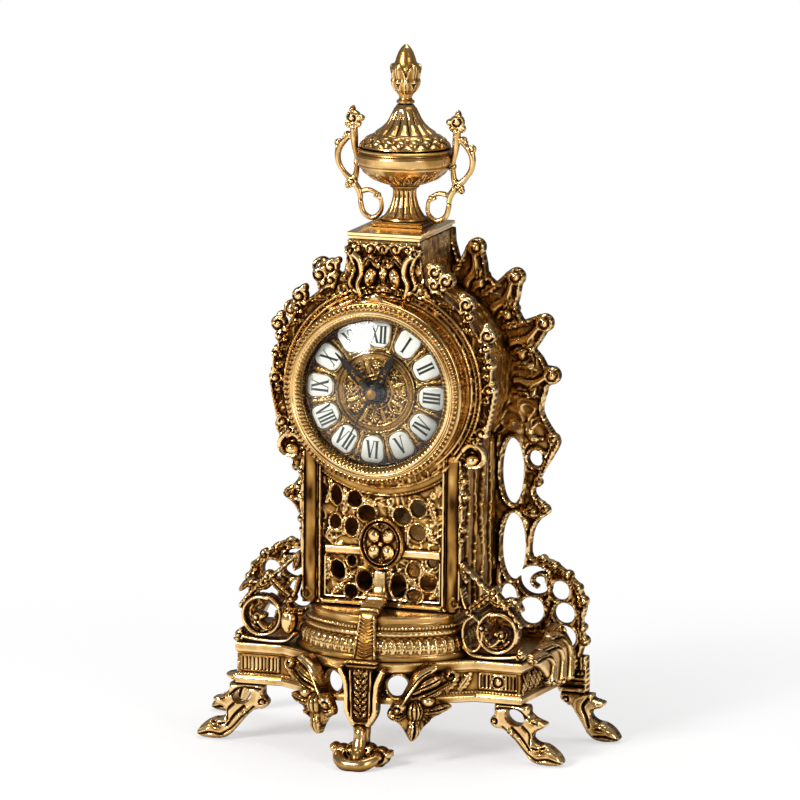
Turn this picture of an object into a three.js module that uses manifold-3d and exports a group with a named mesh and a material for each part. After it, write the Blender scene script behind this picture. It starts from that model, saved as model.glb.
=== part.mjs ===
// Desk clock of cast and polished brass: an openwork case on five feet, an urn on top,
// and a battery movement behind a dial with twelve enamel cartouches.
// Millimetres, +Z up. The dial faces -Y and +X is the viewer's right.
import * as THREE from "three";
import { mergeVertices } from "three/addons/utils/BufferGeometryUtils.js";
import Module from "manifold-3d";

const wasm = await Module();
wasm.setup();

// Driving dimensions.
// Fits
const SEAT_GAP = 0.3; // between castings that are bolted or seated together
const DIAL_FIT = 0.15; // round the thin pieces of the dial
const RUNNING_GAP = 0.3; // round each turning arbor

// Case
const CASE_HALF_WIDTH = 47.5;
const CASE_FRONT_Y = -38;
const CASE_DEPTH = 69;
const FRONT_PLATE_THICK = 2.4;
const BACK_PLATE_THICK = 4;
const WALL_THICK = 2.6;
const FOLD_DEPTH = 1.1;
const FOLD_COUNT = 5;
const ARCH_RADIUS = 57;
const NECK_HALF_WIDTH = 21.5;

// Heights, from the floor up
const LEG_HEIGHT = 34.3;
const BASE_HEIGHT = 24.4;
const PLINTH_HEIGHT = 24.7;
const DIAL_RISE = 127.4; // case foot to dial axis
const NECK_RISE = 84.6; // dial axis to the top of the neck
const ABACUS_HEIGHT = 3.9;
const URN_FOOT_HEIGHT = 22.4;
const BOWL_HEIGHT = 21;
const LID_HEIGHT = 24.6;
const FINIAL_HEIGHT = 35.7;

// Base
const BLOCK_INNER_X = 58.5;
const BLOCK_OUTER_X = 86;
const BLOCK_FRONT_Y = -43.5;
const BASE_CENTRE_HALF = 17;
const BASE_NOSE = 25; // how far the centre stands in front of the blocks
const BASE_SIDE_FLARE = 9;
const BASE_WALL = 3;
const BASE_DECK = 3;
const PANEL_RECESS = 2;

// Plinth: a bow in front of a straight body
const PLINTH_FLARE = 12; // how far the plinth's foot stands beyond the case
const PLINTH_CENTRE_Y = -7.5;

// Medallion in the middle of the grille, and the strap below it
const MEDALLION_HALF = 13.6;
const MEDALLION_RISE = 15.4;
const CLASP_WIDTH = 9;

// Dial and drum
const DRUM_RADIUS = 52;
const DRUM_DEPTH = 18.7;
const DRUM_BORE = 46.3;
const LEDGE_DEPTH = 7.4;
const LEDGE_BORE = 42.3;
const BEZEL_RADIUS = 51;
const BEZEL_DEPTH = 4.2;
const BEZEL_LIP = 42;
const GLASS_RISE = 8;
const GLASS_THICK = 1.6;
const DIAL_THICK = 2;
const CARTOUCHE_RING = 33.2;
const CARTOUCHE_LENGTH = 15.4;
const CARTOUCHE_INNER_HALF = 5.7;
const CARTOUCHE_OUTER_HALF = 7.3;
const CARTOUCHE_THICK = 1.4;
const POCKET_DEPTH = 0.8;
const ROSETTE_RADIUS = 23.6;
const DIAL_TURN_DEG = 2.9; // the dial sits a little off upright

// Movement
const MODULE_SIZE = 56;
const MODULE_DEPTH = 13.4;
const COVER_THICK = 2.2;
const BATTERY_RADIUS = 7.1;
const BATTERY_LENGTH = 50;
const NECK_RADIUS = 3.9;
const HOUR_TUBE_RADIUS = 2.9;
const MINUTE_TUBE_RADIUS = 1.8;
const SECOND_PIN_RADIUS = 0.7;
const NUT_RADIUS = 7.8;
const NUT_HEIGHT = 4.6;
const HOUR_HAND_LENGTH = 27.2;
const MINUTE_HAND_LENGTH = 31.4;
const SECOND_HAND_LENGTH = 26;
const HAND_THICK = 0.6;
const HAND_PITCH = 2.2;
const KNOB_RADIUS = 7;
const KNOB_HEIGHT = 5;
const KNOB_OFFSET = 14;

// Urn
const URN_FOOT_RADIUS = 15;
const BOWL_RADIUS = 28;
const LID_RADIUS = 26;
const FINIAL_RADIUS = 9;
const ROD_RADIUS = 1.6;

// Legs and brackets
const LEG_DEPTH = 9;
const PILLAR_WIDTH = 17.4;
const PILLAR_FOOT_Z = 28;
const PILLAR_OVERLAP = 7; // how far each pillar stands inside the base's back corner
const REAR_OPENING_RADIUS = 38;
const BACK_CREST_RADIUS = 78.6;
const FOOT_REACH_X = 108.5;
const BACK_FOOT_REACH_X = 125;
const CENTRE_FOOT_REACH_Y = -93;
const BRACKET_DEPTH = 7;
const SCREW_HEAD_RADIUS = 3.6;
const SCREW_SHANK_RADIUS = 1.6;

// The time that the hands show, in degrees clockwise from twelve
const HOUR_ANGLE = 27.5;
const MINUTE_ANGLE = -45;
const SECOND_ANGLE = -153;

// Levels worked out.
const BASE_Z = LEG_HEIGHT + SEAT_GAP;
const BASE_TOP_Z = BASE_Z + BASE_HEIGHT;
const PLINTH_Z = BASE_TOP_Z + SEAT_GAP;
const CASE_Z = PLINTH_Z + PLINTH_HEIGHT + SEAT_GAP;
const DIAL_Z = CASE_Z + DIAL_RISE;
const NECK_Z = DIAL_Z + NECK_RISE;
const ABACUS_Z = NECK_Z + SEAT_GAP;
const URN_FOOT_Z = ABACUS_Z + ABACUS_HEIGHT + SEAT_GAP;
const BOWL_Z = URN_FOOT_Z + URN_FOOT_HEIGHT + SEAT_GAP;
const LID_Z = BOWL_Z + BOWL_HEIGHT + SEAT_GAP;
const FINIAL_Z = LID_Z + LID_HEIGHT + SEAT_GAP;

const PLINTH_RADIUS = CASE_HALF_WIDTH + PLINTH_FLARE;
const ARCH_EDGE = ARCH_RADIUS + 7; // edge of the front plate round the arch
const CASE_BACK_Y = CASE_FRONT_Y + CASE_DEPTH;
const BACK_FACE_Y = CASE_BACK_Y - BACK_PLATE_THICK; // front face of the back plate
const WALL_FRONT_Y = CASE_FRONT_Y + FRONT_PLATE_THICK + SEAT_GAP;
const WALL_BACK_Y = BACK_FACE_Y - SEAT_GAP;
const SHOULDER_ANGLE = Math.acos((CASE_HALF_WIDTH - FOLD_DEPTH) / ARCH_RADIUS);
const SHOULDER_Z = DIAL_Z - ARCH_RADIUS * Math.sin(SHOULDER_ANGLE);
const BASE_NOSE_Y = BLOCK_FRONT_Y - BASE_NOSE;
const OBLIQUE_TURN = Math.atan2(BASE_NOSE, BLOCK_INNER_X - BASE_CENTRE_HALF);
const PILLAR_INNER_X = BLOCK_OUTER_X + BASE_SIDE_FLARE - PILLAR_OVERLAP;
const PANEL_HALF = 0.76 * CASE_HALF_WIDTH;
const PANEL_FOOT_Z = CASE_Z + 3.6;
const PANEL_ARC = 1.02 * ARCH_RADIUS;
const PANEL_RISE = DIAL_Z - PANEL_ARC - PANEL_FOOT_Z; // height of the opening below the drum
const GRILLE_MIDDLE_Z = PANEL_FOOT_Z + 0.513 * PANEL_RISE;
const SCREW_X = CASE_HALF_WIDTH - FOLD_DEPTH * 2 - WALL_THICK - 3.6;
const SCREW_HEIGHTS = [CASE_Z + 12, SHOULDER_Z - 14];
const ROD_BORE = ROD_RADIUS + SEAT_GAP;
const ROD_FOOT_Z = NECK_Z - 16;
const BATTERY_Z = -MODULE_SIZE / 2 + BATTERY_RADIUS + 3.2; // from the dial axis

const DRUM_BACK_Y = CASE_FRONT_Y - SEAT_GAP;
const DRUM_FRONT_Y = DRUM_BACK_Y - DRUM_DEPTH;
const DIAL_BACK_Y = DRUM_BACK_Y - LEDGE_DEPTH - SEAT_GAP;
const DIAL_FACE_Y = DIAL_BACK_Y - DIAL_THICK;
const MODULE_FRONT_Y = DIAL_BACK_Y + SEAT_GAP;
const MODULE_BACK_Y = MODULE_FRONT_Y + MODULE_DEPTH;
const COVER_FRONT_Y = MODULE_BACK_Y + SEAT_GAP;
const COVER_BACK_Y = COVER_FRONT_Y + COVER_THICK;
const ROSETTE_BACK_Y = DIAL_FACE_Y - SEAT_GAP;
const ROSETTE_THICK = 1;
const NUT_BACK_Y = ROSETTE_BACK_Y - ROSETTE_THICK - 1.2;
const HOUR_HAND_Y = NUT_BACK_Y - NUT_HEIGHT - 0.7;
const MINUTE_HAND_Y = HOUR_HAND_Y - HAND_PITCH;
const SECOND_HAND_Y = MINUTE_HAND_Y - HAND_PITCH;

// Finishes.
const finish = (color, roughness, metalness) =>
  new THREE.MeshStandardMaterial({ color, roughness, metalness });
const BRASS = finish("#c9963f", 0.28, 1);
const DARK_BRASS = finish("#8d6a2a", 0.42, 1);
const ENAMEL = finish("#f2f0e8", 0.18, 0);
const BLACK = finish("#141210", 0.45, 0.2);
const PLASTIC = finish("#1d1c1b", 0.5, 0);
const STEEL = finish("#b9b7b0", 0.3, 1);
const GLASS = new THREE.MeshStandardMaterial({
  color: "#f4f7f8",
  roughness: 0.03,
  metalness: 0,
  transparent: true,
  opacity: 0.25,
});
const CELL = finish("#3c5a46", 0.35, 0.1);

// Solids.
const Y_AXIS = new THREE.Vector3(0, 1, 0);
const X_AXIS = new THREE.Vector3(1, 0, 0);
const rad = THREE.MathUtils.degToRad;
const mix = THREE.MathUtils.lerp;

/** A closed solid from a three.js geometry, turned so that its faces point out. */
function solid(geometry) {
  geometry.deleteAttribute("normal");
  geometry.deleteAttribute("uv");
  const merged = mergeVertices(geometry, 1e-4);
  const vertProperties = Float32Array.from(merged.attributes.position.array);
  const corners = merged.index.array;
  const triVerts = [];
  let volume = 0;
  const point = (i) => new THREE.Vector3().fromArray(vertProperties, 3 * i);
  for (let i = 0; i < corners.length; i += 3) {
    const [a, b, c] = [corners[i], corners[i + 1], corners[i + 2]];
    if (a === b || b === c || a === c) continue;
    triVerts.push(a, b, c);
    volume += point(a).dot(point(b).cross(point(c)));
  }
  if (volume < 0) triVerts.reverse();
  const mesh = { numProp: 3, vertProperties, triVerts: Uint32Array.from(triVerts) };
  return new wasm.Manifold(new wasm.Mesh(mesh));
}

const join = (...bodies) => bodies.flat(2).reduce((a, b) => a.add(b));
const cut = (body, ...tools) => tools.flat(2).reduce((a, b) => a.subtract(b), body);

/** One named mesh; side -1 gives the mirrored piece of the left. */
function piece(name, body, material, side = 1) {
  const { vertProperties, triVerts } = body.getMesh();
  const geometry = new THREE.BufferGeometry();
  geometry.setAttribute("position", new THREE.BufferAttribute(vertProperties, 3));
  geometry.setIndex(new THREE.BufferAttribute(triVerts, 1));
  if (side < 0) {
    geometry.scale(-1, 1, 1);
    geometry.index.array.reverse();
  }
  geometry.computeVertexNormals();
  const mesh = new THREE.Mesh(geometry, material);
  mesh.name = name;
  return mesh;
}

/** A prism of an XZ outline, from frontY backwards, with an optional cast edge. */
function plate(shape, frontY, thick, bevel = 0, curveSegments = 8) {
  const geometry = new THREE.ExtrudeGeometry(shape, {
    depth: thick - 2 * bevel,
    bevelEnabled: bevel > 0,
    bevelThickness: bevel,
    bevelSize: bevel,
    bevelOffset: -bevel,
    bevelSegments: 1,
    curveSegments,
  });
  geometry.translate(0, 0, bevel);
  geometry.rotateX(Math.PI / 2);
  geometry.translate(0, frontY + thick, 0);
  return solid(geometry);
}

/** A prism of an XY outline standing on z. */
function slab(shape, z, height, bevel = 0, curveSegments = 8) {
  const geometry = new THREE.ExtrudeGeometry(shape, {
    depth: height - 2 * bevel,
    bevelEnabled: bevel > 0,
    bevelThickness: bevel,
    bevelSize: bevel,
    bevelOffset: -bevel,
    bevelSegments: 1,
    curveSegments,
  });
  geometry.translate(0, 0, z + bevel);
  return solid(geometry);
}

/** A turned solid about +Z; flutes hollow its side as often as they are asked for. */
function turned(profile, { segments = 24, flutes = 0, depth = 0, y = 0 } = {}) {
  const points = profile.map(([r, z]) => new THREE.Vector2(r, z));
  const geometry = new THREE.LatheGeometry(points, segments);
  const { position } = geometry.attributes;
  for (let i = 0; flutes && i < position.count; i += 1) {
    const turn = Math.atan2(position.getX(i), position.getZ(i));
    const hollow = 1 - depth * (0.5 - 0.5 * Math.cos(flutes * turn));
    position.setX(i, position.getX(i) * hollow);
    position.setZ(i, position.getZ(i) * hollow);
  }
  geometry.rotateX(Math.PI / 2);
  geometry.translate(0, y, 0);
  return solid(geometry);
}

/** A turned solid about the dial axis, from [radius, y] pairs. */
function dialTurned(profile, segments = 36, z = 0) {
  const points = profile.map(([r, y]) => new THREE.Vector2(r, y));
  const geometry = new THREE.LatheGeometry(points, segments);
  geometry.translate(0, 0, z);
  return solid(geometry);
}

/** A block by its two opposite corners. */
function block([x0, y0, z0], [x1, y1, z1]) {
  const geometry = new THREE.BoxGeometry(x1 - x0, y1 - y0, z1 - z0);
  geometry.translate((x0 + x1) / 2, (y0 + y1) / 2, (z0 + z1) / 2);
  return solid(geometry);
}

/** An egg of three half sizes. */
function egg([x, y, z], [a, b, c], around = 10, rows = 6) {
  const geometry = new THREE.SphereGeometry(1, around, rows);
  geometry.rotateX(Math.PI / 2);
  geometry.scale(a, b, c);
  geometry.translate(x, y, z);
  return solid(geometry);
}

/** An upright hole for the tie rod. */
function rodHole(z, length) {
  const geometry = new THREE.CylinderGeometry(ROD_BORE, ROD_BORE, length, 8);
  geometry.rotateX(Math.PI / 2);
  geometry.translate(0, 0, z);
  return solid(geometry);
}

/** A pin along Y. */
function pin(x, z, radius, frontY, backY, sides = 12) {
  const geometry = new THREE.CylinderGeometry(radius, radius, backY - frontY, sides);
  geometry.translate(x, (frontY + backY) / 2, z);
  return solid(geometry);
}

/** A cast limb along a curve: sizeAt(t) gives its half width and its half depth. */
function limb(curve, sizeAt, { across = Y_AXIS, sides = 8, steps = 12 } = {}) {
  const geometry = new THREE.CylinderGeometry(1, 1, 1, sides, steps);
  const { position } = geometry.attributes;
  const local = new THREE.Vector3();
  for (let i = 0; i < position.count; i += 1) {
    local.fromBufferAttribute(position, i);
    const t = THREE.MathUtils.clamp(local.y + 0.5, 0, 1);
    const along = curve.getTangentAt(t);
    const deep = across.clone().addScaledVector(along, -across.dot(along)).normalize();
    const wide = new THREE.Vector3().crossVectors(deep, along);
    const [width, depth] = sizeAt(t);
    const spot = curve.getPointAt(t);
    spot.addScaledVector(wide, local.x * width).addScaledVector(deep, local.z * depth);
    position.setXYZ(i, spot.x, spot.y, spot.z);
  }
  return solid(geometry);
}

/** A smooth curve through XZ points in the plane y. */
const sweep = (points, y) =>
  new THREE.CatmullRomCurve3(points.map(([x, z]) => new THREE.Vector3(x, y, z)));

/** A flat volute: radius and angle run evenly from their first to their last value. */
class Volute extends THREE.Curve {
  constructor([x, z], y, [fromRadius, toRadius], [fromDeg, toDeg]) {
    super();
    Object.assign(this, { x, y, z, fromRadius, toRadius, fromDeg, toDeg });
  }

  getPoint(t, target = new THREE.Vector3()) {
    const radius = mix(this.fromRadius, this.toRadius, t);
    const angle = rad(mix(this.fromDeg, this.toDeg, t));
    const x = this.x + radius * Math.cos(angle);
    return target.set(x, this.y, this.z + radius * Math.sin(angle));
  }
}

/** A steady taper for a limb. */
const taper = (from, to, depth, depthTo = depth) => (t) => [
  mix(from, to, t),
  mix(depth, depthTo, t),
];

/** A leaf's section: narrow, full, then pointed. */
const leaf = (half, depth) => (t) => [
  Math.max(0.35, half * Math.sin(Math.PI * (0.12 + 0.84 * t))),
  mix(depth, depth * 0.45, t),
];

/** Facets of the round pieces that fit inside each other. */
const ROUND_SIDES = 24;

const polar = (radius, deg) => [
  radius * Math.cos(rad(deg)),
  DIAL_Z + radius * Math.sin(rad(deg)),
];

const polygon = (points) =>
  new THREE.Shape(points.map(([x, y]) => new THREE.Vector2(x, y)));

const ellipse = (x, z, a, b, tilt = 0) =>
  new THREE.Path().absellipse(x, z, a, b, 0, 2 * Math.PI, false, rad(tilt));

/** A cast openwork piece: a smooth outline with oval holes, its edges rounded if asked. */
function casting(points, holes, frontY, thick, round = 0) {
  const [first, ...rest] = points.map(([x, z]) => new THREE.Vector2(x, z));
  const outline = new THREE.Shape().moveTo(first.x, first.y).splineThru([...rest, first]);
  const shape = new THREE.Shape(outline.getPoints(2).slice(0, -1));
  shape.holes = holes.map(([x, z, a, b, tilt]) =>
    new THREE.Path(ellipse(x, z, a, b, tilt).getPoints(4).slice(0, -1)),
  );
  return plate(shape, frontY, thick, round);
}

/** Points of a smooth curve through a few points. */
function smooth(points) {
  const curve = new THREE.SplineCurve(points.map(([x, y]) => new THREE.Vector2(x, y)));
  return curve.getPoints(2 * (points.length - 1)).map((p) => [p.x, p.y]);
}

/** Edge round the dial axis with a lobe for each rose: angle, distance past the edge, radius. */
function scallops(roses, edge) {
  return roses.flatMap(([deg, past, radius], i) => {
    const reach = edge + past;
    const turn = (0.78 * radius) / reach / rad(1);
    const lobe = [-1, 0, 1].map((k) => polar(reach + radius * (k ? 0.62 : 1), deg + k * turn));
    const next = roses[i + 1];
    if (!next) return lobe;
    const valley = edge + Math.min(past, next[1]) / 2 - 2;
    return [...lobe, polar(valley, (deg + turn + next[0] - (turn * next[2]) / radius) / 2)];
  });
}

/** A closed outline that is the same on both sides, from its right half. */
const mirrored = (half) => [...half, ...half.map(([x, y]) => [-x, y]).reverse()];

/** A polygon with each side moved in by d, for an outline that runs anticlockwise. */
function inset(points, d) {
  return points.map((corner, i) => {
    const before = points[(i + points.length - 1) % points.length];
    const after = points[(i + 1) % points.length];
    const side = (from, to) =>
      new THREE.Vector2(to[0] - from[0], to[1] - from[1]).normalize();
    const a = side(before, corner);
    const b = side(corner, after);
    const bisector = new THREE.Vector2(-a.y - b.y, a.x + b.x);
    const reach = d / (1 + a.dot(b));
    return [corner[0] + bisector.x * reach, corner[1] + bisector.y * reach];
  });
}

// Base and plinth.
const PLINTH_PROFILE = [
  [1, 0],
  [1, 0.13],
  [0.975, 0.2],
  [0.955, 0.42],
  [0.925, 0.5],
  [0.945, 0.58],
  [0.94, 0.68],
  [0.905, 0.76],
  [0.885, 0.84],
  [0.885, 1],
].map(([r, z]) => [r * PLINTH_RADIUS, PLINTH_Z + z * PLINTH_HEIGHT]);

/** Mouldings that bow forward from the front plate and run straight back beside the case. */
function plinth() {
  const chord = CASE_FRONT_Y + 1;
  const low = PLINTH_Z;
  const high = PLINTH_Z + PLINTH_HEIGHT;
  const round = turned([[0, low], ...PLINTH_PROFILE, [0, high]], {
    segments: 48,
    y: PLINTH_CENTRE_Y,
  });
  const bow = cut(round, block([-200, chord, low - 1], [200, 200, high + 1]));
  const reach = PLINTH_CENTRE_Y - chord;
  const sides = PLINTH_PROFILE.map(([r, z]) => [Math.sqrt(r * r - reach ** 2), z]);
  const body = plate(polygon(mirrored(sides)), chord, WALL_BACK_Y - chord);
  const inner = sides[sides.length - 1][0] - WALL_THICK;
  const nose = PLINTH_CENTRE_Y - PLINTH_PROFILE[PLINTH_PROFILE.length - 1][0] + WALL_THICK;
  const hollow = new THREE.Shape();
  hollow.moveTo(-inner, WALL_BACK_Y - WALL_THICK);
  hollow.lineTo(-inner, chord);
  hollow.quadraticCurveTo(0, 2 * nose - chord, inner, chord);
  hollow.lineTo(inner, WALL_BACK_Y - WALL_THICK);
  return cut(join(bow, body), slab(hollow, low - 1, PLINTH_HEIGHT - BASE_DECK + 1, 0, 6));
}

/** The base's outline, right half from the nose to the back. */
const BASE_HALF = [
  [BASE_CENTRE_HALF, BASE_NOSE_Y],
  [BLOCK_INNER_X, BLOCK_FRONT_Y],
  [BLOCK_OUTER_X, BLOCK_FRONT_Y - 0.5],
  [BLOCK_OUTER_X + BASE_SIDE_FLARE, WALL_BACK_Y],
];

function baseFrame() {
  const outline = mirrored(BASE_HALF);
  const band = (from, to, recess, bevel = 0) =>
    slab(polygon(inset(outline, recess)), BASE_Z + from, to - from, bevel);
  const h = BASE_HEIGHT;
  const layers = [
    band(0, 0.17 * h, 0, 0.6),
    band(0.1 * h, 0.28 * h, 1.1),
    band(0.2 * h, 0.8 * h, PANEL_RECESS),
    band(0.74 * h, h, 0, 0.8),
  ];
  const back = WALL_BACK_Y + 5;
  const inner = inset(outline, PANEL_RECESS + BASE_WALL).map(([x, y]) => [
    x,
    y > 0 ? back : y,
  ]);
  const hollow = slab(polygon(inner), BASE_Z - 1, h - BASE_DECK + 1);
  const eyes = [-1, 1].map((side) => {
    const shape = new THREE.Shape();
    const x = side * (BASE_CENTRE_HALF + 3);
    shape.absellipse(x, BASE_Z + 0.46 * h, 5.4, 0.27 * h, 0, 2 * Math.PI, false);
    return plate(shape, BASE_NOSE_Y - 8, 24, 0, 5);
  });
  return cut(join(layers), hollow, eyes);
}

// Legs.
/** Cabriole front leg with a hoof, under the block of the right side. */
function frontLeg() {
  const front = BLOCK_FRONT_Y + 0.4;
  const y = front + LEG_DEPTH / 2;
  const x = (part) => mix(BLOCK_OUTER_X - 20, FOOT_REACH_X, part);
  const outline = [
    [0.01, 28], [0.07, 22.6], [0.24, 19.6], [0.43, 9.6], [0.6, 2.4], [0.82, 0.4], [0.97, 2.4], [0.94, 9],
    [0.76, 14.4], [0.63, 18.6], [0.7, 25], [0.57, 28.6], [0.46, 32.4], [0.06, 32.4],
  ].map(([part, z]) => [x(part), z]);
  const pad = block([x(0.01), front, LEG_HEIGHT - 3.4], [x(0.46), front + LEG_DEPTH, LEG_HEIGHT]);
  const hoof = egg([x(0.84), y, 3], [FOOT_REACH_X - x(0.84), LEG_DEPTH * 0.5 + 0.6, 4.6], 8, 4);
  const knee = sweep([[x(0.1), 25], [x(0.3), 25.4], [x(0.5), 15.6], [x(0.74), 8.6]], front + 0.4);
  const curl = new Volute([x(0.3), 26], front, [7.6, 6.4], [70, 250]);
  return flatFoot(
    join(
      casting(outline, [[x(0.3), 26.4, 4.2, 3.4, -20]], front + 0.6, LEG_DEPTH - 1.2, 1.2),
      pad,
      hoof,
      limb(knee, leaf(2.4, 1.8), { steps: 4, sides: 4 }),
      limb(curl, taper(1.4, 1.2, 1.6), { steps: 4, sides: 4 }),
    ),
  );
}

/** The foot stands on the floor on a flat sole. */
const flatFoot = (body) => cut(body, block([-200, -200, -40], [200, 200, 0]));

/** Back leg under the pillar of the back plate. */
function backLeg() {
  const front = BACK_FACE_Y + BACK_PLATE_THICK / 2 - 1 - LEG_DEPTH / 2;
  const top = PILLAR_FOOT_Z - SEAT_GAP;
  const x = (part) => mix(PILLAR_INNER_X, BACK_FOOT_REACH_X, part);
  const outline = [
    [0.04, top - 1], [0.1, 19], [0.2, 9], [0.42, 3.4], [0.66, 0.4], [0.94, 0.4], [0.97, 5], [0.84, 8.6],
    [0.64, 10.4], [0.54, 15], [0.66, 19], [0.72, 23], [0.62, 25], [0.5, 22.6], [0.46, top - 1],
  ].map(([part, z]) => [x(part), z]);
  const pad = block([x(0.03), front, top - 3], [x(0.46), front + LEG_DEPTH, top]);
  const knee = sweep([[x(0.24), 22], [x(0.36), 13], [x(0.62), 7]], front + 0.6);
  const toe = BACK_FOOT_REACH_X - x(0.82);
  const hoof = egg([x(0.82), front + LEG_DEPTH / 2, 2.4], [toe, LEG_DEPTH * 0.5 + 0.4, 4.2], 8, 4);
  return flatFoot(
    join(
      casting(outline, [], front + 0.8, LEG_DEPTH - 1.6, 1),
      pad,
      hoof,
      limb(knee, leaf(2.6, 1.8), { steps: 3, sides: 4 }),
    ),
  );
}

/** Centre leg: a chain of leaves on a pilaster, with a scrolled foot in front. */
function centreLeg() {
  const back = BASE_NOSE_Y - SEAT_GAP;
  const front = back - 5.4;
  const top = BASE_TOP_Z + 2;
  const half = [[4.6, 16], [5.6, 26], [6.6, top - 5], [9.2, top - 3.4], [9.2, top]];
  const links = [0, 1, 2, 3].map((i) => {
    const z = 24 + i * 8.4;
    const wide = 3.6 + 0.5 * i;
    const chevron = mirrored([[0.01, z], [wide, z + 4], [wide, z + 6.6], [0.01, z + 3.4]]);
    return plate(polygon(chevron), front - 1.3, 2.4);
  });
  const scrolls = [-1, 1].map((side) => {
    const bow = [[side * 4.2, 28], [side * 9, 38], [side * 7.4, 47], [side * 8.8, 55]];
    const turn = side > 0 ? [205, 500] : [-25, -320];
    const volute = new Volute([side * 9, 6.4], front - 6, [5.6, 2], turn);
    return [
      limb(sweep(bow, front + 2.4), taper(1.6, 2, 2.2), { steps: 3, sides: 4 }),
      limb(volute, taper(2.1, 1.3, 4.4, 3), { steps: 6, sides: 4 }),
    ];
  });
  const reach = (part) => mix(front, CENTRE_FOOT_REACH_Y, part);
  const shin = new THREE.CatmullRomCurve3([
    new THREE.Vector3(0, front + 2.8, 22),
    new THREE.Vector3(0, front + 1, 13),
    new THREE.Vector3(0, reach(0.4), 6.8),
    new THREE.Vector3(0, reach(0.86), 3.4),
  ]);
  return flatFoot(
    join(
      plate(polygon(mirrored(half)), front, 5.4),
      links,
      scrolls,
      limb(shin, (t) => [mix(3.6, 3.8, t), mix(5.6, 7.6, t)], { across: X_AXIS, steps: 4, sides: 6 }),
      egg([0, CENTRE_FOOT_REACH_Y + 5.6, 2.4], [7.4, 5.6, 4.2], 8, 4),
    ),
  );
}

/** Acanthus drop with its scroll, on the oblique front of the right side. */
function apronDrop() {
  const front = -4;
  const outline = [
    [7.4, -38.6], [12.4, -33.4], [14, -29], [20, -28.4], [27, -26.4], [35, -25.4], [28, -20.4], [20.5, -19.4],
    [17.4, -15.6], [25, -14.6], [29, -11], [22.6, -8.4], [21, -4.6], [27, 1.6], [31, 0], [35, 2.4], [34, 7],
    [29.4, 8], [23.4, 5], [16.6, -2.4], [11, -9.4], [5, -11.6], [0, -12.4], [-3.6, -14.6], [-0.6, -18.2],
    [4, -18.4], [3.2, -25], [4.6, -32.6],
  ];
  const rim = sweep([[30.6, 3], [33, 5], [28, 5.6], [20, -0.6], [11.6, -11], [1, -14.8]], front + 0.4);
  const vein = sweep([[10.4, -12], [9.6, -21], [9, -29], [7.6, -37]], front + 0.6);
  return join(
    casting(outline, [], front + 0.6, 3),
    limb(rim, taper(1.2, 1.7, 1.6), { steps: 7, sides: 4 }),
    limb(vein, leaf(2.4, 1.8), { steps: 3, sides: 4 }),
    limb(sweep([[12, -27], [20, -24.6], [31, -24.6]], front + 0.6), leaf(1.8, 1.4), { steps: 2, sides: 4 }),
    egg([9.6, front, -20], [3, 2.2, 4.4], 6, 4),
  );
}

// Case front.
/** Roses of the front plate from the lowest up: angle, distance past the edge, radius. */
const FRONT_ROSES = [
  [-35.4, 2.4, 7.2],
  [-20.6, -2.2, 4.8],
  [1.6, -3.6, 6],
  [16, -1.6, 3.6],
  [28, 5.2, 7],
  [45, 5, 6.4],
  [62.8, 8.8, 7.4],
];

/** A cast rose: rim, hollow and button, facing the front. */
function rose(x, z, radius, frontY) {
  const profile = [[0, -3.2], [0.42, -1.2], [0.8, -2.8], [0.96, 0.6], [0, 0.6]];
  const points = profile.map(([r, y]) => new THREE.Vector2(r * radius, frontY + y));
  const geometry = new THREE.LatheGeometry(points, 6);
  geometry.translate(x, 0, z);
  return solid(geometry);
}

/** The opening of the grille, with its arched top round the drum. */
function panelOutline(grow) {
  const half = PANEL_HALF + grow;
  const arc = PANEL_ARC - grow;
  const turn = Math.acos(Math.min(0.98, half / arc));
  const shape = new THREE.Shape();
  shape.moveTo(-half, PANEL_FOOT_Z - grow);
  shape.lineTo(half, PANEL_FOOT_Z - grow);
  shape.lineTo(half, DIAL_Z - arc * Math.sin(turn));
  shape.absarc(0, DIAL_Z, arc, -turn, turn - Math.PI, true);
  return shape;
}

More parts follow.
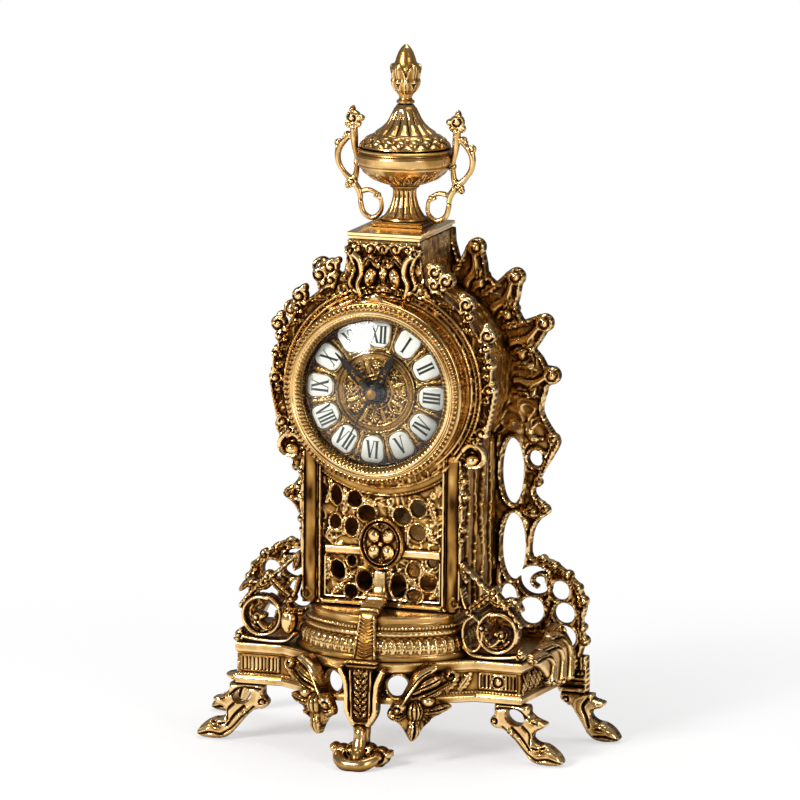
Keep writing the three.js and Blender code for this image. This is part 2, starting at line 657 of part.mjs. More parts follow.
function frontPlate() {
  const y = CASE_FRONT_Y;
  const t = FRONT_PLATE_THICK;
  const shoulder = [CASE_HALF_WIDTH, SHOULDER_Z - 18];
  const neck = [[NECK_HALF_WIDTH + 1, NECK_Z - 13], [NECK_HALF_WIDTH, NECK_Z - 5], [NECK_HALF_WIDTH, NECK_Z]];
  const edge = [shoulder, ...scallops(FRONT_ROSES, ARCH_EDGE), ...neck];
  const roses = FRONT_ROSES.flatMap(([deg, past, radius]) =>
    [deg, 180 - deg].map((turn) => rose(...polar(ARCH_EDGE + past, turn), radius - 0.6, y)),
  );
  const ridge = [
    [DRUM_RADIUS + 1, y + 1],
    [DRUM_RADIUS + 1, y - 1.8],
    [ARCH_RADIUS - 1.6, y - 1],
    [ARCH_RADIUS + 0.6, y - 2.4],
    [ARCH_RADIUS + 1.6, y + 1],
    [DRUM_RADIUS + 1, y + 1],
  ];
  const ornaments = [-1, 1].map((side) => {
    const shaft = new THREE.CylinderGeometry(2.9, 2.9, SHOULDER_Z - CASE_Z - 14, 6);
    shaft.rotateX(Math.PI / 2);
    shaft.scale(1, 0.8, 1);
    shaft.translate(side * (CASE_HALF_WIDTH - 5), y, (SHOULDER_Z + CASE_Z) / 2 - 1);
    const swag = sweep([[side * 20, NECK_Z - 5], [side * 13, NECK_Z - 11], [side * 4, NECK_Z - 6]], y - 0.8);
    const turn = side > 0 ? [160, -160] : [20, 340];
    const foot = new Volute([side * (CASE_HALF_WIDTH - 0.6), CASE_Z + 5], y - 0.6, [3, 1.4], turn);
    return [
      solid(shaft),
      egg([side * 6.4, y - 1, DIAL_Z + ARCH_EDGE + 3.5], [5.4, 3.6, 7.4], 6, 4),
      limb(swag, taper(1.6, 2, 1.8), { steps: 3, sides: 4 }),
      limb(foot, taper(1.6, 1.1, 2.2), { steps: 5, sides: 4 }),
    ];
  });
  const whole = join(
    plate(polygon(mirrored([[CASE_HALF_WIDTH, CASE_Z], ...edge])), y, t),
    roses,
    dialTurned(ridge, 24, DIAL_Z),
    ornaments,
  );
  const bore = pin(0, DIAL_Z, LEDGE_BORE, y - 6, y + 6, ROUND_SIDES);
  return cut(whole, bore, plate(panelOutline(0), y - 6, 12, 0, 8));
}

/** Holes of a grille 72.2 wide and 65.7 high, from its middle: place, half sizes and tilt. */
const GRILLE_HOLES = [
  [-28, 26.2, 3.1, 5.4, 8],
  [-17, 24.4, 4.3, 4.3, 0],
  [-9.6, 16.6, 4.9, 4.4, 0],
  [-28.4, 10.4, 3, 4.1, 0],
  [-18.6, 8.4, 3.7, 5, 0],
  [11.6, 16.4, 5.2, 4.6, -30],
  [21, 21.4, 4.5, 4.8, 0],
  [20.6, 7.2, 4.7, 4.6, 0],
  [-26.8, -17.4, 4, 5.4, 20],
  [-18.4, -11.4, 2.3, 3, 0],
  [-10.6, -22.6, 4.6, 5.6, 0],
  [-18.6, -29.4, 3.6, 3.8, 0],
  [9.6, -24.6, 4.6, 7, 0],
  [18.6, -14.6, 3.7, 4.5, 0],
  [27.6, -21.4, 4.9, 4.5, 30],
  [19.2, -29.6, 4.4, 3.6, 0],
  [29.6, -9.4, 2.6, 3, 0],
];

function grillePanel() {
  const y = WALL_FRONT_Y;
  const shape = panelOutline(2.4);
  const [wide, tall] = [PANEL_HALF / 36.1, PANEL_RISE / 65.7];
  shape.holes = GRILLE_HOLES.map(([x, z, a, b, tilt]) =>
    ellipse(x * wide, GRILLE_MIDDLE_Z + z * tall, a * wide, b * tall, tilt),
  );
  const sheet = plate(shape, y, 2, 0, 4);
  const rail = block(
    [1 - PANEL_HALF, y - 1.2, GRILLE_MIDDLE_Z - 7.4],
    [PANEL_HALF - 1, y + 0.5, GRILLE_MIDDLE_Z - 3],
  );
  return join(sheet, rail);
}

/** Oval boss with a moulded rim and a flower of four petals. */
function medallion() {
  const back = WALL_FRONT_Y - 1.2 - SEAT_GAP;
  const profile = [[0, -1.2], [0.74, -1.4], [0.88, -3.4], [1, -2.4], [1, 0], [0, 0]];
  const disc = new THREE.LatheGeometry(profile.map(([r, y]) => new THREE.Vector2(r, y)), 16);
  disc.scale(MEDALLION_HALF, 1.6, MEDALLION_RISE);
  disc.translate(0, back, GRILLE_MIDDLE_Z);
  const petals = [45, 135, 225, 315].map((deg) => {
    const x = 4.3 * Math.cos(rad(deg));
    const z = GRILLE_MIDDLE_Z + 5.2 * Math.sin(rad(deg));
    return egg([x, back - 3, z], [3.5, 2.6, 4.2], 6, 3);
  });
  return join(solid(disc), petals);
}

/** Strap from the medallion down over the plinth to the centre leg. */
function clasp() {
  const wall = CASE_FRONT_Y - SEAT_GAP;
  const top = GRILLE_MIDDLE_Z - MEDALLION_RISE - SEAT_GAP;
  const ledge = PLINTH_Z + PLINTH_HEIGHT + SEAT_GAP;
  const before = (radius) => PLINTH_CENTRE_Y - radius - 1;
  const nose = before(PLINTH_PROFILE[PLINTH_PROFILE.length - 1][0]);
  const bulge = before(0.945 * PLINTH_RADIUS);
  const [footRadius, footZ] = PLINTH_PROFILE[3];
  const side = new THREE.Shape();
  side.moveTo(wall, top);
  side.lineTo(wall, ledge + 2);
  side.lineTo(wall - 1, ledge);
  side.lineTo(nose, ledge);
  side.lineTo(nose, ledge - 5);
  side.lineTo(bulge, ledge - 9);
  side.lineTo(before(footRadius), footZ);
  side.lineTo(before(footRadius) - 2.6, footZ);
  side.lineTo(bulge - 2.6, ledge - 9);
  side.quadraticCurveTo(nose - 3.4, ledge + 2.4, mix(nose, wall, 0.4), ledge + 4);
  side.quadraticCurveTo(wall - 5, ledge + 5.4, wall - 3.4, ledge + 9);
  side.lineTo(wall - 2.4, top);
  const settings = { depth: CLASP_WIDTH, bevelEnabled: false, curveSegments: 4 };
  const geometry = new THREE.ExtrudeGeometry(side, settings);
  geometry.translate(0, 0, -CLASP_WIDTH / 2);
  geometry.rotateX(Math.PI / 2);
  geometry.rotateZ(Math.PI / 2);
  const half = CLASP_WIDTH / 2 + 0.9;
  const rings = [0, 1, 2].map((i) => {
    const z = ledge + 9 + i * 3;
    return block([-half, wall - 4.2, z], [half, wall - 0.4, z + 1.5]);
  });
  return join(solid(geometry), rings);
}

// Case walls and roof.
/** Side wall with upright folds, as drapery hangs. */
function sideWall() {
  const depth = WALL_BACK_Y - WALL_FRONT_Y;
  const outer = CASE_HALF_WIDTH - FOLD_DEPTH;
  const steps = 4 * FOLD_COUNT;
  const folds = Array.from({ length: steps + 1 }, (_, i) => {
    const wave = Math.sin((2 * Math.PI * FOLD_COUNT * i) / steps) * FOLD_DEPTH * 0.9;
    return [outer + wave, WALL_FRONT_Y + (depth * i) / steps];
  });
  const inner = outer - FOLD_DEPTH - WALL_THICK;
  const shape = polygon([[inner, WALL_FRONT_Y], ...folds, [inner, WALL_BACK_Y]]);
  const top = SHOULDER_Z - SEAT_GAP - 0.6;
  const wall = slab(shape, CASE_Z, top - CASE_Z);
  const lugs = SCREW_HEIGHTS.map((z) =>
    block([SCREW_X - 4, WALL_BACK_Y - 9, z - 4], [inner + 0.5, WALL_BACK_Y, z + 4]),
  );
  const bores = SCREW_HEIGHTS.map((z) =>
    pin(SCREW_X, z, SCREW_SHANK_RADIUS + SEAT_GAP, WALL_BACK_Y - 8, WALL_BACK_Y + 1, 8),
  );
  return cut(join(wall, lugs), bores);
}

/** One outline of the roof: arch, concave shoulders and neck, moved in by d. */
function roofPath(d, path) {
  const radius = ARCH_RADIUS - d;
  const neck = NECK_HALF_WIDTH - 1 - d;
  const fillet = 14 + d;
  const centreX = neck + fillet;
  const lift = Math.sqrt((radius + fillet) ** 2 - centreX ** 2);
  const joint = Math.atan2(lift, centreX);
  const low = d > 0 ? -SHOULDER_ANGLE - 0.2 : -SHOULDER_ANGLE;
  path.absarc(0, DIAL_Z, radius, low, joint, false);
  path.absarc(centreX, DIAL_Z + lift, fillet, joint + Math.PI, Math.PI, true);
  path.lineTo(neck, NECK_Z - SEAT_GAP - d);
  path.lineTo(-neck, NECK_Z - SEAT_GAP - d);
  path.absarc(-centreX, DIAL_Z + lift, fillet, 0, -joint, true);
  path.absarc(0, DIAL_Z, radius, Math.PI - joint, Math.PI - low, false);
  return path;
}

function archRoof() {
  const depth = WALL_BACK_Y - WALL_FRONT_Y;
  const whole = plate(roofPath(0, new THREE.Shape()), WALL_FRONT_Y, depth, 0, 6);
  const half = CASE_HALF_WIDTH - WALL_THICK - FOLD_DEPTH;
  const low = SHOULDER_Z - 30;
  const hollow = join(
    plate(roofPath(WALL_THICK, new THREE.Shape()), WALL_FRONT_Y - 1, depth + 2, 0, 6),
    block([-half, WALL_FRONT_Y - 1, low], [half, WALL_BACK_Y + 1, DIAL_Z]),
  );
  const under = block([-200, -200, low - 20], [200, 200, SHOULDER_Z]);
  return cut(whole, hollow, rodHole(NECK_Z, 20), under);
}

// Back plate.
/** Knobs of the crest from the lowest up: angle, distance past the edge, radius. */
const BACK_KNOBS = [
  [1, 2, 6.6],
  [23, 3.4, 5.6],
  [44.5, 3.8, 5.6],
  [65, 2.4, 6],
];

/** Holes of one wing of the back plate: place, half sizes and tilt, by height over the base. */
const WING_HOLES = [
  [58.4, 97, 6.1, 18.6, 0],
  [72.2, 105.2, 3.6, 3.8, 0],
  [59.6, 52.6, 6.4, 19, 0],
  [73.4, 33.4, 7.8, 7, -18],
  [56.4, 23, 4.2, 6.2, 0],
  [70, 15.4, 5.4, 5.6, 0],
  [87, 28, 4.7, 4.6, 0],
  [89.6, 14.8, 5, 5.2, 0],
  [90.6, 0.8, 5.6, 5.4, 0],
];

/** Right edge of the wing below the lowest knob: place and height over the base. */
const WING_EDGE = [
  [77.4, 144],
  [76.4, 132],
  [80.6, 124],
  [86, 115],
  [80.6, 104],
  [73, 91],
  [72.4, 84],
  [80.6, 75],
  [74, 68.6],
  [71.6, 60],
  [72, 47.4],
  [82.6, 45.6],
  [97.4, 33.8],
  [104.8, 20.6],
  [101.8, 11.6],
  [104, 0],
  [101, -8.4],
];

function backPlate() {
  const y = BACK_FACE_Y;
  const t = BACK_PLATE_THICK;
  const over = (z) => BASE_TOP_Z + z;
  const neck = [[NECK_HALF_WIDTH, NECK_Z], [NECK_HALF_WIDTH, NECK_Z - 7], [NECK_HALF_WIDTH + 3, NECK_Z - 15]];
  const crest = scallops(BACK_KNOBS, BACK_CREST_RADIUS).reverse();
  const wing = WING_EDGE.map(([x, z]) => [x, over(z)]);
  const pillar = [
    [PILLAR_INNER_X + PILLAR_WIDTH, over(-8.4)],
    [PILLAR_INNER_X + PILLAR_WIDTH, PILLAR_FOOT_Z],
    [PILLAR_INNER_X, PILLAR_FOOT_Z],
    [PILLAR_INNER_X - 3, over(-15)],
    [PILLAR_INNER_X - 14, over(-14)],
  ];
  const shape = polygon(mirrored([...smooth([...neck, ...crest, ...wing]), ...pillar]));
  shape.holes = [1, -1].flatMap((side) =>
    WING_HOLES.map(([x, z, a, b, tilt]) => {
      const hole = ellipse(side * x, over(z), a, b, side * tilt);
      return new THREE.Path(hole.getPoints(b > 10 ? 6 : 4).slice(0, -1));
    }),
  );
  const opening = pin(0, DIAL_Z, REAR_OPENING_RADIUS, y - 3, y + t + 3, 28);
  const screws = [-1, 1].flatMap((side) =>
    SCREW_HEIGHTS.map((z) =>
      pin(side * SCREW_X, z, SCREW_SHANK_RADIUS + SEAT_GAP, y - 1, y + t + 1, 8),
    ),
  );
  return cut(plate(shape, y, t), opening, screws);
}

// Brackets beside the case.
/** Openwork scroll beside the case: pendant, ring of leaves and a strap up to the wall. */
function scrollBracket() {
  const x0 = CASE_HALF_WIDTH + SEAT_GAP + 0.2;
  const z0 = BASE_TOP_Z + SEAT_GAP;
  const span = (BLOCK_OUTER_X - x0) / 38;
  const front = CASE_FRONT_Y - BRACKET_DEPTH / 2;
  const at = (x, z) => [x0 + x * span, z0 + z];
  const outline = [
    [8, 0.6], [22, 0], [36.4, 0.6], [36, 6], [37.6, 13], [37.8, 21], [35.6, 28], [31, 33], [25, 37],
    [22.6, 41], [15, 45], [11, 49], [5, 51.6], [0.4, 54], [0.3, 47], [3.4, 42.6], [1.4, 38], [4, 34],
    [2, 29], [0.4, 25], [2.4, 20], [1.4, 12], [4.6, 6.4],
  ].map(([x, z]) => at(x, z));
  const holes = [
    [18.4, 17, 2.4, 4.6, 10],
    [24.6, 8.8, 4.2, 1.8, 0],
    [30.4, 18, 2.3, 4.4, -10],
    [23.4, 24.6, 4, 1.9, 12],
    [12.4, 28.4, 2.6, 2.2, 0],
    [8.4, 41.4, 3.2, 2.2, 40],
    [12.2, 7.4, 2, 2.6, 0],
  ].map(([x, z, a, b, tilt]) => [...at(x, z), a * span, b, tilt]);
  const ring = new Volute(at(24.4, 17), front, [12, 10.6], [40, 360]);
  const strap = sweep([at(33, 27), at(24, 34.6), at(13.4, 42.4), at(2, 52)], front);
  return join(
    casting(outline, holes, front, BRACKET_DEPTH),
    limb(ring, taper(1.7, 1.9, 2), { steps: 9, sides: 4 }),
    limb(strap, leaf(2.4, 1.8), { steps: 4, sides: 4 }),
    egg([...at(24.4, 0).slice(0, 1), front, z0 + 17], [3.4, 2.6, 3.8], 6, 4),
    egg([at(7.4, 0)[0], front, z0 + 14.6], [4.4 * span, 2.6, 7.4], 6, 4),
  );
}

// Urn.
/** Profile of a bored turned piece from fractions of its radius and height. */
const bored = (outline, radius, height, z) => {
  const points = outline.map(([r, h]) => [Math.max(r * radius, ROD_BORE + 0.8), z + h * height]);
  return [[ROD_BORE, z], ...points, [ROD_BORE, z + height], [ROD_BORE, z]];
};

/** Stepped slab on the neck, under the urn. */
function abacus() {
  const square = (half, backY) => {
    const frontY = CASE_FRONT_Y - 1 + (NECK_HALF_WIDTH + 1 - half);
    return polygon([[-half, frontY], [half, frontY], [half, backY], [-half, backY]]);
  };
  const half = NECK_HALF_WIDTH + 0.6;
  const low = slab(square(half - 1.4, WALL_BACK_Y - 1), ABACUS_Z, 0.45 * ABACUS_HEIGHT);
  const high = slab(square(half, WALL_BACK_Y), ABACUS_Z + 0.4 * ABACUS_HEIGHT, 0.6 * ABACUS_HEIGHT, 0.5);
  return cut(join(low, high), rodHole(ABACUS_Z, 30));
}

function urnFoot() {
  const outline = [[0.9, 0], [0.92, 0.18], [0.8, 0.24], [0.6, 0.44], [0.49, 0.66], [0.5, 1]];
  const stem = turned(bored(outline, URN_FOOT_RADIUS, URN_FOOT_HEIGHT, URN_FOOT_Z), {
    segments: 16,
    flutes: 8,
    depth: 0.14,
  });
  const half = URN_FOOT_RADIUS;
  const square = polygon([[-half, -half], [half, -half], [half, half], [-half, half]]);
  square.holes = [ellipse(0, 0, ROD_BORE, ROD_BORE)];
  return join(stem, slab(square, URN_FOOT_Z, 0.11 * URN_FOOT_HEIGHT, 0, 4));
}

function urnBowl() {
  const outline = [
    [0.26, 0], [0.44, 0.07], [0.7, 0.2], [0.9, 0.38], [1, 0.6], [1, 0.85], [0.96, 0.9], [0.98, 1],
  ];
  return turned(bored(outline, BOWL_RADIUS, BOWL_HEIGHT, BOWL_Z), { segments: 20 });
}

function urnLid() {
  const outline = [
    [1, 0], [1.01, 0.06], [0.9, 0.16], [0.66, 0.31], [0.46, 0.48], [0.33, 0.7], [0.27, 0.88], [0.19, 1],
  ];
  return turned(bored(outline, LID_RADIUS, LID_HEIGHT, LID_Z), {
    segments: 16,
    flutes: 8,
    depth: 0.08,
  });
}

/** Bud of three rows of leaves on a collar. */
function finial() {
  const outline = [
    [0.5, 0], [0.54, 0.04], [0.38, 0.1], [0.5, 0.19], [0.88, 0.3], [0.84, 0.41], [1, 0.56], [0.74, 0.68],
    [0.56, 0.82], [0.16, 1],
  ];
  const points = outline.map(([r, h]) => [r * FINIAL_RADIUS, FINIAL_Z + h * FINIAL_HEIGHT]);
  const bud = turned([[0, FINIAL_Z], ...points, [0, FINIAL_Z + FINIAL_HEIGHT]], {
    segments: 14,
    flutes: 7,
    depth: 0.2,
  });
  return cut(bud, rodHole(FINIAL_Z, 14));
}

/** Scroll handle with a flower, a standing loop and a hanging loop. */
function handle() {
  const z = BOWL_Z;
  const edge = BOWL_RADIUS + SEAT_GAP;
  const at = (x, h) => [edge + x, z + h];
  const arm = [[2.6, 33], [3.4, 26], [7.6, 22], [11.4, 15], [10.4, 7], [5.4, 2.4]];
  const post = [[2.8, 33], [1.5, 20], [1.6, 12], [3.4, 3.6], [3.2, -3], [-2, -12], [-6.6, -17]];
  const hook = [[3, -2], [-3, -4.4], [-9.4, -3.6]];
  const loop = new Volute(at(-10.6, -11), 0, [6.6, 5.4], [-55, 215]);
  const petals = Array.from({ length: 10 }, (_, i) => {
    const reach = i % 2 ? 2.8 : 5;
    const turn = Math.PI * (i / 5 + 0.5);
    const [x, h] = at(2.4, 36.2);
    return [x + reach * Math.cos(turn), h + reach * Math.sin(turn)];
  });
  const along = (points) => sweep(points.map(([x, h]) => at(x, h)), 0);
  return join(
    limb(along(arm), taper(1.5, 1.1, 1.6, 1.3), { steps: 7, sides: 4 }),
    limb(along(post), taper(1.5, 1.2, 1.6, 1.4), { steps: 8, sides: 4 }),
    limb(loop, taper(1.3, 1.1, 1.6, 1.2), { steps: 7, sides: 4 }),
    limb(along(hook), taper(1.3, 1, 1.4, 1.1), { steps: 2, sides: 4 }),
    plate(polygon(petals), -1.4, 2.8),
    egg([edge + 2.4, 0, z + 36.2], [2.2, 2.6, 2.2], 6, 4),
  );
}

/** Threaded rod that holds the urn's pieces on the neck, with its nut below. */
function tieRod() {
  const top = FINIAL_Z + 6;
  const rod = new THREE.CylinderGeometry(ROD_RADIUS, ROD_RADIUS, top - ROD_FOOT_Z, 8);
  rod.rotateX(Math.PI / 2);
  rod.translate(0, 0, (top + ROD_FOOT_Z) / 2);
  return solid(rod);
}

function rodNut() {
  const nut = new THREE.Shape();
  nut.absarc(0, 0, 4, 0, 2 * Math.PI, false);
  nut.holes = [ellipse(0, 0, ROD_BORE, ROD_BORE)];
  const z = NECK_Z - SEAT_GAP - WALL_THICK - SEAT_GAP - 3.2;
  return slab(nut, z, 3.2, 0, 3);
}

// Drum, bezel and dial.
/** Cylinder behind the bezel, with the ledge that holds the dial plate. */
function drum() {
  const rear = DRUM_BACK_Y;
  const ledge = rear - LEDGE_DEPTH;
  const rim = DRUM_RADIUS;
  return dialTurned([
    [LEDGE_BORE + 0.7, rear],
    [LEDGE_BORE, ledge],
    [DRUM_BORE, ledge],
    [DRUM_BORE, DRUM_FRONT_Y],
    [rim - 1.2, DRUM_FRONT_Y],
    [rim - 0.4, rear - 3],
    [rim + 0.6, rear - 1.6],
    [rim + 0.6, rear],
    [LEDGE_BORE + 0.7, rear],
  ], ROUND_SIDES);
}

/** Ring that holds the glass: a plain rim, a bead channel and a lip sloping in. */
function bezel() {
  const rear = DRUM_FRONT_Y - SEAT_GAP;
  const front = rear - BEZEL_DEPTH;
  const sleeve = DRUM_BORE - SEAT_GAP;
  const bore = BEZEL_LIP + 1.4;
  const foot = DIAL_FACE_Y - SEAT_GAP;
  return dialTurned([
    [BEZEL_RADIUS, rear],
    [BEZEL_RADIUS, front + 1.2],
    [BEZEL_RADIUS - 1.4, front],
    [mix(BEZEL_RADIUS, BEZEL_LIP, 0.5), front + 1],
    [BEZEL_LIP, front + 1.8],
    [BEZEL_LIP, front + 3],
    [bore, front + 3],
    [bore, foot],
    [sleeve, foot],
    [sleeve, rear],
    [BEZEL_RADIUS, rear],
  ], ROUND_SIDES);
}

/** Domed glass, a cap of even thickness behind the lip of the bezel. */
function crystal() {
  const seat = DRUM_FRONT_Y - BEZEL_DEPTH + 3;
  const edge = BEZEL_LIP + 1.4 - SEAT_GAP;
  const cap = BEZEL_LIP - 0.8;
  const rise = (part) => seat - GLASS_RISE * (1 - part * part);
  const dome = (radius) => [0, 0.35, 0.7, 1].map((part) => [radius * part, rise(part)]);
  const inner = dome(cap - 1.2).map(([r, y]) => [r, y + GLASS_THICK]);
  const rim = [[edge, seat], [edge, seat + GLASS_THICK]];
  return dialTurned([...dome(cap), ...rim, ...inner.reverse()], ROUND_SIDES);
}

/** Outline of a cartouche about its own centre, wider at the rim. */
function cartoucheOutline(grow) {
  const half = CARTOUCHE_LENGTH / 2 + grow;
  const low = CARTOUCHE_INNER_HALF + grow;
  const high = CARTOUCHE_OUTER_HALF + grow;
  const round = 3.6;
  const shape = new THREE.Shape();
  shape.moveTo(-low + round, -half);
  shape.lineTo(low - round, -half);
  shape.quadraticCurveTo(low, -half, low + 0.4, -half + round);
  shape.lineTo(high, half - round);
  shape.quadraticCurveTo(high, half, high - round, half);
  shape.lineTo(-high + round, half);
  shape.quadraticCurveTo(-high, half, -high, half - round);
  shape.lineTo(-low - 0.4, -half + round);
  shape.quadraticCurveTo(-low, -half, -low + round, -half);
  return shape;
}

/** Places of the twelve hours on the dial, clockwise from one. */
const HOURS = Array.from({ length: 12 }, (_, i) => i + 1);
const hourTurn = (hour) => rad(30 * hour);

function dialPlate() {
  const sheet = dialTurned([
    [NECK_RADIUS + RUNNING_GAP, DIAL_BACK_Y],
    [NECK_RADIUS + RUNNING_GAP, DIAL_FACE_Y],
    [DRUM_BORE - SEAT_GAP, DIAL_FACE_Y],
    [DRUM_BORE - SEAT_GAP, DIAL_BACK_Y],
    [NECK_RADIUS + RUNNING_GAP, DIAL_BACK_Y],
  ], ROUND_SIDES);
  const pockets = HOURS.map((hour) => {
    const shape = new THREE.Shape(cartoucheOutline(DIAL_FIT).getPoints(2));
    const geometry = new THREE.ExtrudeGeometry(shape, { depth: 3, bevelEnabled: false });
    geometry.rotateX(Math.PI / 2);
    geometry.translate(0, DIAL_FACE_Y + POCKET_DEPTH, CARTOUCHE_RING);
    geometry.rotateY(hourTurn(hour));
    return solid(geometry);
  });
  return cut(sheet, pockets);
}

/** Enamel cartouche, made at twelve o'clock and turned to its hour by its mesh. */
function cartouche() {
  const floor = DIAL_FACE_Y + POCKET_DEPTH - DIAL_FIT;
  const shape = new THREE.Shape(cartoucheOutline(0).getPoints(2));
  return plate(shape, floor - CARTOUCHE_THICK, CARTOUCHE_THICK);
}

/** Stamped rosette in the middle of the dial: rim, eight petals and a collar. */
function rosette() {
  const rear = ROSETTE_BACK_Y;
  const face = rear - ROSETTE_THICK;
  const bore = NECK_RADIUS + RUNNING_GAP;
  const sheet = dialTurned([
    [bore, rear],
    [bore, face - 0.4],
    [NUT_RADIUS + 1.4, face - 0.4],
    [NUT_RADIUS + 2.2, face + 0.3],
    [ROSETTE_RADIUS - 1.6, face + 0.3],
    [ROSETTE_RADIUS - 0.6, face - 0.5],
    [ROSETTE_RADIUS, rear],
    [bore, rear],
  ], 18);
  const reach = 0.64 * ROSETTE_RADIUS;
  const petals = Array.from({ length: 8 }, (_, i) => {
    const turn = rad(45 * i);
    return egg([reach * Math.sin(turn), face + 0.3, reach * Math.cos(turn)], [3, 0.9, 3], 4, 2);
  });
  return join(sheet, petals);
}

// Movement.
/** The well of the battery, open to the back. */
function batteryWell() {
  const gap = 0.4;
  const half = BATTERY_LENGTH / 2 + gap;
  const radius = BATTERY_RADIUS + gap;
  const middle = COVER_BACK_Y - BATTERY_RADIUS - 0.6;
  const barrel = new THREE.CylinderGeometry(radius, radius, 2 * half, 14);
  barrel.rotateZ(Math.PI / 2);
  barrel.translate(0, middle, BATTERY_Z);
  return join(
    solid(barrel),
    block([-half, middle, BATTERY_Z - radius], [half, COVER_BACK_Y + 5, BATTERY_Z + radius]),
  );
}

function battery() {
  const middle = COVER_BACK_Y - BATTERY_RADIUS - 0.6;
  const half = BATTERY_LENGTH / 2;
  const shoulder = half - 1.6;
  const cap = 0.38 * BATTERY_RADIUS;
  const wide = BATTERY_RADIUS;
  const can = [[0, -half], [wide, -half], [wide, shoulder], [cap, shoulder], [cap, half], [0, half]];
  const geometry = new THREE.LatheGeometry(can.map(([r, y]) => new THREE.Vector2(r, y)), 14);
  geometry.rotateZ(Math.PI / 2);
  geometry.translate(0, middle, BATTERY_Z);
  return solid(geometry);
}

/** A rounded square in XZ about the dial axis. */
function roundedSquare(size, round) {
  const h = size / 2;
  const shape = new THREE.Shape();
  shape.moveTo(-h + round, -h);
  shape.lineTo(h - round, -h);
  shape.absarc(h - round, -h + round, round, -Math.PI / 2, 0, false);
  shape.absarc(h - round, h - round, round, 0, Math.PI / 2, false);
  shape.absarc(-h + round, h - round, round, Math.PI / 2, Math.PI, false);
  shape.absarc(-h + round, -h + round, round, Math.PI, 1.5 * Math.PI, false);
  return shape;
}

function movementHousing() {
  const body = plate(roundedSquare(MODULE_SIZE, 6), MODULE_FRONT_Y, MODULE_DEPTH, 0, 2);
  const neck = pin(0, 0, NECK_RADIUS, HOUR_HAND_Y + 2.4, MODULE_FRONT_Y + 1, 16);
  const bore = pin(0, 0, HOUR_TUBE_RADIUS + RUNNING_GAP, HOUR_HAND_Y, MODULE_FRONT_Y + 5, 16);
  const arbor = pin(0, KNOB_OFFSET, 1.9, MODULE_BACK_Y - 4, MODULE_BACK_Y + 2, 10);
  return cut(join(body, neck), bore, arbor, batteryWell());
}

function movementCover() {
  const body = plate(roundedSquare(MODULE_SIZE, 6), COVER_FRONT_Y, COVER_THICK, 0, 2);
  const collar = pin(0, KNOB_OFFSET, 4, COVER_FRONT_Y + 1, COVER_BACK_Y + 0.8, 12);
  const hole = pin(0, KNOB_OFFSET, 1.9, COVER_FRONT_Y - 1, COVER_BACK_Y + 4, 10);
  return cut(join(body, collar), hole, batteryWell());
}

/** Setting knob with a ribbed grip, made on its own axis. */
function setKnob() {
  const rear = COVER_BACK_Y + 1.2;
  const teeth = 14;
  const grip = polygon(
    Array.from({ length: 2 * teeth }, (_, i) => {
      const r = KNOB_RADIUS * (i % 2 ? 0.93 : 1);
      const turn = (Math.PI * i) / teeth;
      return [r * Math.cos(turn), r * Math.sin(turn)];
    }),
  );
  const stem = pin(0, 0, 1.5, MODULE_BACK_Y - 3, rear + 0.5, 10);
  const top = rear + KNOB_HEIGHT;
  const pointer = block([-1, top - 0.4, 0], [1, top + 0.6, KNOB_RADIUS * 0.7]);
  return join(plate(grip, rear, KNOB_HEIGHT), stem, pointer);
}

/** Round black nut on the threaded neck. */
function fixingNut() {
  const rear = NUT_BACK_Y;
  const front = rear - NUT_HEIGHT;
  const bore = NECK_RADIUS + RUNNING_GAP;
  return dialTurned([
    [bore, rear],
    [bore, front],
    [bore + 1, front],
    [0.82 * NUT_RADIUS, front + 0.9],
    [NUT_RADIUS, front + 2.6],
    [NUT_RADIUS, rear],
    [bore, rear],
  ], 14);
}

/** A pierced hand on its tube, pointing to twelve, made about its own axis. */
function piercedHand(length, tube, bore, y, rearY) {
  const half = [
    [0.035, 0.14], [0.05, 0.2], [0.1, 0.44], [0.06, 0.62], [0.075, 0.7], [0.03, 0.84], [0.008, 1],
  ];
  const [first, ...rest] = half.map(([x, z]) => new THREE.Vector2(x * length, z * length));
  const edge = new THREE.Shape().moveTo(first.x, first.y).splineThru(rest);
  const right = edge.getPoints(2).map((p) => [p.x, p.y]);
  const blade = polygon(mirrored([[0.05 * length, 0], ...right]));
  blade.holes = [ellipse(0, 0.44 * length, 0.05 * length, 0.1 * length)];
  const hub = pin(0, 0, tube + 1.6, y, y + HAND_THICK, 10);
  const sleeve = pin(0, 0, tube, y, rearY, 10);
  const body = join(plate(blade, y, HAND_THICK, 0, 4), hub, sleeve);
  return cut(body, pin(0, 0, bore, y - 1, rearY + 1, 10));
}

function hourHand() {
  const bore = MINUTE_TUBE_RADIUS + RUNNING_GAP;
  return piercedHand(HOUR_HAND_LENGTH, HOUR_TUBE_RADIUS, bore, HOUR_HAND_Y, MODULE_FRONT_Y + 3);
}

function minuteHand() {
  const bore = SECOND_PIN_RADIUS + RUNNING_GAP;
  return piercedHand(MINUTE_HAND_LENGTH, MINUTE_TUBE_RADIUS, bore, MINUTE_HAND_Y, MODULE_FRONT_Y + 1);
}

/** Thin sweep hand with a tail and a round brass cap. */
function secondHand() {
  const y = SECOND_HAND_Y;
  const blade = polygon(mirrored([[1.1, -8], [0.5, 0], [0.22, SECOND_HAND_LENGTH]]));
  return join(
    plate(blade, y, HAND_THICK),
    pin(0, 0, SECOND_PIN_RADIUS, y, MODULE_FRONT_Y - 2, 8),
    pin(0, 0, 1.6, y, y + HAND_THICK, 8),
  );
}

/** Brass cap pressed on the second hand's pin. */
function handCap() {
  const rear = SECOND_HAND_Y - DIAL_FIT;
  const profile = [[0, rear], [2.3, rear], [2.3, rear - 0.9], [1.5, rear - 1.7], [0, rear - 1.9]];
  return dialTurned(profile, 12);
}

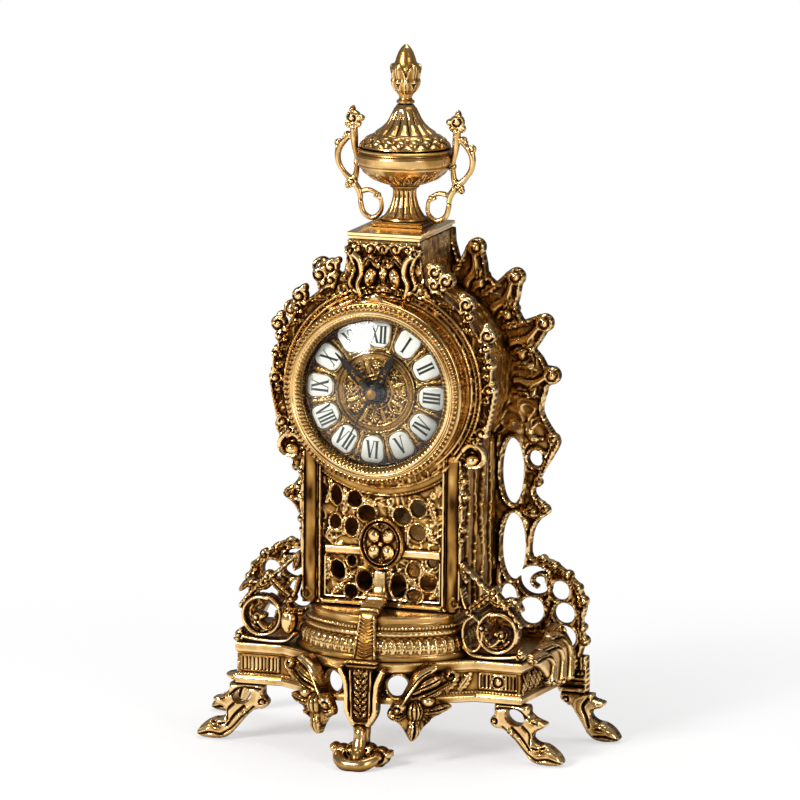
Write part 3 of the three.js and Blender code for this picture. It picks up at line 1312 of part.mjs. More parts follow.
function caseScrew() {
  const rear = CASE_BACK_Y + SEAT_GAP;
  const dome = 0.7 * SCREW_HEAD_RADIUS;
  const profile = [[0, rear + 2.2], [dome, rear + 1.7], [SCREW_HEAD_RADIUS, rear], [0, rear]];
  const head = dialTurned(profile, 8);
  const shank = pin(0, 0, SCREW_SHANK_RADIUS, WALL_BACK_Y - 6, rear + 0.5, 8);
  const slot = block([-SCREW_HEAD_RADIUS, rear + 1.4, -0.45], [SCREW_HEAD_RADIUS, rear + 4, 0.45]);
  return cut(join(head, shank), slot);
}

// Assembly.
const clock = new THREE.Group();
clock.name = "desk_clock";

clock.add(
  piece("base_frame", baseFrame(), BRASS),
  piece("plinth", plinth(), BRASS),
  piece("centre_leg", centreLeg(), BRASS),
  piece("clasp", clasp(), BRASS),
  piece("front_plate", frontPlate(), BRASS),
  piece("grille_panel", grillePanel(), BRASS),
  piece("medallion", medallion(), BRASS),
  piece("arch_roof", archRoof(), DARK_BRASS),
  piece("back_plate", backPlate(), DARK_BRASS),
  piece("abacus", abacus(), BRASS),
  piece("urn_foot", urnFoot(), BRASS),
  piece("urn_bowl", urnBowl(), BRASS),
  piece("urn_lid", urnLid(), BRASS),
  piece("finial", finial(), BRASS),
  piece("tie_rod", tieRod(), STEEL),
  piece("rod_nut", rodNut(), STEEL),
);

for (const [label, side] of [["left", -1], ["right", 1]]) {
  clock.add(
    piece(`side_wall_${label}`, sideWall(), DARK_BRASS, side),
    piece(`front_leg_${label}`, frontLeg(), BRASS, side),
    piece(`back_leg_${label}`, backLeg(), BRASS, side),
    piece(`scroll_bracket_${label}`, scrollBracket(), BRASS, side),
    piece(`handle_${label}`, handle(), BRASS, side),
  );
  const drop = piece(`apron_drop_${label}`, apronDrop(), BRASS, side);
  const nose = new THREE.Group();
  nose.position.set(side * BASE_CENTRE_HALF, BASE_NOSE_Y - SEAT_GAP, BASE_TOP_Z - 6);
  nose.rotation.z = side * OBLIQUE_TURN;
  nose.add(drop);
  clock.add(nose);
  SCREW_HEIGHTS.forEach((z, i) => {
    const screw = piece(`case_screw_${label}_${i + 1}`, caseScrew(), STEEL);
    screw.position.set(side * SCREW_X, 0, z);
    clock.add(screw);
  });
}

const dial = new THREE.Group();
dial.position.z = DIAL_Z;
dial.add(
  piece("drum", drum(), BRASS),
  piece("bezel", bezel(), BRASS),
  piece("crystal", crystal(), GLASS),
  piece("movement_housing", movementHousing(), PLASTIC),
  piece("movement_cover", movementCover(), PLASTIC),
  piece("battery", battery(), CELL),
  piece("fixing_nut", fixingNut(), BLACK),
);
const face = new THREE.Group();
face.rotation.y = rad(DIAL_TURN_DEG);
face.add(piece("dial_plate", dialPlate(), BRASS), piece("dial_rosette", rosette(), DARK_BRASS));
for (const hour of HOURS) {
  const tile = piece(`cartouche_${String(hour).padStart(2, "0")}`, cartouche(), ENAMEL);
  const arm = new THREE.Group();
  tile.position.z = CARTOUCHE_RING;
  arm.rotation.y = hourTurn(hour);
  arm.add(tile);
  face.add(arm);
}
dial.add(face);
const knob = piece("set_knob", setKnob(), PLASTIC);
knob.position.z = KNOB_OFFSET;
const hands = [
  [piece("hour_hand", hourHand(), BLACK), HOUR_ANGLE],
  [piece("minute_hand", minuteHand(), BLACK), MINUTE_ANGLE],
  [piece("second_hand", secondHand(), BLACK), SECOND_ANGLE],
  [piece("hand_cap", handCap(), BRASS), SECOND_ANGLE],
];
for (const [hand, angle] of hands) {
  hand.rotation.y = rad(angle);
  dial.add(hand);
}
dial.add(knob);
clock.add(dial);

// The origin is on the floor under the middle of the clock's own box.
const { min, max } = new THREE.Box3().setFromObject(clock);
clock.position.y = -(min.y + max.y) / 2;
const object = new THREE.Group();
object.name = "desk_clock_on_its_feet";
object.add(clock);

export default object;
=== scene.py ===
"""Looks of a cast brass desk clock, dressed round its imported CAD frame.

Lengths are millimetres in the clock's own frame (x to the viewer's right, y away from the
viewer from the urn's axis, z up from the floor); Clock.metres turns them to Blender's.
"""

import logging
import math
from collections.abc import Callable, Sequence
from dataclasses import dataclass, field
from enum import Enum
from typing import ClassVar

import bpy
import numpy as np
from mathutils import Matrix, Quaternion, Vector


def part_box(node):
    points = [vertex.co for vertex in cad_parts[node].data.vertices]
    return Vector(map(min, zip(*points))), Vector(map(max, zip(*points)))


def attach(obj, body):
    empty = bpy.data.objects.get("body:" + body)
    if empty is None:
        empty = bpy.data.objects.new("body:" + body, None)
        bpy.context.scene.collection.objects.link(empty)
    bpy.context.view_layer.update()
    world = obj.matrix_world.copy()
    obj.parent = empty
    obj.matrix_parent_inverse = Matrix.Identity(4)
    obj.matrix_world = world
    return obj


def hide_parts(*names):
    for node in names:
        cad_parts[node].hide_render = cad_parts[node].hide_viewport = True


Array = np.ndarray
Point = tuple[float, float]
Spot = tuple[float, float, float]
Oval = tuple[float, float, float, float, float]
Knots = Sequence[Point] | Array
Window = tuple[slice, slice]
Placer = Callable[[Array, Array, Array], Array]
Socket = bpy.types.NodeSocket

log = logging.getLogger("clock")
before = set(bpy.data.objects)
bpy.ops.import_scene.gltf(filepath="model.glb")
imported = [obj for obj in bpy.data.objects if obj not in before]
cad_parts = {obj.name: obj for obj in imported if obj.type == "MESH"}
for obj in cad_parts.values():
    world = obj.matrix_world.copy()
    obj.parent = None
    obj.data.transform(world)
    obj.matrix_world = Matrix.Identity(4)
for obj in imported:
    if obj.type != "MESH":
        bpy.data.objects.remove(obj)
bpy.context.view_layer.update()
TAU = 2 * math.pi
MM = 1000.0  # millimetres in a metre
BELOW = -9.0  # a height in mm that lies under every ground
INSIDE = 9.0  # distance in mm inside the outline, for sheets that are cast whole
LOW_GROUND = -0.4  # how deep in mm a furrow may cut into the ground
AXIS = 0.02  # least radius in mm of a turned piece, so that no ring closes to a point
SOFT = 50.0  # angle in degrees from which the edge of a casting stays sharp
CRISP = 35.0  # the same for turned and CAD pieces


class Clock:
    """Where the clock stands in the CAD frame."""

    axis_y: float = MM / 2 * (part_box("urn_bowl")[0].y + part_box("urn_bowl")[1].y)
    dial_z: float = MM / 2 * (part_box("drum")[0].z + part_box("drum")[1].z)
    dial_turn: float = math.radians(2.9)

    @staticmethod
    def metres(points: Array) -> Array:
        """Turns points of the clock's own frame to the CAD frame in metres."""
        return (points + np.array([0.0, Clock.axis_y, 0.0])) / MM


class Slot(Enum):
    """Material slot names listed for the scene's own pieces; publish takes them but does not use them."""

    POLISHED = "polished_brass"
    ANTIQUE = "antique_brass"
    ENAMEL = "enamel"
    LACQUER = "black_lacquer"
    GLASS = "dial_glass"


# Curves and noise


def smooth(points: Knots, closed: bool = False, steps: int = 6) -> Array:
    """Samples a Catmull-Rom curve through points.

    Args:
        points: Knots of the curve.
        closed: Whether it runs back to its first knot.
        steps: Samples per span.

    Returns:
        The samples, one row each.
    """
    knots = np.asarray(points, float)
    if closed:
        knots = np.vstack([knots[-1], knots, knots[:2]])
    else:
        knots = np.vstack([2 * knots[0] - knots[1], knots, 2 * knots[-1] - knots[-2]])
    t = np.linspace(0, 1, steps, endpoint=False)[:, None]
    spans = []
    for a, b, c, d in zip(knots[:-3], knots[1:-2], knots[2:-1], knots[3:]):
        spans.append(
            0.5 * (2 * b + (c - a) * t + (2 * a - 5 * b + 4 * c - d) * t**2 + (3 * b - a - 3 * c + d) * t**3)
        )
    return np.vstack([*spans, knots[-2]])


def volute(centre: Point, radii: Point, degrees: Point, count: int = 18) -> Array:
    """Points of a flat spiral, from its first radius and angle to its last.

    Args:
        centre: Middle of the spiral.
        radii: First and last radius.
        degrees: First and last angle.
        count: How many points.

    Returns:
        The points, one row each.
    """
    share = np.linspace(0, 1, count)
    radius = radii[0] + (radii[1] - radii[0]) * share
    angle = np.radians(degrees[0] + (degrees[1] - degrees[0]) * share)
    return np.stack([centre[0] + radius * np.cos(angle), centre[1] + radius * np.sin(angle)], 1)


def run_along(path: Array) -> Array:
    """Length of a flat polyline up to each of its corners."""
    return np.concatenate([[0], np.cumsum(np.hypot(*np.diff(path, axis=0).T))])


def ends(value: float | Point) -> Point:
    """A value as its first and last, where it is given once for both."""
    return value if isinstance(value, tuple) else (value, value)


def bell(distance: Array, width: float, power: int = 2) -> Array:
    """A smooth bump: 1 at no distance and about nothing past a width, flatter for a higher power."""
    return np.exp(-((distance / width) ** power))


def nearest(path: Array, u: Array, v: Array) -> tuple[Array, Array]:
    """Measures points against a polyline.

    Args:
        path: Corners of the polyline.
        u: First coordinates of the points.
        v: Second coordinates of the points.

    Returns:
        The distance, negative to the right of the path, and the share of its length there.
    """
    best = np.full(u.shape, np.inf)
    along = np.zeros(u.shape)
    lengths = np.hypot(*np.diff(path, axis=0).T)
    total, start = lengths.sum(), 0.0
    for a, b, length in zip(path[:-1], path[1:], lengths):
        if length < 1e-9:
            continue
        du, dv = (b - a) / length
        pu, pv = u - a[0], v - a[1]
        t = np.clip(pu * du + pv * dv, 0, length)
        distance = np.hypot(pu - t * du, pv - t * dv)
        closer = distance < np.abs(best)
        side = np.where(du * pv - dv * pu < 0, -1.0, 1.0)
        best = np.where(closer, distance * side, best)
        along = np.where(closer, (start + t) / total, along)
        start += length
    return best, along


def noise(u: Array, v: Array, size: float, seed: int) -> Array:
    """Smooth value noise from 0 to 1 whose cells measure size.

    Args:
        u: First coordinates.
        v: Second coordinates.
        size: Size of a cell.
        seed: Which noise.

    Returns:
        The value at each point.
    """
    table = np.random.default_rng(seed).random((64, 64))
    x, y = u / size + 1000, v / size + 1000
    i, j = np.floor(x).astype(int), np.floor(y).astype(int)
    fx, fy = x - i, y - j
    fx, fy = fx * fx * (3 - 2 * fx), fy * fy * (3 - 2 * fy)
    low = table[j % 64, i % 64] * (1 - fx) + table[j % 64, (i + 1) % 64] * fx
    high = table[(j + 1) % 64, i % 64] * (1 - fx) + table[(j + 1) % 64, (i + 1) % 64] * fx
    return low * (1 - fy) + high * fy


def blurred(values: Array, cells: float, wrap: bool = False) -> Array:
    """Softens a grid by about cells cells, running round its columns if wrap is set.

    Args:
        values: The grid.
        cells: Reach of the softening.
        wrap: Whether its columns run round.

    Returns:
        The softened grid.
    """
    reach = max(1, int(round(cells)))
    weights = np.hanning(2 * reach + 3)[1:-1]
    weights /= weights.sum()
    for axis in (0, 1):
        mode = "wrap" if wrap and axis == 1 else "edge"
        pad = [(reach, reach) if a == axis else (0, 0) for a in (0, 1)]
        padded = np.pad(values, pad, mode=mode)
        values = np.apply_along_axis(np.convolve, axis, padded, weights, "valid")
    return values


def hollows(height: Array, pitch: float, wrap: bool = False) -> Array:
    """Where patina gathers: 0 on the high places of a relief and 1 in its deep hollows.

    Args:
        height: Heights in mm.
        pitch: Distance of the grid points in mm.
        wrap: Whether the columns run round.

    Returns:
        The patina of each point.
    """
    flat = 0.32
    made = flat + 0.0 * height
    for reach, weight in ((0.9, 0.9), (2.6, 0.62)):
        made = made + weight * (blurred(height, reach / pitch, wrap) - height)
    return np.clip(made, 0, 1)


# Relief castings


@dataclass
class Cast:
    """A closed mesh in the clock's frame, with the patina of each corner."""

    points: Array
    faces: list[tuple[int, ...]]
    patina: Array

    def joined(self, *others: "Cast") -> "Cast":
        """This cast and others as one.

        Args:
            others: The casts to add.

        Returns:
            The casting.
        """
        points, faces, patina = [self.points], list(self.faces), [self.patina]
        count = len(self.points)
        for other in others:
            faces += [tuple(i + count for i in face) for face in other.faces]
            points.append(other.points)
            patina.append(other.patina)
            count += len(other.points)
        return Cast(np.vstack(points), faces, np.concatenate(patina))

    def mirrored(self) -> "Cast":
        """The same cast for the clock's other side."""
        flip = np.array([-1.0, 1.0, 1.0])
        return Cast(self.points * flip, [face[::-1] for face in self.faces], self.patina)


@dataclass
class Relief:
    """Heights in millimetres over a flat sheet of u, across, and v, up.

    Attributes:
        low: Lower corner of the sheet.
        high: Upper corner of the sheet.
        pitch: Distance of its grid points.
    """

    low: Point
    high: Point
    pitch: float = 0.7
    u: Array = field(init=False)
    v: Array = field(init=False)
    height: Array = field(init=False)
    edge: Array = field(init=False)
    shade: Array = field(init=False)

    def __post_init__(self) -> None:
        """Lays out the grid; edge is the distance inside the outline, shade is added patina."""
        count = [int(round((b - a) / self.pitch)) + 1 for a, b in zip(self.low, self.high)]
        self.u, self.v = np.meshgrid(
            np.linspace(self.low[0], self.high[0], count[0]),
            np.linspace(self.low[1], self.high[1], count[1]),
        )
        self.height, self.shade = np.zeros_like(self.u), np.zeros_like(self.u)
        self.edge = np.full_like(self.u, -1e3)

    def window(self, points: Array, reach: float) -> Window:
        """Rows and columns within reach of some points.

        Args:
            points: The points.
            reach: How far round them.

        Returns:
            Slices of the rows and of the columns.
        """
        cells = []
        for axis, grid in ((1, self.v[:, 0]), (0, self.u[0])):
            low, high = points[:, axis].min() - reach, points[:, axis].max() + reach
            first = np.searchsorted(grid, low)
            cells.append(slice(first, max(first + 1, np.searchsorted(grid, high))))
        return cells[0], cells[1]

    def trace(self, path: Array, reach: float) -> tuple[Window, Array, Array]:
        """The window within reach of a path, with the distance from it and the share of it there."""
        win = self.window(path, reach)
        return win, *nearest(path, self.u[win], self.v[win])

    def lay(self, win: Window, inside: Array, lift: Array) -> None:
        """Raises the ground of a window to a height where it is inside a form."""
        self.height[win] = np.maximum(self.height[win], np.where(inside, lift, BELOW))

    def ridge(self, distance: Array, width: float, rise: float) -> None:
        """Raises a rounded line where a distance is nought."""
        self.height = np.maximum(self.height, rise * bell(distance, width))

    def polygon(self, points: Array) -> Array:
        """Distance inside a closed polygon, negative outside it.

        Args:
            points: Its corners.

        Returns:
            The distance at each grid point.
        """
        ring = np.vstack([points, points[:1]])
        distance = np.abs(nearest(ring, self.u, self.v)[0])
        inside = np.zeros(self.u.shape, bool)
        for (au, av), (bu, bv) in zip(ring[:-1], ring[1:]):
            if av == bv:
                continue
            crosses = (av > self.v) != (bv > self.v)
            inside ^= crosses & (self.u < (bu - au) * (self.v - av) / (bv - av) + au)
        return np.where(inside, distance, -distance)

    def oval(self, u: float, v: float, a: float, b: float, tilt: float = 0.0) -> Array:
        """Distance inside an ellipse, negative outside it; tilt is in degrees.

        Args:
            u: Middle across.
            v: Middle up.
            a: Half axis across.
            b: Half axis up.
            tilt: Turn in degrees.

        Returns:
            The distance at each grid point.
        """
        c, s = math.cos(math.radians(tilt)), math.sin(math.radians(tilt))
        p, q = (self.u - u) * c + (self.v - v) * s, (self.v - v) * c - (self.u - u) * s
        k = np.hypot(p / a, q / b) + 1e-9
        return -(k - 1) * k / (np.hypot(p / a**2, q / b**2) + 1e-9)

    def add(self, *shapes: Array) -> None:
        """Adds shapes, given as inside distances, to the outline."""
        for shape in shapes:
            self.edge = np.maximum(self.edge, shape)

    def fill(self) -> None:
        """Casts the sheet whole, up to its borders."""
        self.add(np.full_like(self.u, INSIDE))

    def cut(self, *shapes: Array) -> None:
        """Cuts shapes, given as inside distances, out of the outline."""
        for shape in shapes:
            self.edge = np.minimum(self.edge, -shape)

    def rim(self, width: float, rise: float) -> None:
        """Raises a rounded border along every edge of the outline."""
        self.height += rise * bell(self.edge - width, 0.75 * width)

    def swell(self, width: float, rise: float) -> None:
        """Rounds the casting up from its edges, over a width."""
        self.height += rise * np.sqrt(1 - (1 - np.clip(self.edge / width, 0, 1)) ** 2)

    def ribbon(
        self,
        points: Knots,
        half: float | Point,
        rise: float | Point,
        hollow: float = 0.0,
        twist: float = 0.0,
        base: float = 0.0,
    ) -> None:
        """Raises a rounded ribbon along a smooth path.

        Args:
            points: Knots of the path.
            half: Half width, or its first and last value.
            rise: Height, or its first and last value.
            hollow: Depth of a channel along the middle, as a share of the height.
            twist: Spacing of slanting cuts across the ribbon, if any.
            base: Height it starts from.
        """
        path = smooth(points)
        wide, tall = ends(half), ends(rise)
        win, distance, along = self.trace(path, max(wide) + self.pitch)
        r = distance / (wide[0] + (wide[1] - wide[0]) * along)
        section = np.sqrt(np.clip(1 - r**2, 0, 1)) * (1 - hollow * bell(r, 0.5))
        if twist:
            length = np.hypot(*np.diff(path, axis=0).T).sum()
            section *= 0.78 + 0.22 * np.cos(TAU * (along * length / twist + 0.3 * r))
        self.lay(win, np.abs(r) < 1, base + (tall[0] + (tall[1] - tall[0]) * along) * section)

    @staticmethod
    def taper(along: Array) -> Array:
        """Width of a leaf along its spine, full in the middle and narrow at its foot and tip."""
        return np.sin(np.pi * np.clip(0.1 + 0.88 * along, 0, 1)) ** 0.6

    def leaf(self, points: Knots, half: float, rise: float, lobes: float = 5) -> None:
        """Raises an acanthus leaf along a smooth spine, with lobed sides and a cut midrib.

        Args:
            points: Knots of the spine from its foot to its tip.
            half: Largest half width.
            rise: Height of the leaf.
            lobes: Lobes on each side.
        """
        win, distance, along = self.trace(smooth(points), half + self.pitch)
        r = np.abs(distance) / (half * self.taper(along) + 1e-6)
        lobe = np.abs(np.sin(np.pi * (lobes * along - 0.5 * r)))
        r = r / (1 - 0.34 * (1 - lobe))
        section = np.clip(1 - r**2, 0, 1) ** 0.5 * (0.84 + 0.16 * lobe)
        section *= 1 - 0.22 * bell(np.abs(r - 0.52), 0.1) - 0.4 * bell(distance, 0.14 * half)
        self.lay(win, r < 1, rise * section * (0.65 + 0.35 * np.sin(np.pi * along)))

    def dome(
        self, u: float, v: float, a: float, b: float, rise: float, tilt: float = 0.0, base: float = 0.0
    ) -> None:
        """Raises an oval boss with half axes a and b.

        Args:
            u: Middle across.
            v: Middle up.
            a: Half axis across.
            b: Half axis up.
            rise: Height.
            tilt: Turn in degrees.
            base: Height it starts from.
        """
        win = self.window(np.array([[u, v]]), max(a, b) + self.pitch)
        c, s = math.cos(math.radians(tilt)), math.sin(math.radians(tilt))
        du, dv = self.u[win] - u, self.v[win] - v
        r = np.hypot((du * c + dv * s) / a, (dv * c - du * s) / b)
        self.lay(win, r < 1, base + rise * np.sqrt(np.clip(1 - r**2, 0, 1)))

    def flower(self, u: float, v: float, radius: float, rise: float, petals: int = 5) -> None:
        """Raises an open flower with a button in its cupped middle.

        Args:
            u: Middle across.
            v: Middle up.
            radius: Radius.
            rise: Height.
            petals: How many petals.
        """
        win = self.window(np.array([[u, v]]), radius + self.pitch)
        du, dv = self.u[win] - u, self.v[win] - v
        petal = np.abs(np.cos(petals / 2 * np.arctan2(dv, du)))
        r = np.hypot(du, dv) / radius
        full = r / (0.6 + 0.4 * petal)
        cup = np.sqrt(np.clip(1 - full**2, 0, 1)) * (0.55 + 0.45 * petal)
        cup *= 1 - 0.75 * bell(r, 0.34)
        button = 0.95 * np.sqrt(np.clip(1 - (r / 0.26) ** 2, 0, 1))
        self.lay(win, full < 1, rise * np.maximum(cup, button))

    def beads(self, points: Knots, radius: float, rise: float, gap: float) -> None:
        """Raises a row of beads along a smooth path, gap apart.

        Args:
            points: Knots of the path.
            radius: Radius of a bead.
            rise: Height.
            gap: Distance from bead to bead.
        """
        path = smooth(points)
        run = run_along(path)
        for at in np.linspace(0, run[-1], max(2, int(round(run[-1] / gap)) + 1)):
            self.dome(np.interp(at, run, path[:, 0]), np.interp(at, run, path[:, 1]), radius, radius, rise)

    def spiral(self, centre: Point, radius: float, half: float, rise: float, start: float, turns: float = -1.4) -> None:
        """Casts a disc with a scroll that rolls in round a bud; turns is negative for clockwise.

        Args:
            centre: Middle of the disc.
            radius: Radius of the disc.
            half: Half width of the scroll.
            rise: Height.
            start: Angle of its outer end in degrees.
            turns: How often it turns.
        """
        self.add(self.oval(*centre, radius, radius))
        ring = volute(centre, (radius - half, 0.28 * radius), (start, start + 360 * turns), 24)
        self.ribbon(ring, (half, 0.6 * half), (rise, 0.8 * rise), hollow=0.25)
        self.dome(*centre, 0.3 * radius, 0.3 * radius, rise)

    def branch(
        self,
        points: Knots,
        half: float | Point,
        rise: float | Point,
        hollow: float = 0.0,
        twist: float = 0.0,
    ) -> None:
        """Casts a round branch along a smooth path; the values are those of ribbon.

        Args:
            points: Knots of the path.
            half: Half width, or its first and last value.
            rise: Height, or its first and last value.
            hollow: Depth of its channel as a share.
            twist: Spacing of slanting cuts, if any.
        """
        wide = ends(half)
        win, distance, along = self.trace(smooth(points), max(wide) + 3 * self.pitch)
        inside = wide[0] + (wide[1] - wide[0]) * along - np.abs(distance)
        self.edge[win] = np.maximum(self.edge[win], inside)
        self.ribbon(points, half, rise, hollow, twist)

    def sprig(self, points: Knots, half: float, rise: float, lobes: float = 3) -> None:
        """Casts an acanthus leaf along a smooth spine; the values are those of leaf.

        Args:
            points: Knots of the spine.
            half: Largest half width.
            rise: Height.
            lobes: Lobes on each side.
        """
        win, distance, along = self.trace(smooth(points), half + 3 * self.pitch)
        lobed = 0.72 + 0.28 * np.abs(np.sin(np.pi * lobes * along))
        self.edge[win] = np.maximum(self.edge[win], 0.94 * half * self.taper(along) * lobed - np.abs(distance))
        self.leaf(points, half, rise, lobes)

    def carve(self, points: Knots, half: float, depth: float) -> None:
        """Sinks a dark furrow along a smooth path.

        Args:
            points: Knots of the path.
            half: Half width.
            depth: Depth.
        """
        dark = 0.35
        win, distance, _ = self.trace(smooth(points), 2.5 * half)
        furrow = bell(distance, half)
        self.height[win] = np.maximum(self.height[win] - depth * furrow, LOW_GROUND)
        self.shade[win] = np.maximum(self.shade[win], dark * furrow)

    def pillow(self, points: Sequence[Point], rise: float, reach: float) -> None:
        """Casts a body with a smooth closed outline, rounded over a reach from its edge.

        Args:
            points: Knots of the outline.
            rise: Height.
            reach: Width of the rounded edge.
        """
        inside = self.polygon(smooth(points, closed=True, steps=5))
        self.add(inside)
        share = np.clip(inside / reach, 0, 1)
        self.height = np.maximum(self.height, rise * np.sqrt(share * (2 - share)))

    def bud(self, u: float, v: float, radius: float, rise: float, turn: float, lobes: bool = True) -> None:
        """Casts a rolled head whose furrow opens towards turn degrees, with or without two lobes behind it.

        Args:
            u: Middle across.
            v: Middle up.
            radius: Radius.
            rise: Height.
            turn: Where its furrow opens, in degrees.
            lobes: Whether it has its two lobes.
        """
        for spread, size in ((-132, 0.5), (112, 0.6)) if lobes else ():
            a, b = polar(0.95 * radius, turn + spread)
            a, b = u + a, v + b - Clock.dial_z
            self.add(self.oval(a, b, size * radius, 0.8 * size * radius, turn + spread))
            self.dome(a, b, size * radius, 0.8 * size * radius, 0.7 * rise, turn + spread)
        self.add(self.oval(u, v, radius, radius))
        self.dome(u, v, radius, radius, rise)
        roll = volute((u, v), (0.7 * radius, 0.34 * radius), (turn - 10, turn - 300), 14)
        self.carve(roll, 0.16 * radius, 0.4 * rise)
        self.dome(u, v, 0.3 * radius, 0.3 * radius, 0.35 * rise, base=0.66 * rise)

    def fold(self) -> None:
        """Repeats the right half of the sheet on its left."""
        for grid in (self.height, self.edge, self.shade):
            grid[:] = np.where(self.u < 0, grid[:, ::-1], grid)

    def chase(self, size: float, depth: float, seed: int = 3) -> None:
        """Fills the ground with small worm-like leafage of the given size and depth.

        Args:
            size: Size of a leaf.
            depth: Height of the leafage.
            seed: Which leafage.
        """
        bend = 1.6 * noise(self.u, self.v, 2.2 * size, seed)
        value = noise(self.u + size * bend, self.v - size * bend, size, seed + 1)
        worm = 1 - np.abs(2 * value - 1) * 2
        self.height = np.maximum(self.height, depth * np.clip(worm, -0.2, 1))

    def cast(self, place: Placer, thick: float, back: float = 0.0) -> Cast:
        """Makes the closed shell of the relief, which runs out low at its edges.

        Args:
            place: Gives the clock's points for u, v and the distance out of the sheet.
            thick: Thickness behind the sheet.
            back: Share of the relief that shows on the back as well.

        Returns:
            The casting.
        """
        mean = (self.edge[:-1, :-1] + self.edge[1:, :-1] + self.edge[:-1, 1:] + self.edge[1:, 1:]) / 4
        kept = mean > 0
        rows, columns = self.u.shape
        near = np.zeros((rows, columns), int)
        for i, j in ((0, 0), (1, 0), (0, 1), (1, 1)):
            near[i : rows - 1 + i, j : columns - 1 + j] += kept
        used = near > 0
        border = used & (near < 4)
        gv, gu = np.gradient(self.edge, self.v[:, 0], self.u[0])
        pull = self.edge / (gu**2 + gv**2 + 1e-6)
        reach, low_edge, edge_share, plain_patina = 0.6 * self.pitch, 0.35, 0.5, 0.45
        u = self.u - np.where(border, np.clip(pull * gu, -reach, reach), 0)
        v = self.v - np.where(border, np.clip(pull * gv, -reach, reach), 0)
        index = np.full(used.shape, -1)
        index[used] = np.arange(used.sum())
        height = np.where(border, np.minimum(self.height, low_edge + edge_share * self.height), self.height)
        front = place(u[used], v[used], height[used])
        rear = place(u[used], v[used], -thick - back * height[used])
        count = len(front)
        quads = np.stack([index[:-1, :-1], index[:-1, 1:], index[1:, 1:], index[1:, :-1]], -1)[kept]
        framed = np.pad(kept, 1)
        walls = []
        for beyond, corners in (
            (framed[1:-1, 2:], ((0, 1), (1, 1))),
            (framed[1:-1, :-2], ((1, 0), (0, 0))),
            (framed[2:, 1:-1], ((1, 1), (1, 0))),
            (framed[:-2, 1:-1], ((0, 0), (0, 1))),
        ):
            i, j = np.nonzero(kept & ~beyond)
            a, b = (index[i + di, j + dj] for di, dj in corners)
            walls.append(np.stack([b, a, a + count, b + count], -1))
        faces = np.vstack([quads, quads[:, ::-1] + count, *walls])
        patina = (hollows(self.height, self.pitch) + self.shade)[used]
        return Cast(
            np.vstack([front, rear]),
            [tuple(face) for face in faces.tolist()],
            np.concatenate([patina, patina if back else np.full_like(patina, plain_patina)]),
        )


def upright(front_y: float) -> Placer:
    """Places a sheet in a plane that faces the viewer, u across and v up."""
    return lambda u, v, out: np.stack([u, front_y - out, v], 1)


@dataclass
class Skin:
    """A closed surface over a grid of rings, such as a turned or swept piece.

    Attributes:
        rings: Points of the surface, one row of them for each ring.
        patina: Patina of each point.
    """

    rings: Array
    patina: Array

    def cast(self) -> Cast:
        """Joins the rings and closes both ends with a fan.

        Returns:
            The casting.
        """
        rows, columns = self.rings.shape[:2]
        index = np.arange(rows * columns).reshape(rows, columns)
        after = np.roll(index, -1, 1)
        quads = np.stack([index[:-1], after[:-1], after[1:], index[1:]], -1).reshape(-1, 4)
        faces = [tuple(face) for face in quads.tolist()]
        faces.append(tuple(index[0, ::-1].tolist()))
        faces.append(tuple(index[-1].tolist()))
        return Cast(self.rings.reshape(-1, 3), faces, self.patina.reshape(-1))


@dataclass
class Turned:
    """A piece turned about the urn's or the dial's axis, with an optional carved surface.

    Attributes:
        profile: Radius and place along the axis, from one end of the outside to the other.
        carve: Height of the carving for the angle and the run along the profile in mm.
        segments: Points round the axis.
        step: Distance of the rings along the profile.
    """

    profile: Sequence[Point]
    carve: Callable[[Array, Array], Array] | None = None
    segments: int = 96
    step: float = 0.8

    def grid(self) -> tuple[Array, Array, Array, Array]:
        """Radius and place along the axis over rings and angles, the angles, and the patina.

        Returns:
            The radii, places, angles and patina.
        """
        knots = np.asarray(self.profile, float)
        run = run_along(knots)
        spots = np.unique(np.concatenate([run, np.arange(0, run[-1], self.step)]))
        radius, place = np.interp(spots, run, knots[:, 0]), np.interp(spots, run, knots[:, 1])
        angle = np.linspace(0, TAU, self.segments, endpoint=False)[None, :]
        height = np.zeros((len(spots), self.segments))
        if self.carve:
            height = self.carve(angle, spots[:, None]) + height
        slope = np.stack([np.gradient(radius, spots), np.gradient(place, spots)], 1)
        slope /= np.hypot(*slope.T)[:, None] + 1e-9
        radius = np.maximum(radius[:, None] + height * slope[:, 1:], AXIS)
        place = place[:, None] - height * slope[:, :1]
        return radius, place, angle, hollows(height, self.step, wrap=True) if self.carve else 0.3 + 0 * height

    def upright(self) -> Cast:
        """The piece about the urn's axis; its profile runs up."""
        radius, place, angle, patina = self.grid()
        return Skin(np.stack([radius * np.cos(angle), radius * np.sin(angle), place], -1), patina).cast()

    def facing(self, ring: bool = False) -> Cast:
        """The piece about the dial's axis; its profile gives y. A ring's profile is closed.

        Args:
            ring: Whether it is a ring.

        Returns:
            The casting.
        """
        radius, place, angle, patina = self.grid()
        rings = np.stack([radius * np.sin(angle), place, Clock.dial_z + radius * np.cos(angle)], -1)
        made = Skin(rings, patina).cast()
        if ring:
            rows, columns = radius.shape
            last = (rows - 1) * columns
            made.faces[-2:] = [(last + i, last + (i + 1) % columns, (i + 1) % columns, i) for i in range(columns)]
        return made


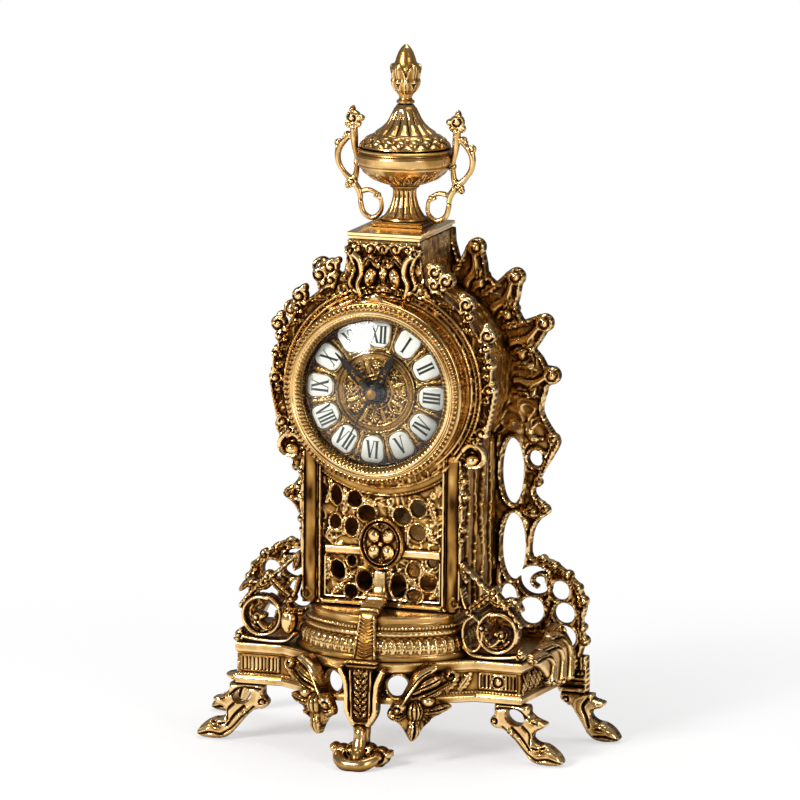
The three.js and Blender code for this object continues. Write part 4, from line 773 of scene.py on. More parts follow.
def tube(points: Sequence[Sequence[float]], radii: Sequence[float], sides: int = 10, flat: float = 1.0) -> Cast:
    """A limb swept along a smooth path in an upright plane, thicker or thinner along it.

    Args:
        points: Knots of its middle line as x, y and z.
        radii: Radii along it, spread evenly.
        sides: Points round it.
        flat: Depth along y as a share of its width.

    Returns:
        The limb with rounded ends.
    """
    path = smooth(points, steps=7)
    run = np.concatenate([[0], np.cumsum(np.linalg.norm(np.diff(path, axis=0), axis=1))])
    share = run / run[-1]
    radius = np.interp(share, np.linspace(0, 1, len(radii)), radii)
    radius *= np.clip(np.minimum(share, 1 - share) * run[-1] / np.maximum(radius, 0.1), 0, 1) ** 0.5 + 0.02
    along = np.gradient(path, axis=0)
    along /= np.linalg.norm(along, axis=1)[:, None]
    deep = np.array([0.0, 1.0, 0.0]) - along * along[:, 1:2]
    deep /= np.linalg.norm(deep, axis=1)[:, None] + 1e-9
    wide = np.cross(deep, along)
    angle = np.linspace(0, TAU, sides, endpoint=False)
    rings = (
        path[:, None, :]
        + wide[:, None, :] * (radius[:, None] * np.cos(angle))[..., None]
        + deep[:, None, :] * (flat * radius[:, None] * np.sin(angle))[..., None]
    )
    return Skin(rings, np.full(rings.shape[:2], 0.25)).cast()


# Finishes


def linear(code: str) -> tuple[float, float, float, float]:
    """Turns an sRGB hex colour to linear red, green, blue and alpha.

    Args:
        code: The colour as # and six digits.

    Returns:
        The four values.
    """
    parts = [int(code[i : i + 2], 16) / 255 for i in (1, 3, 5)]
    curve = [c / 12.92 if c <= 0.04045 else ((c + 0.055) / 1.055) ** 2.4 for c in parts]
    return curve[0], curve[1], curve[2], 1.0


def node(tree: bpy.types.NodeTree, kind: str, settings: dict | None = None, **inputs: object) -> bpy.types.Node:
    """Adds a node.

    Args:
        tree: Node tree that takes it.
        kind: Type name after ShaderNode.
        settings: Values of its own properties.
        inputs: Values or sockets for its inputs, by name with _ for a space, or in_0 by place.

    Returns:
        The node.
    """
    made = tree.nodes.new("ShaderNode" + kind)
    for key, value in (settings or {}).items():
        setattr(made, key, value)
    for key, value in inputs.items():
        place = int(key[3:]) if key.startswith("in_") else key.replace("_", " ")
        socket = made.inputs[place]
        if isinstance(value, Socket):
            tree.links.new(value, socket)
        else:
            socket.default_value = value
    return made


class Paint:
    """A new material with the nodes that the finishes share. Sizes and depths are in mm."""

    def __init__(self, name: str) -> None:
        """Starts an empty material.

        Args:
            name: Its name.
        """
        self.material = bpy.data.materials.new(name)
        self.material.use_nodes = True
        self.tree = self.material.node_tree
        self.tree.nodes.clear()
        self.out = node(self.tree, "OutputMaterial")
        self.at = self.add("TexCoord").outputs["Object"]

    def add(self, kind: str, settings: dict | None = None, **inputs: object) -> bpy.types.Node:
        """Adds a node; the values are those of node."""
        return node(self.tree, kind, settings, **inputs)

    def noise(self, size: float, detail: float, **inputs: float) -> Socket:
        """Noise whose cells measure size."""
        return self.add("TexNoise", Vector=self.at, Scale=MM / size, Detail=detail, **inputs).outputs["Fac"]

    def maths(self, operation: str, first: float | Socket, second: float | Socket, clamp: bool = False) -> Socket:
        """Result of an operation on two values."""
        return self.add("Math", {"operation": operation, "use_clamp": clamp}, in_0=first, in_1=second).outputs[0]

    def bump(self, height: Socket, depth: float, strength: float = 1.0, **inputs: Socket) -> Socket:
        """Normals of a surface that is depth deep where height is 1."""
        return self.add("Bump", Strength=strength, Distance=depth / MM, Height=height, **inputs).outputs[0]

    def ramp(self, fac: Socket, stops: Sequence[tuple[float, str]]) -> Socket:
        """Colours a value through stops of place and hex colour.

        Args:
            fac: The value.
            stops: The stops, in order.

        Returns:
            The colour.
        """
        made = self.add("ValToRGB", Fac=fac)
        band = made.color_ramp
        band.elements[0].position, band.elements[1].position = stops[0][0], stops[-1][0]
        band.elements[0].color, band.elements[1].color = linear(stops[0][1]), linear(stops[-1][1])
        for place, code in stops[1:-1]:
            band.elements.new(place).color = linear(code)
        return made.outputs["Color"]

    def done(self, shader: bpy.types.Node) -> bpy.types.Material:
        """Gives the material its shader and hands it over."""
        self.tree.links.new(shader.outputs[0], self.out.inputs["Surface"])
        return self.material


@dataclass(frozen=True)
class CastBrass:
    """Sand-cast brass, pickled brown and rubbed bright on its high places.

    The patina attribute turns the metal from pale gold to dark brown in its hollows, so that
    each leaf reads, and painted shade from ambient occlusion darkens it where pieces lie close; fine grain breaks its
    highlights as casting does.

    Attributes:
        name: What the material is called.
        bright: Rubbed metal.
        middle: Metal on the flanks.
        deep: Patina in the hollows, and painted shade where neighbouring pieces are close.
        gloss: Roughness of the rubbed metal.
        dull: Roughness of the patina.
        grain: Size of the casting grain in mm.
        relief: Depth of the grain in mm.
        chased: Depth of leaf-like chasing in mm, for plain pieces.
        shade: Patina that is added everywhere; a negative value lightens the colour, on the cap as painted sheen.
        crevice: How near in mm a neighbour darkens the colour as painted shade.
        cloud: Size in mm of the stains.
    """

    name: str
    bright: str = "#F6D294"
    middle: str = "#B48440"
    deep: str = "#371D0A"
    gloss: float = 0.16
    dull: float = 0.5
    grain: float = 0.9
    relief: float = 0.05
    chased: float = 0.0
    shade: float = 0.0
    crevice: float = 7.0
    cloud: float = 14.0

    def material(self) -> bpy.types.Material:
        """Builds the material.

        Returns:
            The material.
        """
        paint = Paint(self.name)
        stored = paint.add("Attribute", {"attribute_name": "patina"}).outputs["Fac"]
        # Painted shade: ambient occlusion darkens the colour near other surfaces, where shadow would fall.
        open_ = paint.add("AmbientOcclusion", {"samples": 6}, Distance=self.crevice / MM).outputs["AO"]
        closed = paint.maths("MULTIPLY", paint.maths("SUBTRACT", 1.0, open_), 0.75)
        cloud = paint.noise(self.cloud, 3.0)
        stain = paint.add("MapRange", Value=cloud, From_Min=0.35, From_Max=0.65, To_Min=-0.1, To_Max=0.1)
        # Darkness sums the patina attribute, the painted shade from occlusion and the random stains.
        dark = paint.maths("ADD", paint.maths("ADD", stored, closed), stain.outputs[0])
        dark = paint.maths("ADD", dark, self.shade, clamp=True)
        colour = paint.ramp(dark, [(0.12, self.bright), (0.42, self.middle), (0.85, self.deep)])
        rough = paint.add("MapRange", Value=dark, From_Min=0.15, From_Max=0.8, To_Min=self.gloss, To_Max=self.dull)
        bump = paint.bump(paint.noise(self.grain, 2.0), self.relief)
        if self.chased:
            leafage = paint.add("MapRange", Value=paint.noise(5.5, 1.0, Distortion=1.6), From_Min=0.4, From_Max=0.6)
            bump = paint.bump(leafage.outputs[0], self.chased, Normal=bump)
        metal = {"Base_Color": colour, "Metallic": 1.0, "Roughness": rough.outputs[0], "Normal": bump}
        return paint.done(paint.add("BsdfPrincipled", **metal))


@dataclass(frozen=True)
class Coating:
    """Enamel, lacquer, plastic or a sleeve: a coloured coat with a fine uneven surface.

    Attributes:
        name: What the material is called.
        colour: Colour of the coat.
        tint: Second colour of its faint mottling.
        roughness: Roughness of the coat.
        grain: Size of its unevenness in mm.
        relief: Depth of its unevenness in mm.
        coat: Weight of a clear glaze over it.
        ior: Refraction of the coat.
    """

    name: str
    colour: str
    tint: str
    roughness: float
    grain: float
    relief: float
    coat: float = 0.0
    ior: float = 1.5

    def material(self) -> bpy.types.Material:
        """Builds the material.

        Returns:
            The material.
        """
        paint = Paint(self.name)
        colour = paint.ramp(paint.noise(6 * self.grain, 4.0), [(0.35, self.colour), (0.7, self.tint)])
        shader = paint.add(
            "BsdfPrincipled",
            Base_Color=colour,
            Roughness=self.roughness,
            IOR=self.ior,
            Coat_Weight=self.coat,
            Coat_Roughness=0.04,
            Normal=paint.bump(paint.noise(self.grain, 2.0), self.relief),
        )
        return paint.done(shader)


@dataclass(frozen=True)
class TurnedSteel:
    """Turned steel: bright, with the fine rings of the tool."""

    name: str = "steel_turned"

    def material(self) -> bpy.types.Material:
        """Builds the material.

        Returns:
            The material.
        """
        paint = Paint(self.name)
        turned = {"Vector": paint.at, "Scale": 400.0, "Distortion": 2.0}
        rings = paint.add("TexWave", {"wave_type": "RINGS"}, **turned).outputs["Fac"]
        colour = paint.ramp(rings, [(0.2, "#A7A6A2"), (0.8, "#C9C8C4")])
        bump = paint.bump(rings, 0.02, 0.4)
        return paint.done(paint.add("BsdfPrincipled", Base_Color=colour, Metallic=1.0, Roughness=0.28, Normal=bump))


@dataclass(frozen=True)
class BlownGlass:
    """Domed mineral glass, clear and polished, with a very slight waviness."""

    name: str = "mineral_glass_polished"

    def material(self) -> bpy.types.Material:
        """Builds the material; light passes straight through it to the dial.

        Returns:
            The material.
        """
        paint = Paint(self.name)
        bump = paint.bump(paint.noise(30.0, 0.0), 0.1, 0.2)
        clear = paint.add("BsdfTransparent", Color=linear("#FBFCFA")).outputs[0]
        gloss = paint.add("BsdfGlossy", Color=linear("#FFFFFF"), Roughness=0.1, Normal=bump).outputs[0]
        facing = paint.add("Fresnel", IOR=1.3, Normal=bump).outputs[0]
        return paint.done(paint.add("MixShader", in_0=facing, in_1=clear, in_2=gloss))


BRASS = CastBrass("brass_cast_polished")
BRASS_TURNED = CastBrass("brass_turned_lacquered", gloss=0.13, dull=0.35, grain=0.5, relief=0.012, shade=-0.12)
BRASS_ANTIQUE = CastBrass("brass_cast_antique", bright="#E2B264", middle="#946828", gloss=0.26, chased=0.55, shade=0.08)
BRASS_STAMPED = CastBrass("brass_stamped_gilt", gloss=0.22, grain=0.5, relief=0.03, shade=0.1)
# Painted sheen: a shade of -0.5 lightens the cap's colour towards the rubbed gold, standing in for the bright
# surroundings it reflects.
BRASS_SATIN = CastBrass("brass_turned_satin", gloss=0.52, dull=0.55, grain=0.5, relief=0.01, shade=-0.5)
ENAMEL = Coating("enamel_fired_white", "#FCFBF7", "#F6F4EE", 0.12, 1.2, 0.01, coat=0.6)
INK = Coating("enamel_ink_black", "#16130F", "#221D17", 0.35, 0.8, 0.01)
LACQUER = Coating("steel_lacquered_black", "#170F08", "#23170C", 0.34, 0.8, 0.01, ior=1.36)
PLASTIC = Coating("abs_moulded_black", "#1B1A19", "#262423", 0.5, 0.5, 0.03, ior=1.46)
SLEEVE = Coating("pvc_sleeve_shrunk_green", "#35533F", "#42644C", 0.3, 2.0, 0.02, ior=1.53)
STEEL = TurnedSteel()
GLASS = BlownGlass()

LETTERS = {"I": 2.3, "V": 5.2, "X": 5.0}  # widths of the printed letters in mm

Finish = CastBrass | Coating | TurnedSteel | BlownGlass


class Paintbox:
    """Keeps one material for each finish."""

    made: dict[str, bpy.types.Material] = {}

    @classmethod
    def get(cls, finish: Finish) -> bpy.types.Material:
        """The material of a finish, made once.

        Args:
            finish: The finish.

        Returns:
            The material.
        """
        if finish.name not in cls.made:
            cls.made[finish.name] = finish.material()
        return cls.made[finish.name]


def publish(
    name: str,
    cast: Cast,
    finish: Finish,
    slot: Slot,
    body: str = "case",
    replaces: Sequence[str] = (),
    sharp: float = SOFT,
) -> None:
    """Makes a Blender object of a casting and sets it on its body.

    Args:
        name: Name of the piece.
        cast: Its mesh in the clock's frame.
        finish: Its finish.
        slot: The slot that the finish belongs to; it is not used.
        body: CAD body it moves with.
        replaces: CAD nodes it stands for.
        sharp: Angle in degrees from which an edge stays sharp.
    """
    mesh = bpy.data.meshes.new(name)
    mesh.from_pydata(Clock.metres(cast.points), [], cast.faces)
    mesh.validate()
    stored = mesh.attributes.new("patina", "FLOAT", "POINT")
    stored.data.foreach_set("value", cast.patina.astype(np.float32))
    mesh.shade_smooth()
    mesh.set_sharp_from_angle(angle=math.radians(sharp))
    mesh.materials.append(Paintbox.get(finish))
    piece = bpy.data.objects.new(name, mesh)
    bpy.context.scene.collection.objects.link(piece)
    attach(piece, body)
    if replaces:
        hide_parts(*replaces)
    log.info("%s: %d faces", name, len(cast.faces))


def dress(name: str, finish: Finish, bevel: float = 0.0, segments: int = 2) -> None:
    """Gives a CAD node its finish, and rounds its edges by bevel mm if that is set.

    Args:
        name: The node.
        finish: Its finish.
        bevel: Width of the rounding.
        segments: Steps of the rounding.
    """
    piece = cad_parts[name]
    piece.data.materials.clear()
    piece.data.materials.append(Paintbox.get(finish))
    if bevel:
        edge = piece.modifiers.new("edge", "BEVEL")
        edge.width, edge.segments = bevel / MM, segments
        edge.limit_method, edge.angle_limit = "ANGLE", math.radians(30)
        edge.harden_normals = True
    piece.data.shade_smooth()
    piece.data.set_sharp_from_angle(angle=math.radians(CRISP))
    log.info("%s: dressed", name)


def prism(outline: Knots, low: float, high: float, patina: float = 0.35) -> Cast:
    """A flat sheet of an x, y outline from low to high.

    Args:
        outline: Its corners.
        low: Height of its underside.
        high: Height of its top.
        patina: Its patina.

    Returns:
        The casting.
    """
    flat = np.asarray(outline, float)
    rings = np.stack([np.hstack([flat, np.full((len(flat), 1), z)]) for z in (low, high)])
    return Skin(rings, np.full(rings.shape[:2], patina)).cast()


def both_sides(points: Sequence[Point]) -> Array:
    """A closed outline that is the same on both sides, from its right half."""
    return np.array([*points, *[(-x, y) for x, y in reversed(points)]])


def polar(radius: float, degrees: float) -> Point:
    """A point at an angle from the dial's axis, as seen from the front."""
    turn = math.radians(degrees)
    return radius * math.cos(turn), Clock.dial_z + radius * math.sin(turn)


# Kinds of castings


class Casting:
    """A sub-assembly of one brass casting that stands for one CAD node.

    Attributes:
        piece: Name of the casting.
        stands_for: Name of the CAD node.
        slot: Slot of its brass.
    """

    piece: ClassVar[str]
    stands_for: ClassVar[str]
    slot: ClassVar[Slot] = Slot.POLISHED

    def build(self) -> Cast:
        """Builds the casting."""
        raise NotImplementedError

    def dress(self) -> None:
        """Publishes the casting."""
        publish(self.piece, self.build(), BRASS, self.slot, replaces=(self.stands_for,))


@dataclass
class SidedCasting(Casting):
    """A casting that stands on both sides of the clock.

    Attributes:
        side: 1 for the right one, -1 for the left one.
    """

    side: int

    def right(self) -> Cast:
        """Builds the right one."""
        raise NotImplementedError

    def build(self) -> Cast:
        """Builds the casting, mirrored for the left."""
        made = self.right()
        return made if self.side > 0 else made.mirrored()

    def dress(self) -> None:
        """Publishes the casting under the names of its side."""
        label = "right" if self.side > 0 else "left"
        publish(f"{self.piece}_{label}", self.build(), BRASS, self.slot, replaces=(f"{self.stands_for}_{label}",))


# Case front


@dataclass
class FrontPlate(Casting):
    """Cast front plate with pilasters, arch mouldings, roses and the pods under the slab."""

    piece = "front_casting"
    stands_for = "front_plate"

    front_y: float = -38.0
    thick: float = 2.4
    half: float = 47.5
    foot: float = 84.3
    shoulder: float = 178.6
    top: float = 296.3
    arch: float = 57.0
    edge: float = 64.0
    opening: float = 36.1
    pitch: float = 0.62
    pilaster_buds: tuple[Spot, ...] = (
        (48.4, 161.4, 2.6), (49.6, 152, 2.8), (47.8, 146, 2.0), (48.2, 133, 2.4), (47.6, 127, 1.8),
    )
    slab_buds: tuple[Spot, ...] = (
        (0, 291.4, 3.4), (7.4, 291.8, 3.6), (14.6, 291.6, 3.2), (19.4, 290.2, 2.6), (3.6, 285.4, 2.4),
    )
    roses: tuple[Spot, ...] = (
        (65.6, 75.2, 4.6), (59.4, 73.8, 4.8), (63.2, 68.2, 4.0), (45.6, 71.0, 4.8), (40.8, 67.4, 3.4),
        (28.6, 70.8, 4.8), (23.6, 66.8, 3.4), (14.6, 65.6, 3.2), (2.6, 63.8, 4.2), (-3.4, 61.8, 2.8),
        (-20.6, 63.4, 4.0), (-26.0, 61.8, 2.8),
    )

    def sheet(self) -> Relief:
        """The plain outline of the plate.

        Returns:
            The relief of the plate.
        """
        made = Relief((-80, self.foot), (80, self.top), self.pitch)
        u, v = made.u, made.v
        made.add(np.minimum(np.minimum(self.half - np.abs(u), v - self.foot - 0.2), self.shoulder - v))
        made.add(made.oval(0, Clock.dial_z, self.edge + 0.6, self.edge + 0.6))
        neck = [(29, 262), (24.2, 272), (22.6, 283), (21.4, 291), (21.4, self.top + 2)]
        made.add(made.polygon(both_sides(neck)))
        reach = np.hypot(u, v - Clock.dial_z)
        made.shade = 0.22 * bell(reach - 61, 2.4) * (v > self.shoulder)
        return made

    def openings(self, made: Relief) -> None:
        """Cuts the drum's seat and the opening of the grille.

        Args:
            made: Relief that takes them.
        """
        u, v = made.u, made.v
        made.cut(made.oval(0, Clock.dial_z, 50, 50))
        gap = np.minimum(np.minimum(self.opening - np.abs(u), v - self.foot - 3.6), Clock.dial_z - 20 - v)
        made.cut(np.minimum(gap, np.hypot(u, v - Clock.dial_z) - 1.02 * self.arch))

    def mouldings(self, made: Relief) -> None:
        """Rings round the arch and fillets of the pilasters.

        Args:
            made: Relief that takes them.
        """
        middle = Clock.dial_z
        for radius, half, rise in ((52.8, 1.0, 1.6), (55.6, 0.8, 1.0), (58.4, 1.1, 2.4)):
            ring = volute((0, middle), (radius, radius), (-52, 92), 60)
            made.ribbon(ring, half, rise)
        made.beads(volute((0, middle), (57, 57), (-34, 92), 50), 0.7, 1.5, 2.1)
        for edge, half, rise in ((36.9, 0.7, 1.4), (38.4, 0.5, 1.8), (42.6, 3.7, 2.6), (46.8, 0.6, 1.8)):
            made.ribbon([(edge, 88), (edge, 130), (edge, 172)], half, rise)
        band = (np.abs(made.u - 42.6) < 3.6) & (made.v < 172)
        made.shade += np.where(band, 0.12 + 0.5 * noise(made.u, 0.3 * made.v, 3, 48), 0)
        made.spiral((44.4, 89.8), 4.4, 1.1, 3.8, 90, 1.2)
        made.ribbon([(0, 86.2), (17, 86.2), (35, 86.2)], 1.2, 1.6)

    def foliage(self, made: Relief) -> None:
        """Rolled heads, scrolls and leaves along the arch and the pilasters.

        Args:
            made: Relief that takes them.
        """
        for degrees, reach, radius in self.roses:
            made.bud(*polar(reach, degrees), radius, 4.8, degrees - 40)
        heads = [degrees for degrees, reach, _ in self.roses if reach > 63]
        for first, last in zip(heads, heads[1:]):
            if first - last > 6:
                knots = [polar(67, first), polar(65.4, 0.5 * (first + last)), polar(65.6, last)]
                made.branch(knots, 1.0, 3.2)
        for first, last in ((84, 70), (56, 48), (37, 31), (20, 16), (11, 6)):
            made.leaf([polar(60, first), polar(63.4, 0.5 * (first + last)), polar(64.6, last)], 2.6, 2.8, 4)
        x, z = polar(65.4, -33.2)
        made.add(made.oval(x, z, 8, 7.6))
        made.ribbon(volute((x, z), (6.6, 6.0), (150, -130), 24), (1.8, 1.3), 4.6, hollow=0.2)
        made.dome(x - 0.8, z - 2.6, 4.4, 3.8, 4.6, tilt=20)
        made.carve(volute((x - 0.8, z + 0.6), (3.6, 3.4), (160, 20), 12), 1.0, 1.6)
        for at in (-25.4, -27.4, -29.2):
            made.branch([polar(57.6, at), polar(61.6, at), polar(64.8, at)], 0.9, 3.2)
        for x, z, radius in self.pilaster_buds:
            made.bud(x, z, radius, 3.4, 0)
        vine = [(47.4, 168), (48.4, 160), (46.8, 152), (48.2, 142), (46.8, 132), (47.6, 118), (46.8, 108)]
        made.branch(vine, 0.8, 2.2)

    def neck(self, made: Relief) -> None:
        """Pods, leaves and scrolls between the arch and the slab.

        Args:
            made: Relief that takes them.
        """
        made.ribbon([(12.8, 264.6), (14.8, 271), (12.4, 277.6), (13.6, 284.6), (17.6, 288.6)], (1.6, 2.6), (4.0, 4.8))
        made.dome(7.4, 275.6, 3.5, 6.0, 5.6, tilt=14, base=0.8)
        made.leaf([(3.2, 281.6), (7.6, 286.4), (12.4, 280.6)], 3.4, 5.0, 1)
        made.carve([(3.2, 279.4), (7.4, 281.2), (11.2, 277.8)], 0.55, 1.5)
        made.carve([(6.6, 272.4), (7.2, 275.4), (8.4, 278.4)], 0.35, 0.8)
        made.branch([(15.4, 266.4), (19.6, 271.4), (17.0, 279), (18.8, 286.4), (21.6, 289.4)], 1.2, 4.4, hollow=0.2)
        made.spiral((22.8, 267.6), 4.4, 1.1, 4.4, 40, -1.2)
        made.sprig([(20, 272), (25, 266), (31, 262.4)], 3.2, 3.8)
        for x, z, radius in self.slab_buds:
            made.bud(x, z, radius, 4.6, -90)
        for x, z, radius in ((15.4, 263.6, 2.4), (9.4, 267.4, 2.2), (2.6, 269.4, 2.6)):
            made.bud(x, z, radius, 4.0, 90)
        made.leaf([(0, 272), (0.4, 277), (0, 284)], 2.4, 3.8, 2)
        made.carve([(17.6, 268.4), (16.6, 274.6), (18, 282.6)], 0.5, 1.2)
        made.ribbon([(0, 295), (10, 295), (21, 295)], 0.9, 1.8)

    def build(self) -> Cast:
        """Builds the plate.

        Returns:
            The casting.
        """
        made = self.sheet()
        made.chase(3.1, 1.0)
        self.foliage(made)
        self.mouldings(made)
        self.neck(made)
        made.fold()
        self.openings(made)
        made.rim(0.7, 0.7)
        made.cut(made.v - self.top)
        return made.cast(upright(self.front_y), self.thick)


@dataclass
class GrillePanel(Casting):
    """Pierced leafwork behind the front plate's opening, with its cross rail."""

    piece = "grille_casting"
    stands_for = "grille_panel"

    front_y: float = -35.3
    thick: float = 2.0
    half: float = 38.5
    foot: float = 85.5
    middle: float = 121.6
    pitch: float = 0.55
    holes: tuple[Oval, ...] = (
        (-28, 26.2, 3.1, 5.4, 8), (-17, 24.4, 4.3, 4.3, 0), (-9.6, 16.6, 4.9, 4.4, 0), (-28.4, 10.4, 3, 4.1, 0),
        (-18.6, 8.4, 3.7, 5, 0), (11.6, 16.4, 5.2, 4.6, -30), (21, 21.4, 4.5, 4.8, 0), (20.6, 7.2, 4.7, 4.6, 0),
        (-26.8, -17.4, 4, 5.4, 20), (-18.4, -11.4, 2.3, 3, 0), (-10.6, -22.6, 4.6, 5.6, 0),
        (-18.6, -29.4, 3.6, 3.8, 0), (9.6, -24.6, 4.6, 7, 0), (18.6, -14.6, 3.7, 4.5, 0),
        (27.6, -21.4, 4.9, 4.5, 30), (19.2, -29.6, 4.4, 3.6, 0), (29.6, -9.4, 2.6, 3, 0),
    )
    leaves: tuple[tuple[Point, ...], ...] = (
        ((-34, 22), (-31, 30), (-33, 37)), ((-23, 30), (-22, 22), (-24, 15)), ((-13, 27), (-10, 24), (-3, 22)),
        ((-34, 2), (-31, 6), (-25, 5)), ((-23.4, 4), (-23.6, 9), (-22.6, 14)), ((-13, 9), (-14.6, 5), (-13.8, 0)),
        ((3, 24), (5, 19), (4, 13)), ((16, 27), (17, 23), (15.4, 19)), ((27, 27), (29.6, 20), (32, 13)),
        ((27, 11), (28.6, 5), (33, 2)), ((15, 11), (14.2, 6), (14.6, 0)), ((-33, -11), (-31.6, -16), (-33, -24)),
        ((-24, -24), (-20, -21), (-16.4, -17)), ((-30, -31), (-25.6, -28), (-23, -24)),
        ((-12, -32), (-8, -31), (-4, -33)), ((4, -13), (4.2, -19), (4, -26)), ((15, -19), (17.6, -22), (22, -25)),
        ((24, -12), (25, -15.4), (31.6, -15)), ((33, -22), (32.6, -27), (28, -31)),
        ((13.6, -32), (9, -33.4), (5, -33)),
    )

    def build(self) -> Cast:
        """Builds the panel.

        Returns:
            The casting.
        """
        made = Relief((-self.half, self.foot), (self.half, 182), self.pitch)
        made.add(np.minimum(self.half - 0.1 - np.abs(made.u), made.v - self.foot - 0.1))
        made.cut(55.8 - np.hypot(made.u, made.v - Clock.dial_z))
        for u, v, a, b, tilt in self.holes:
            made.cut(made.oval(u, self.middle + v, a, b, tilt))
        made.chase(3.4, 0.9, seed=8)
        for u, v, a, b, tilt in self.holes:
            near = made.oval(u, self.middle + v, a + 0.9, b + 0.9, tilt)
            made.ridge(near, 0.75, 1.7)
        for leaf in self.leaves:
            made.leaf([(u, self.middle + v) for u, v in leaf], 2.6, 2.3, 5)
        for side in (-1, 1):
            made.ribbon([(side * 34.4, 89), (side * 34.4, 100), (side * 34.4, 112)], 0.6, 1.8)
            made.ribbon([(side * 5.6, 89), (side * 5.6, 96), (side * 5.6, 105)], 0.5, 1.4)
        made.ribbon([(-34, 89), (0, 89), (34, 89)], 0.7, 1.8)
        rail = np.minimum(35.1 - np.abs(made.u), 2.6 - np.abs(made.v - self.middle + 5.4))
        made.height = np.where(rail > 0, np.clip(0.9 + rail, 0, 1.9), made.height)
        made.edge = np.where(rail > 0, np.maximum(made.edge, rail), made.edge)
        near = 61.4 - np.hypot(made.u, made.v - Clock.dial_z)
        made.height = np.where(near > 0, 1.5 + 0.3 * noise(made.u, made.v, 6, 47), made.height)
        made.ribbon(volute((0, Clock.dial_z), (62.0, 62.0), (-140, -40), 40), 0.8, 2.6)
        return made.cast(upright(self.front_y), self.thick)


@dataclass
class Medallion(Casting):
    """Oval boss with a double rim and a flower of four petals."""

    piece = "medallion_casting"
    stands_for = "medallion"

    front_y: float = -37.6
    half: float = 13.6
    rise: float = 15.4
    middle: float = 121.6

    def build(self) -> Cast:
        """Builds the boss.

        Returns:
            The casting.
        """
        made = Relief((-14.2, self.middle - 16), (14.2, self.middle + 16), 0.4)
        inside = made.oval(0, self.middle, self.half, self.rise)
        made.add(inside)
        for depth, width, rise in ((1.2, 0.9, 3.6), (3.4, 0.7, 2.6)):
            made.ridge(inside - depth, width, rise)
        made.height = np.maximum(made.height, 0.5 * noise(made.u, made.v, 1.4, 5) + 0.2)
        for side in (-1, 1):
            for up in (-1, 1):
                at = (side * 4.3, self.middle + up * 4.6)
                made.dome(*at, 3.5, 4.5, 3.8, tilt=-side * up * 24, base=0.6)
                made.ribbon([at, (side * 5.2, at[1] + up * 2), (side * 3.6, at[1] + up * 3.4)], 0.5, 0.5, base=4)
            brow = [(side * x, self.middle + z) for x, z in ((1, 8), (4, 10.2), (7.4, 8))]
            made.leaf(brow, 1.5, 2.6, 3)
        made.dome(0, self.middle, 1.8, 1.8, 4.6)
        made.flower(0, self.middle - 9.6, 2.2, 2.8, 5)
        return made.cast(upright(self.front_y), 0.8)


# Dial


@dataclass
class DialRings:
    """Drum, bezel and glass, turned about the dial's axis."""

    collar: tuple[Point, ...] = (
        (43.0, -38.3), (42.3, -45.7), (46.3, -45.7), (46.3, -57.0), (51.0, -57.0), (51.9, -56.4), (52.1, -55.4),
        (51.2, -54.6), (50.6, -52.0), (50.6, -45.0), (51.4, -42.2), (52.3, -41.0), (52.7, -39.6), (52.4, -38.3),
        (43.0, -38.3),
    )
    rim: tuple[Point, ...] = (
        (51.0, -57.3), (51.2, -58.2), (50.9, -60.6), (50.2, -61.4), (49.6, -60.6), (49.1, -60.4), (48.2, -60.5),
        (47.8, -61.0), (47.2, -61.1), (46.6, -60.6), (46.0, -60.5), (45.4, -60.6), (42.4, -57.8), (42.0, -57.4),
        (42.0, -57.0), (43.3, -56.9), (43.2, -55.2), (41.9, -51.0), (42.6, -50.6), (46.0, -50.6), (46.0, -57.3),
        (51.0, -57.3),
    )

    def drum(self) -> Cast:
        """Collar with a bright lip in front and a foot against the plate.

        Returns:
            The casting.
        """
        collar = Turned(self.collar, segments=180, step=1.0).facing(ring=True)
        tongue = Relief((-17, 46), (17, 59), 0.4)
        tongue.pillow(both_sides([(16, 48.4), (10, 51.6), (5, 53.2), (2.4, 55.6), (0, 56.8)]), 1.4, 1.6)
        tongue.cut(51.2 - np.hypot(tongue.u, tongue.v))
        return collar.joined(tongue.cast(Dial.turned_sheet(-53.8, 0.0), 1.6))

    def bezel(self) -> Cast:
        """Rim with a row of beads, a concave ring and slanting gadroons inside.

        Returns:
            The casting.
        """
        knots = np.array(self.rim)
        run = run_along(knots)
        bead, gadroon, inner = 0.5 * (run[2] + run[4]), 0.5 * (run[11] + run[12]), 0.5 * (run[16] + run[17])

        def carve(angle: Array, at: Array) -> Array:
            """Beads and gadroons by angle and run along the profile.

            Args:
                angle: Angles round the axis.
                at: Runs along the profile in mm.

            Returns:
                The height of the carving.
            """
            beads = (1 - np.abs(np.sin(54 * angle)) ** 0.6) * bell(at - bead, 1.5, 4)
            ribs = np.abs(np.sin(60 * angle + 0.5 * (at - gadroon))) * bell(at - gadroon, 1.9, 6)
            flutes = np.abs(np.sin(66 * angle)) * bell(at - inner, 2.1, 6)
            return -1.3 * beads - 0.7 * ribs - 0.6 * flutes

        return Turned(self.rim, carve, segments=756, step=0.6).facing(ring=True)

    def crystal(self) -> Cast:
        """Domed glass of even thickness behind the lip.

        Returns:
            The glass.
        """
        share = np.linspace(0, 1, 22)
        rise = 9.2
        front = [(max(41.4 * s, AXIS), -56.9 - rise * (1 - s * s)) for s in share]
        back = [(max(40.0 * s, AXIS), -55.4 - rise * (1 - s * s)) for s in share[::-1]]
        profile = [*front, (43.0, -56.8), (43.0, -55.3), *back]
        return Turned(profile, segments=120, step=9).facing()

    def dress(self) -> None:
        """Publishes the rings."""
        publish("drum_turned", self.drum(), BRASS_TURNED, Slot.POLISHED, replaces=("drum",))
        publish("bezel_turned", self.bezel(), BRASS_TURNED, Slot.POLISHED, replaces=("bezel",), sharp=CRISP)
        publish("glass_dome", self.crystal(), GLASS, Slot.GLASS, replaces=("crystal",))


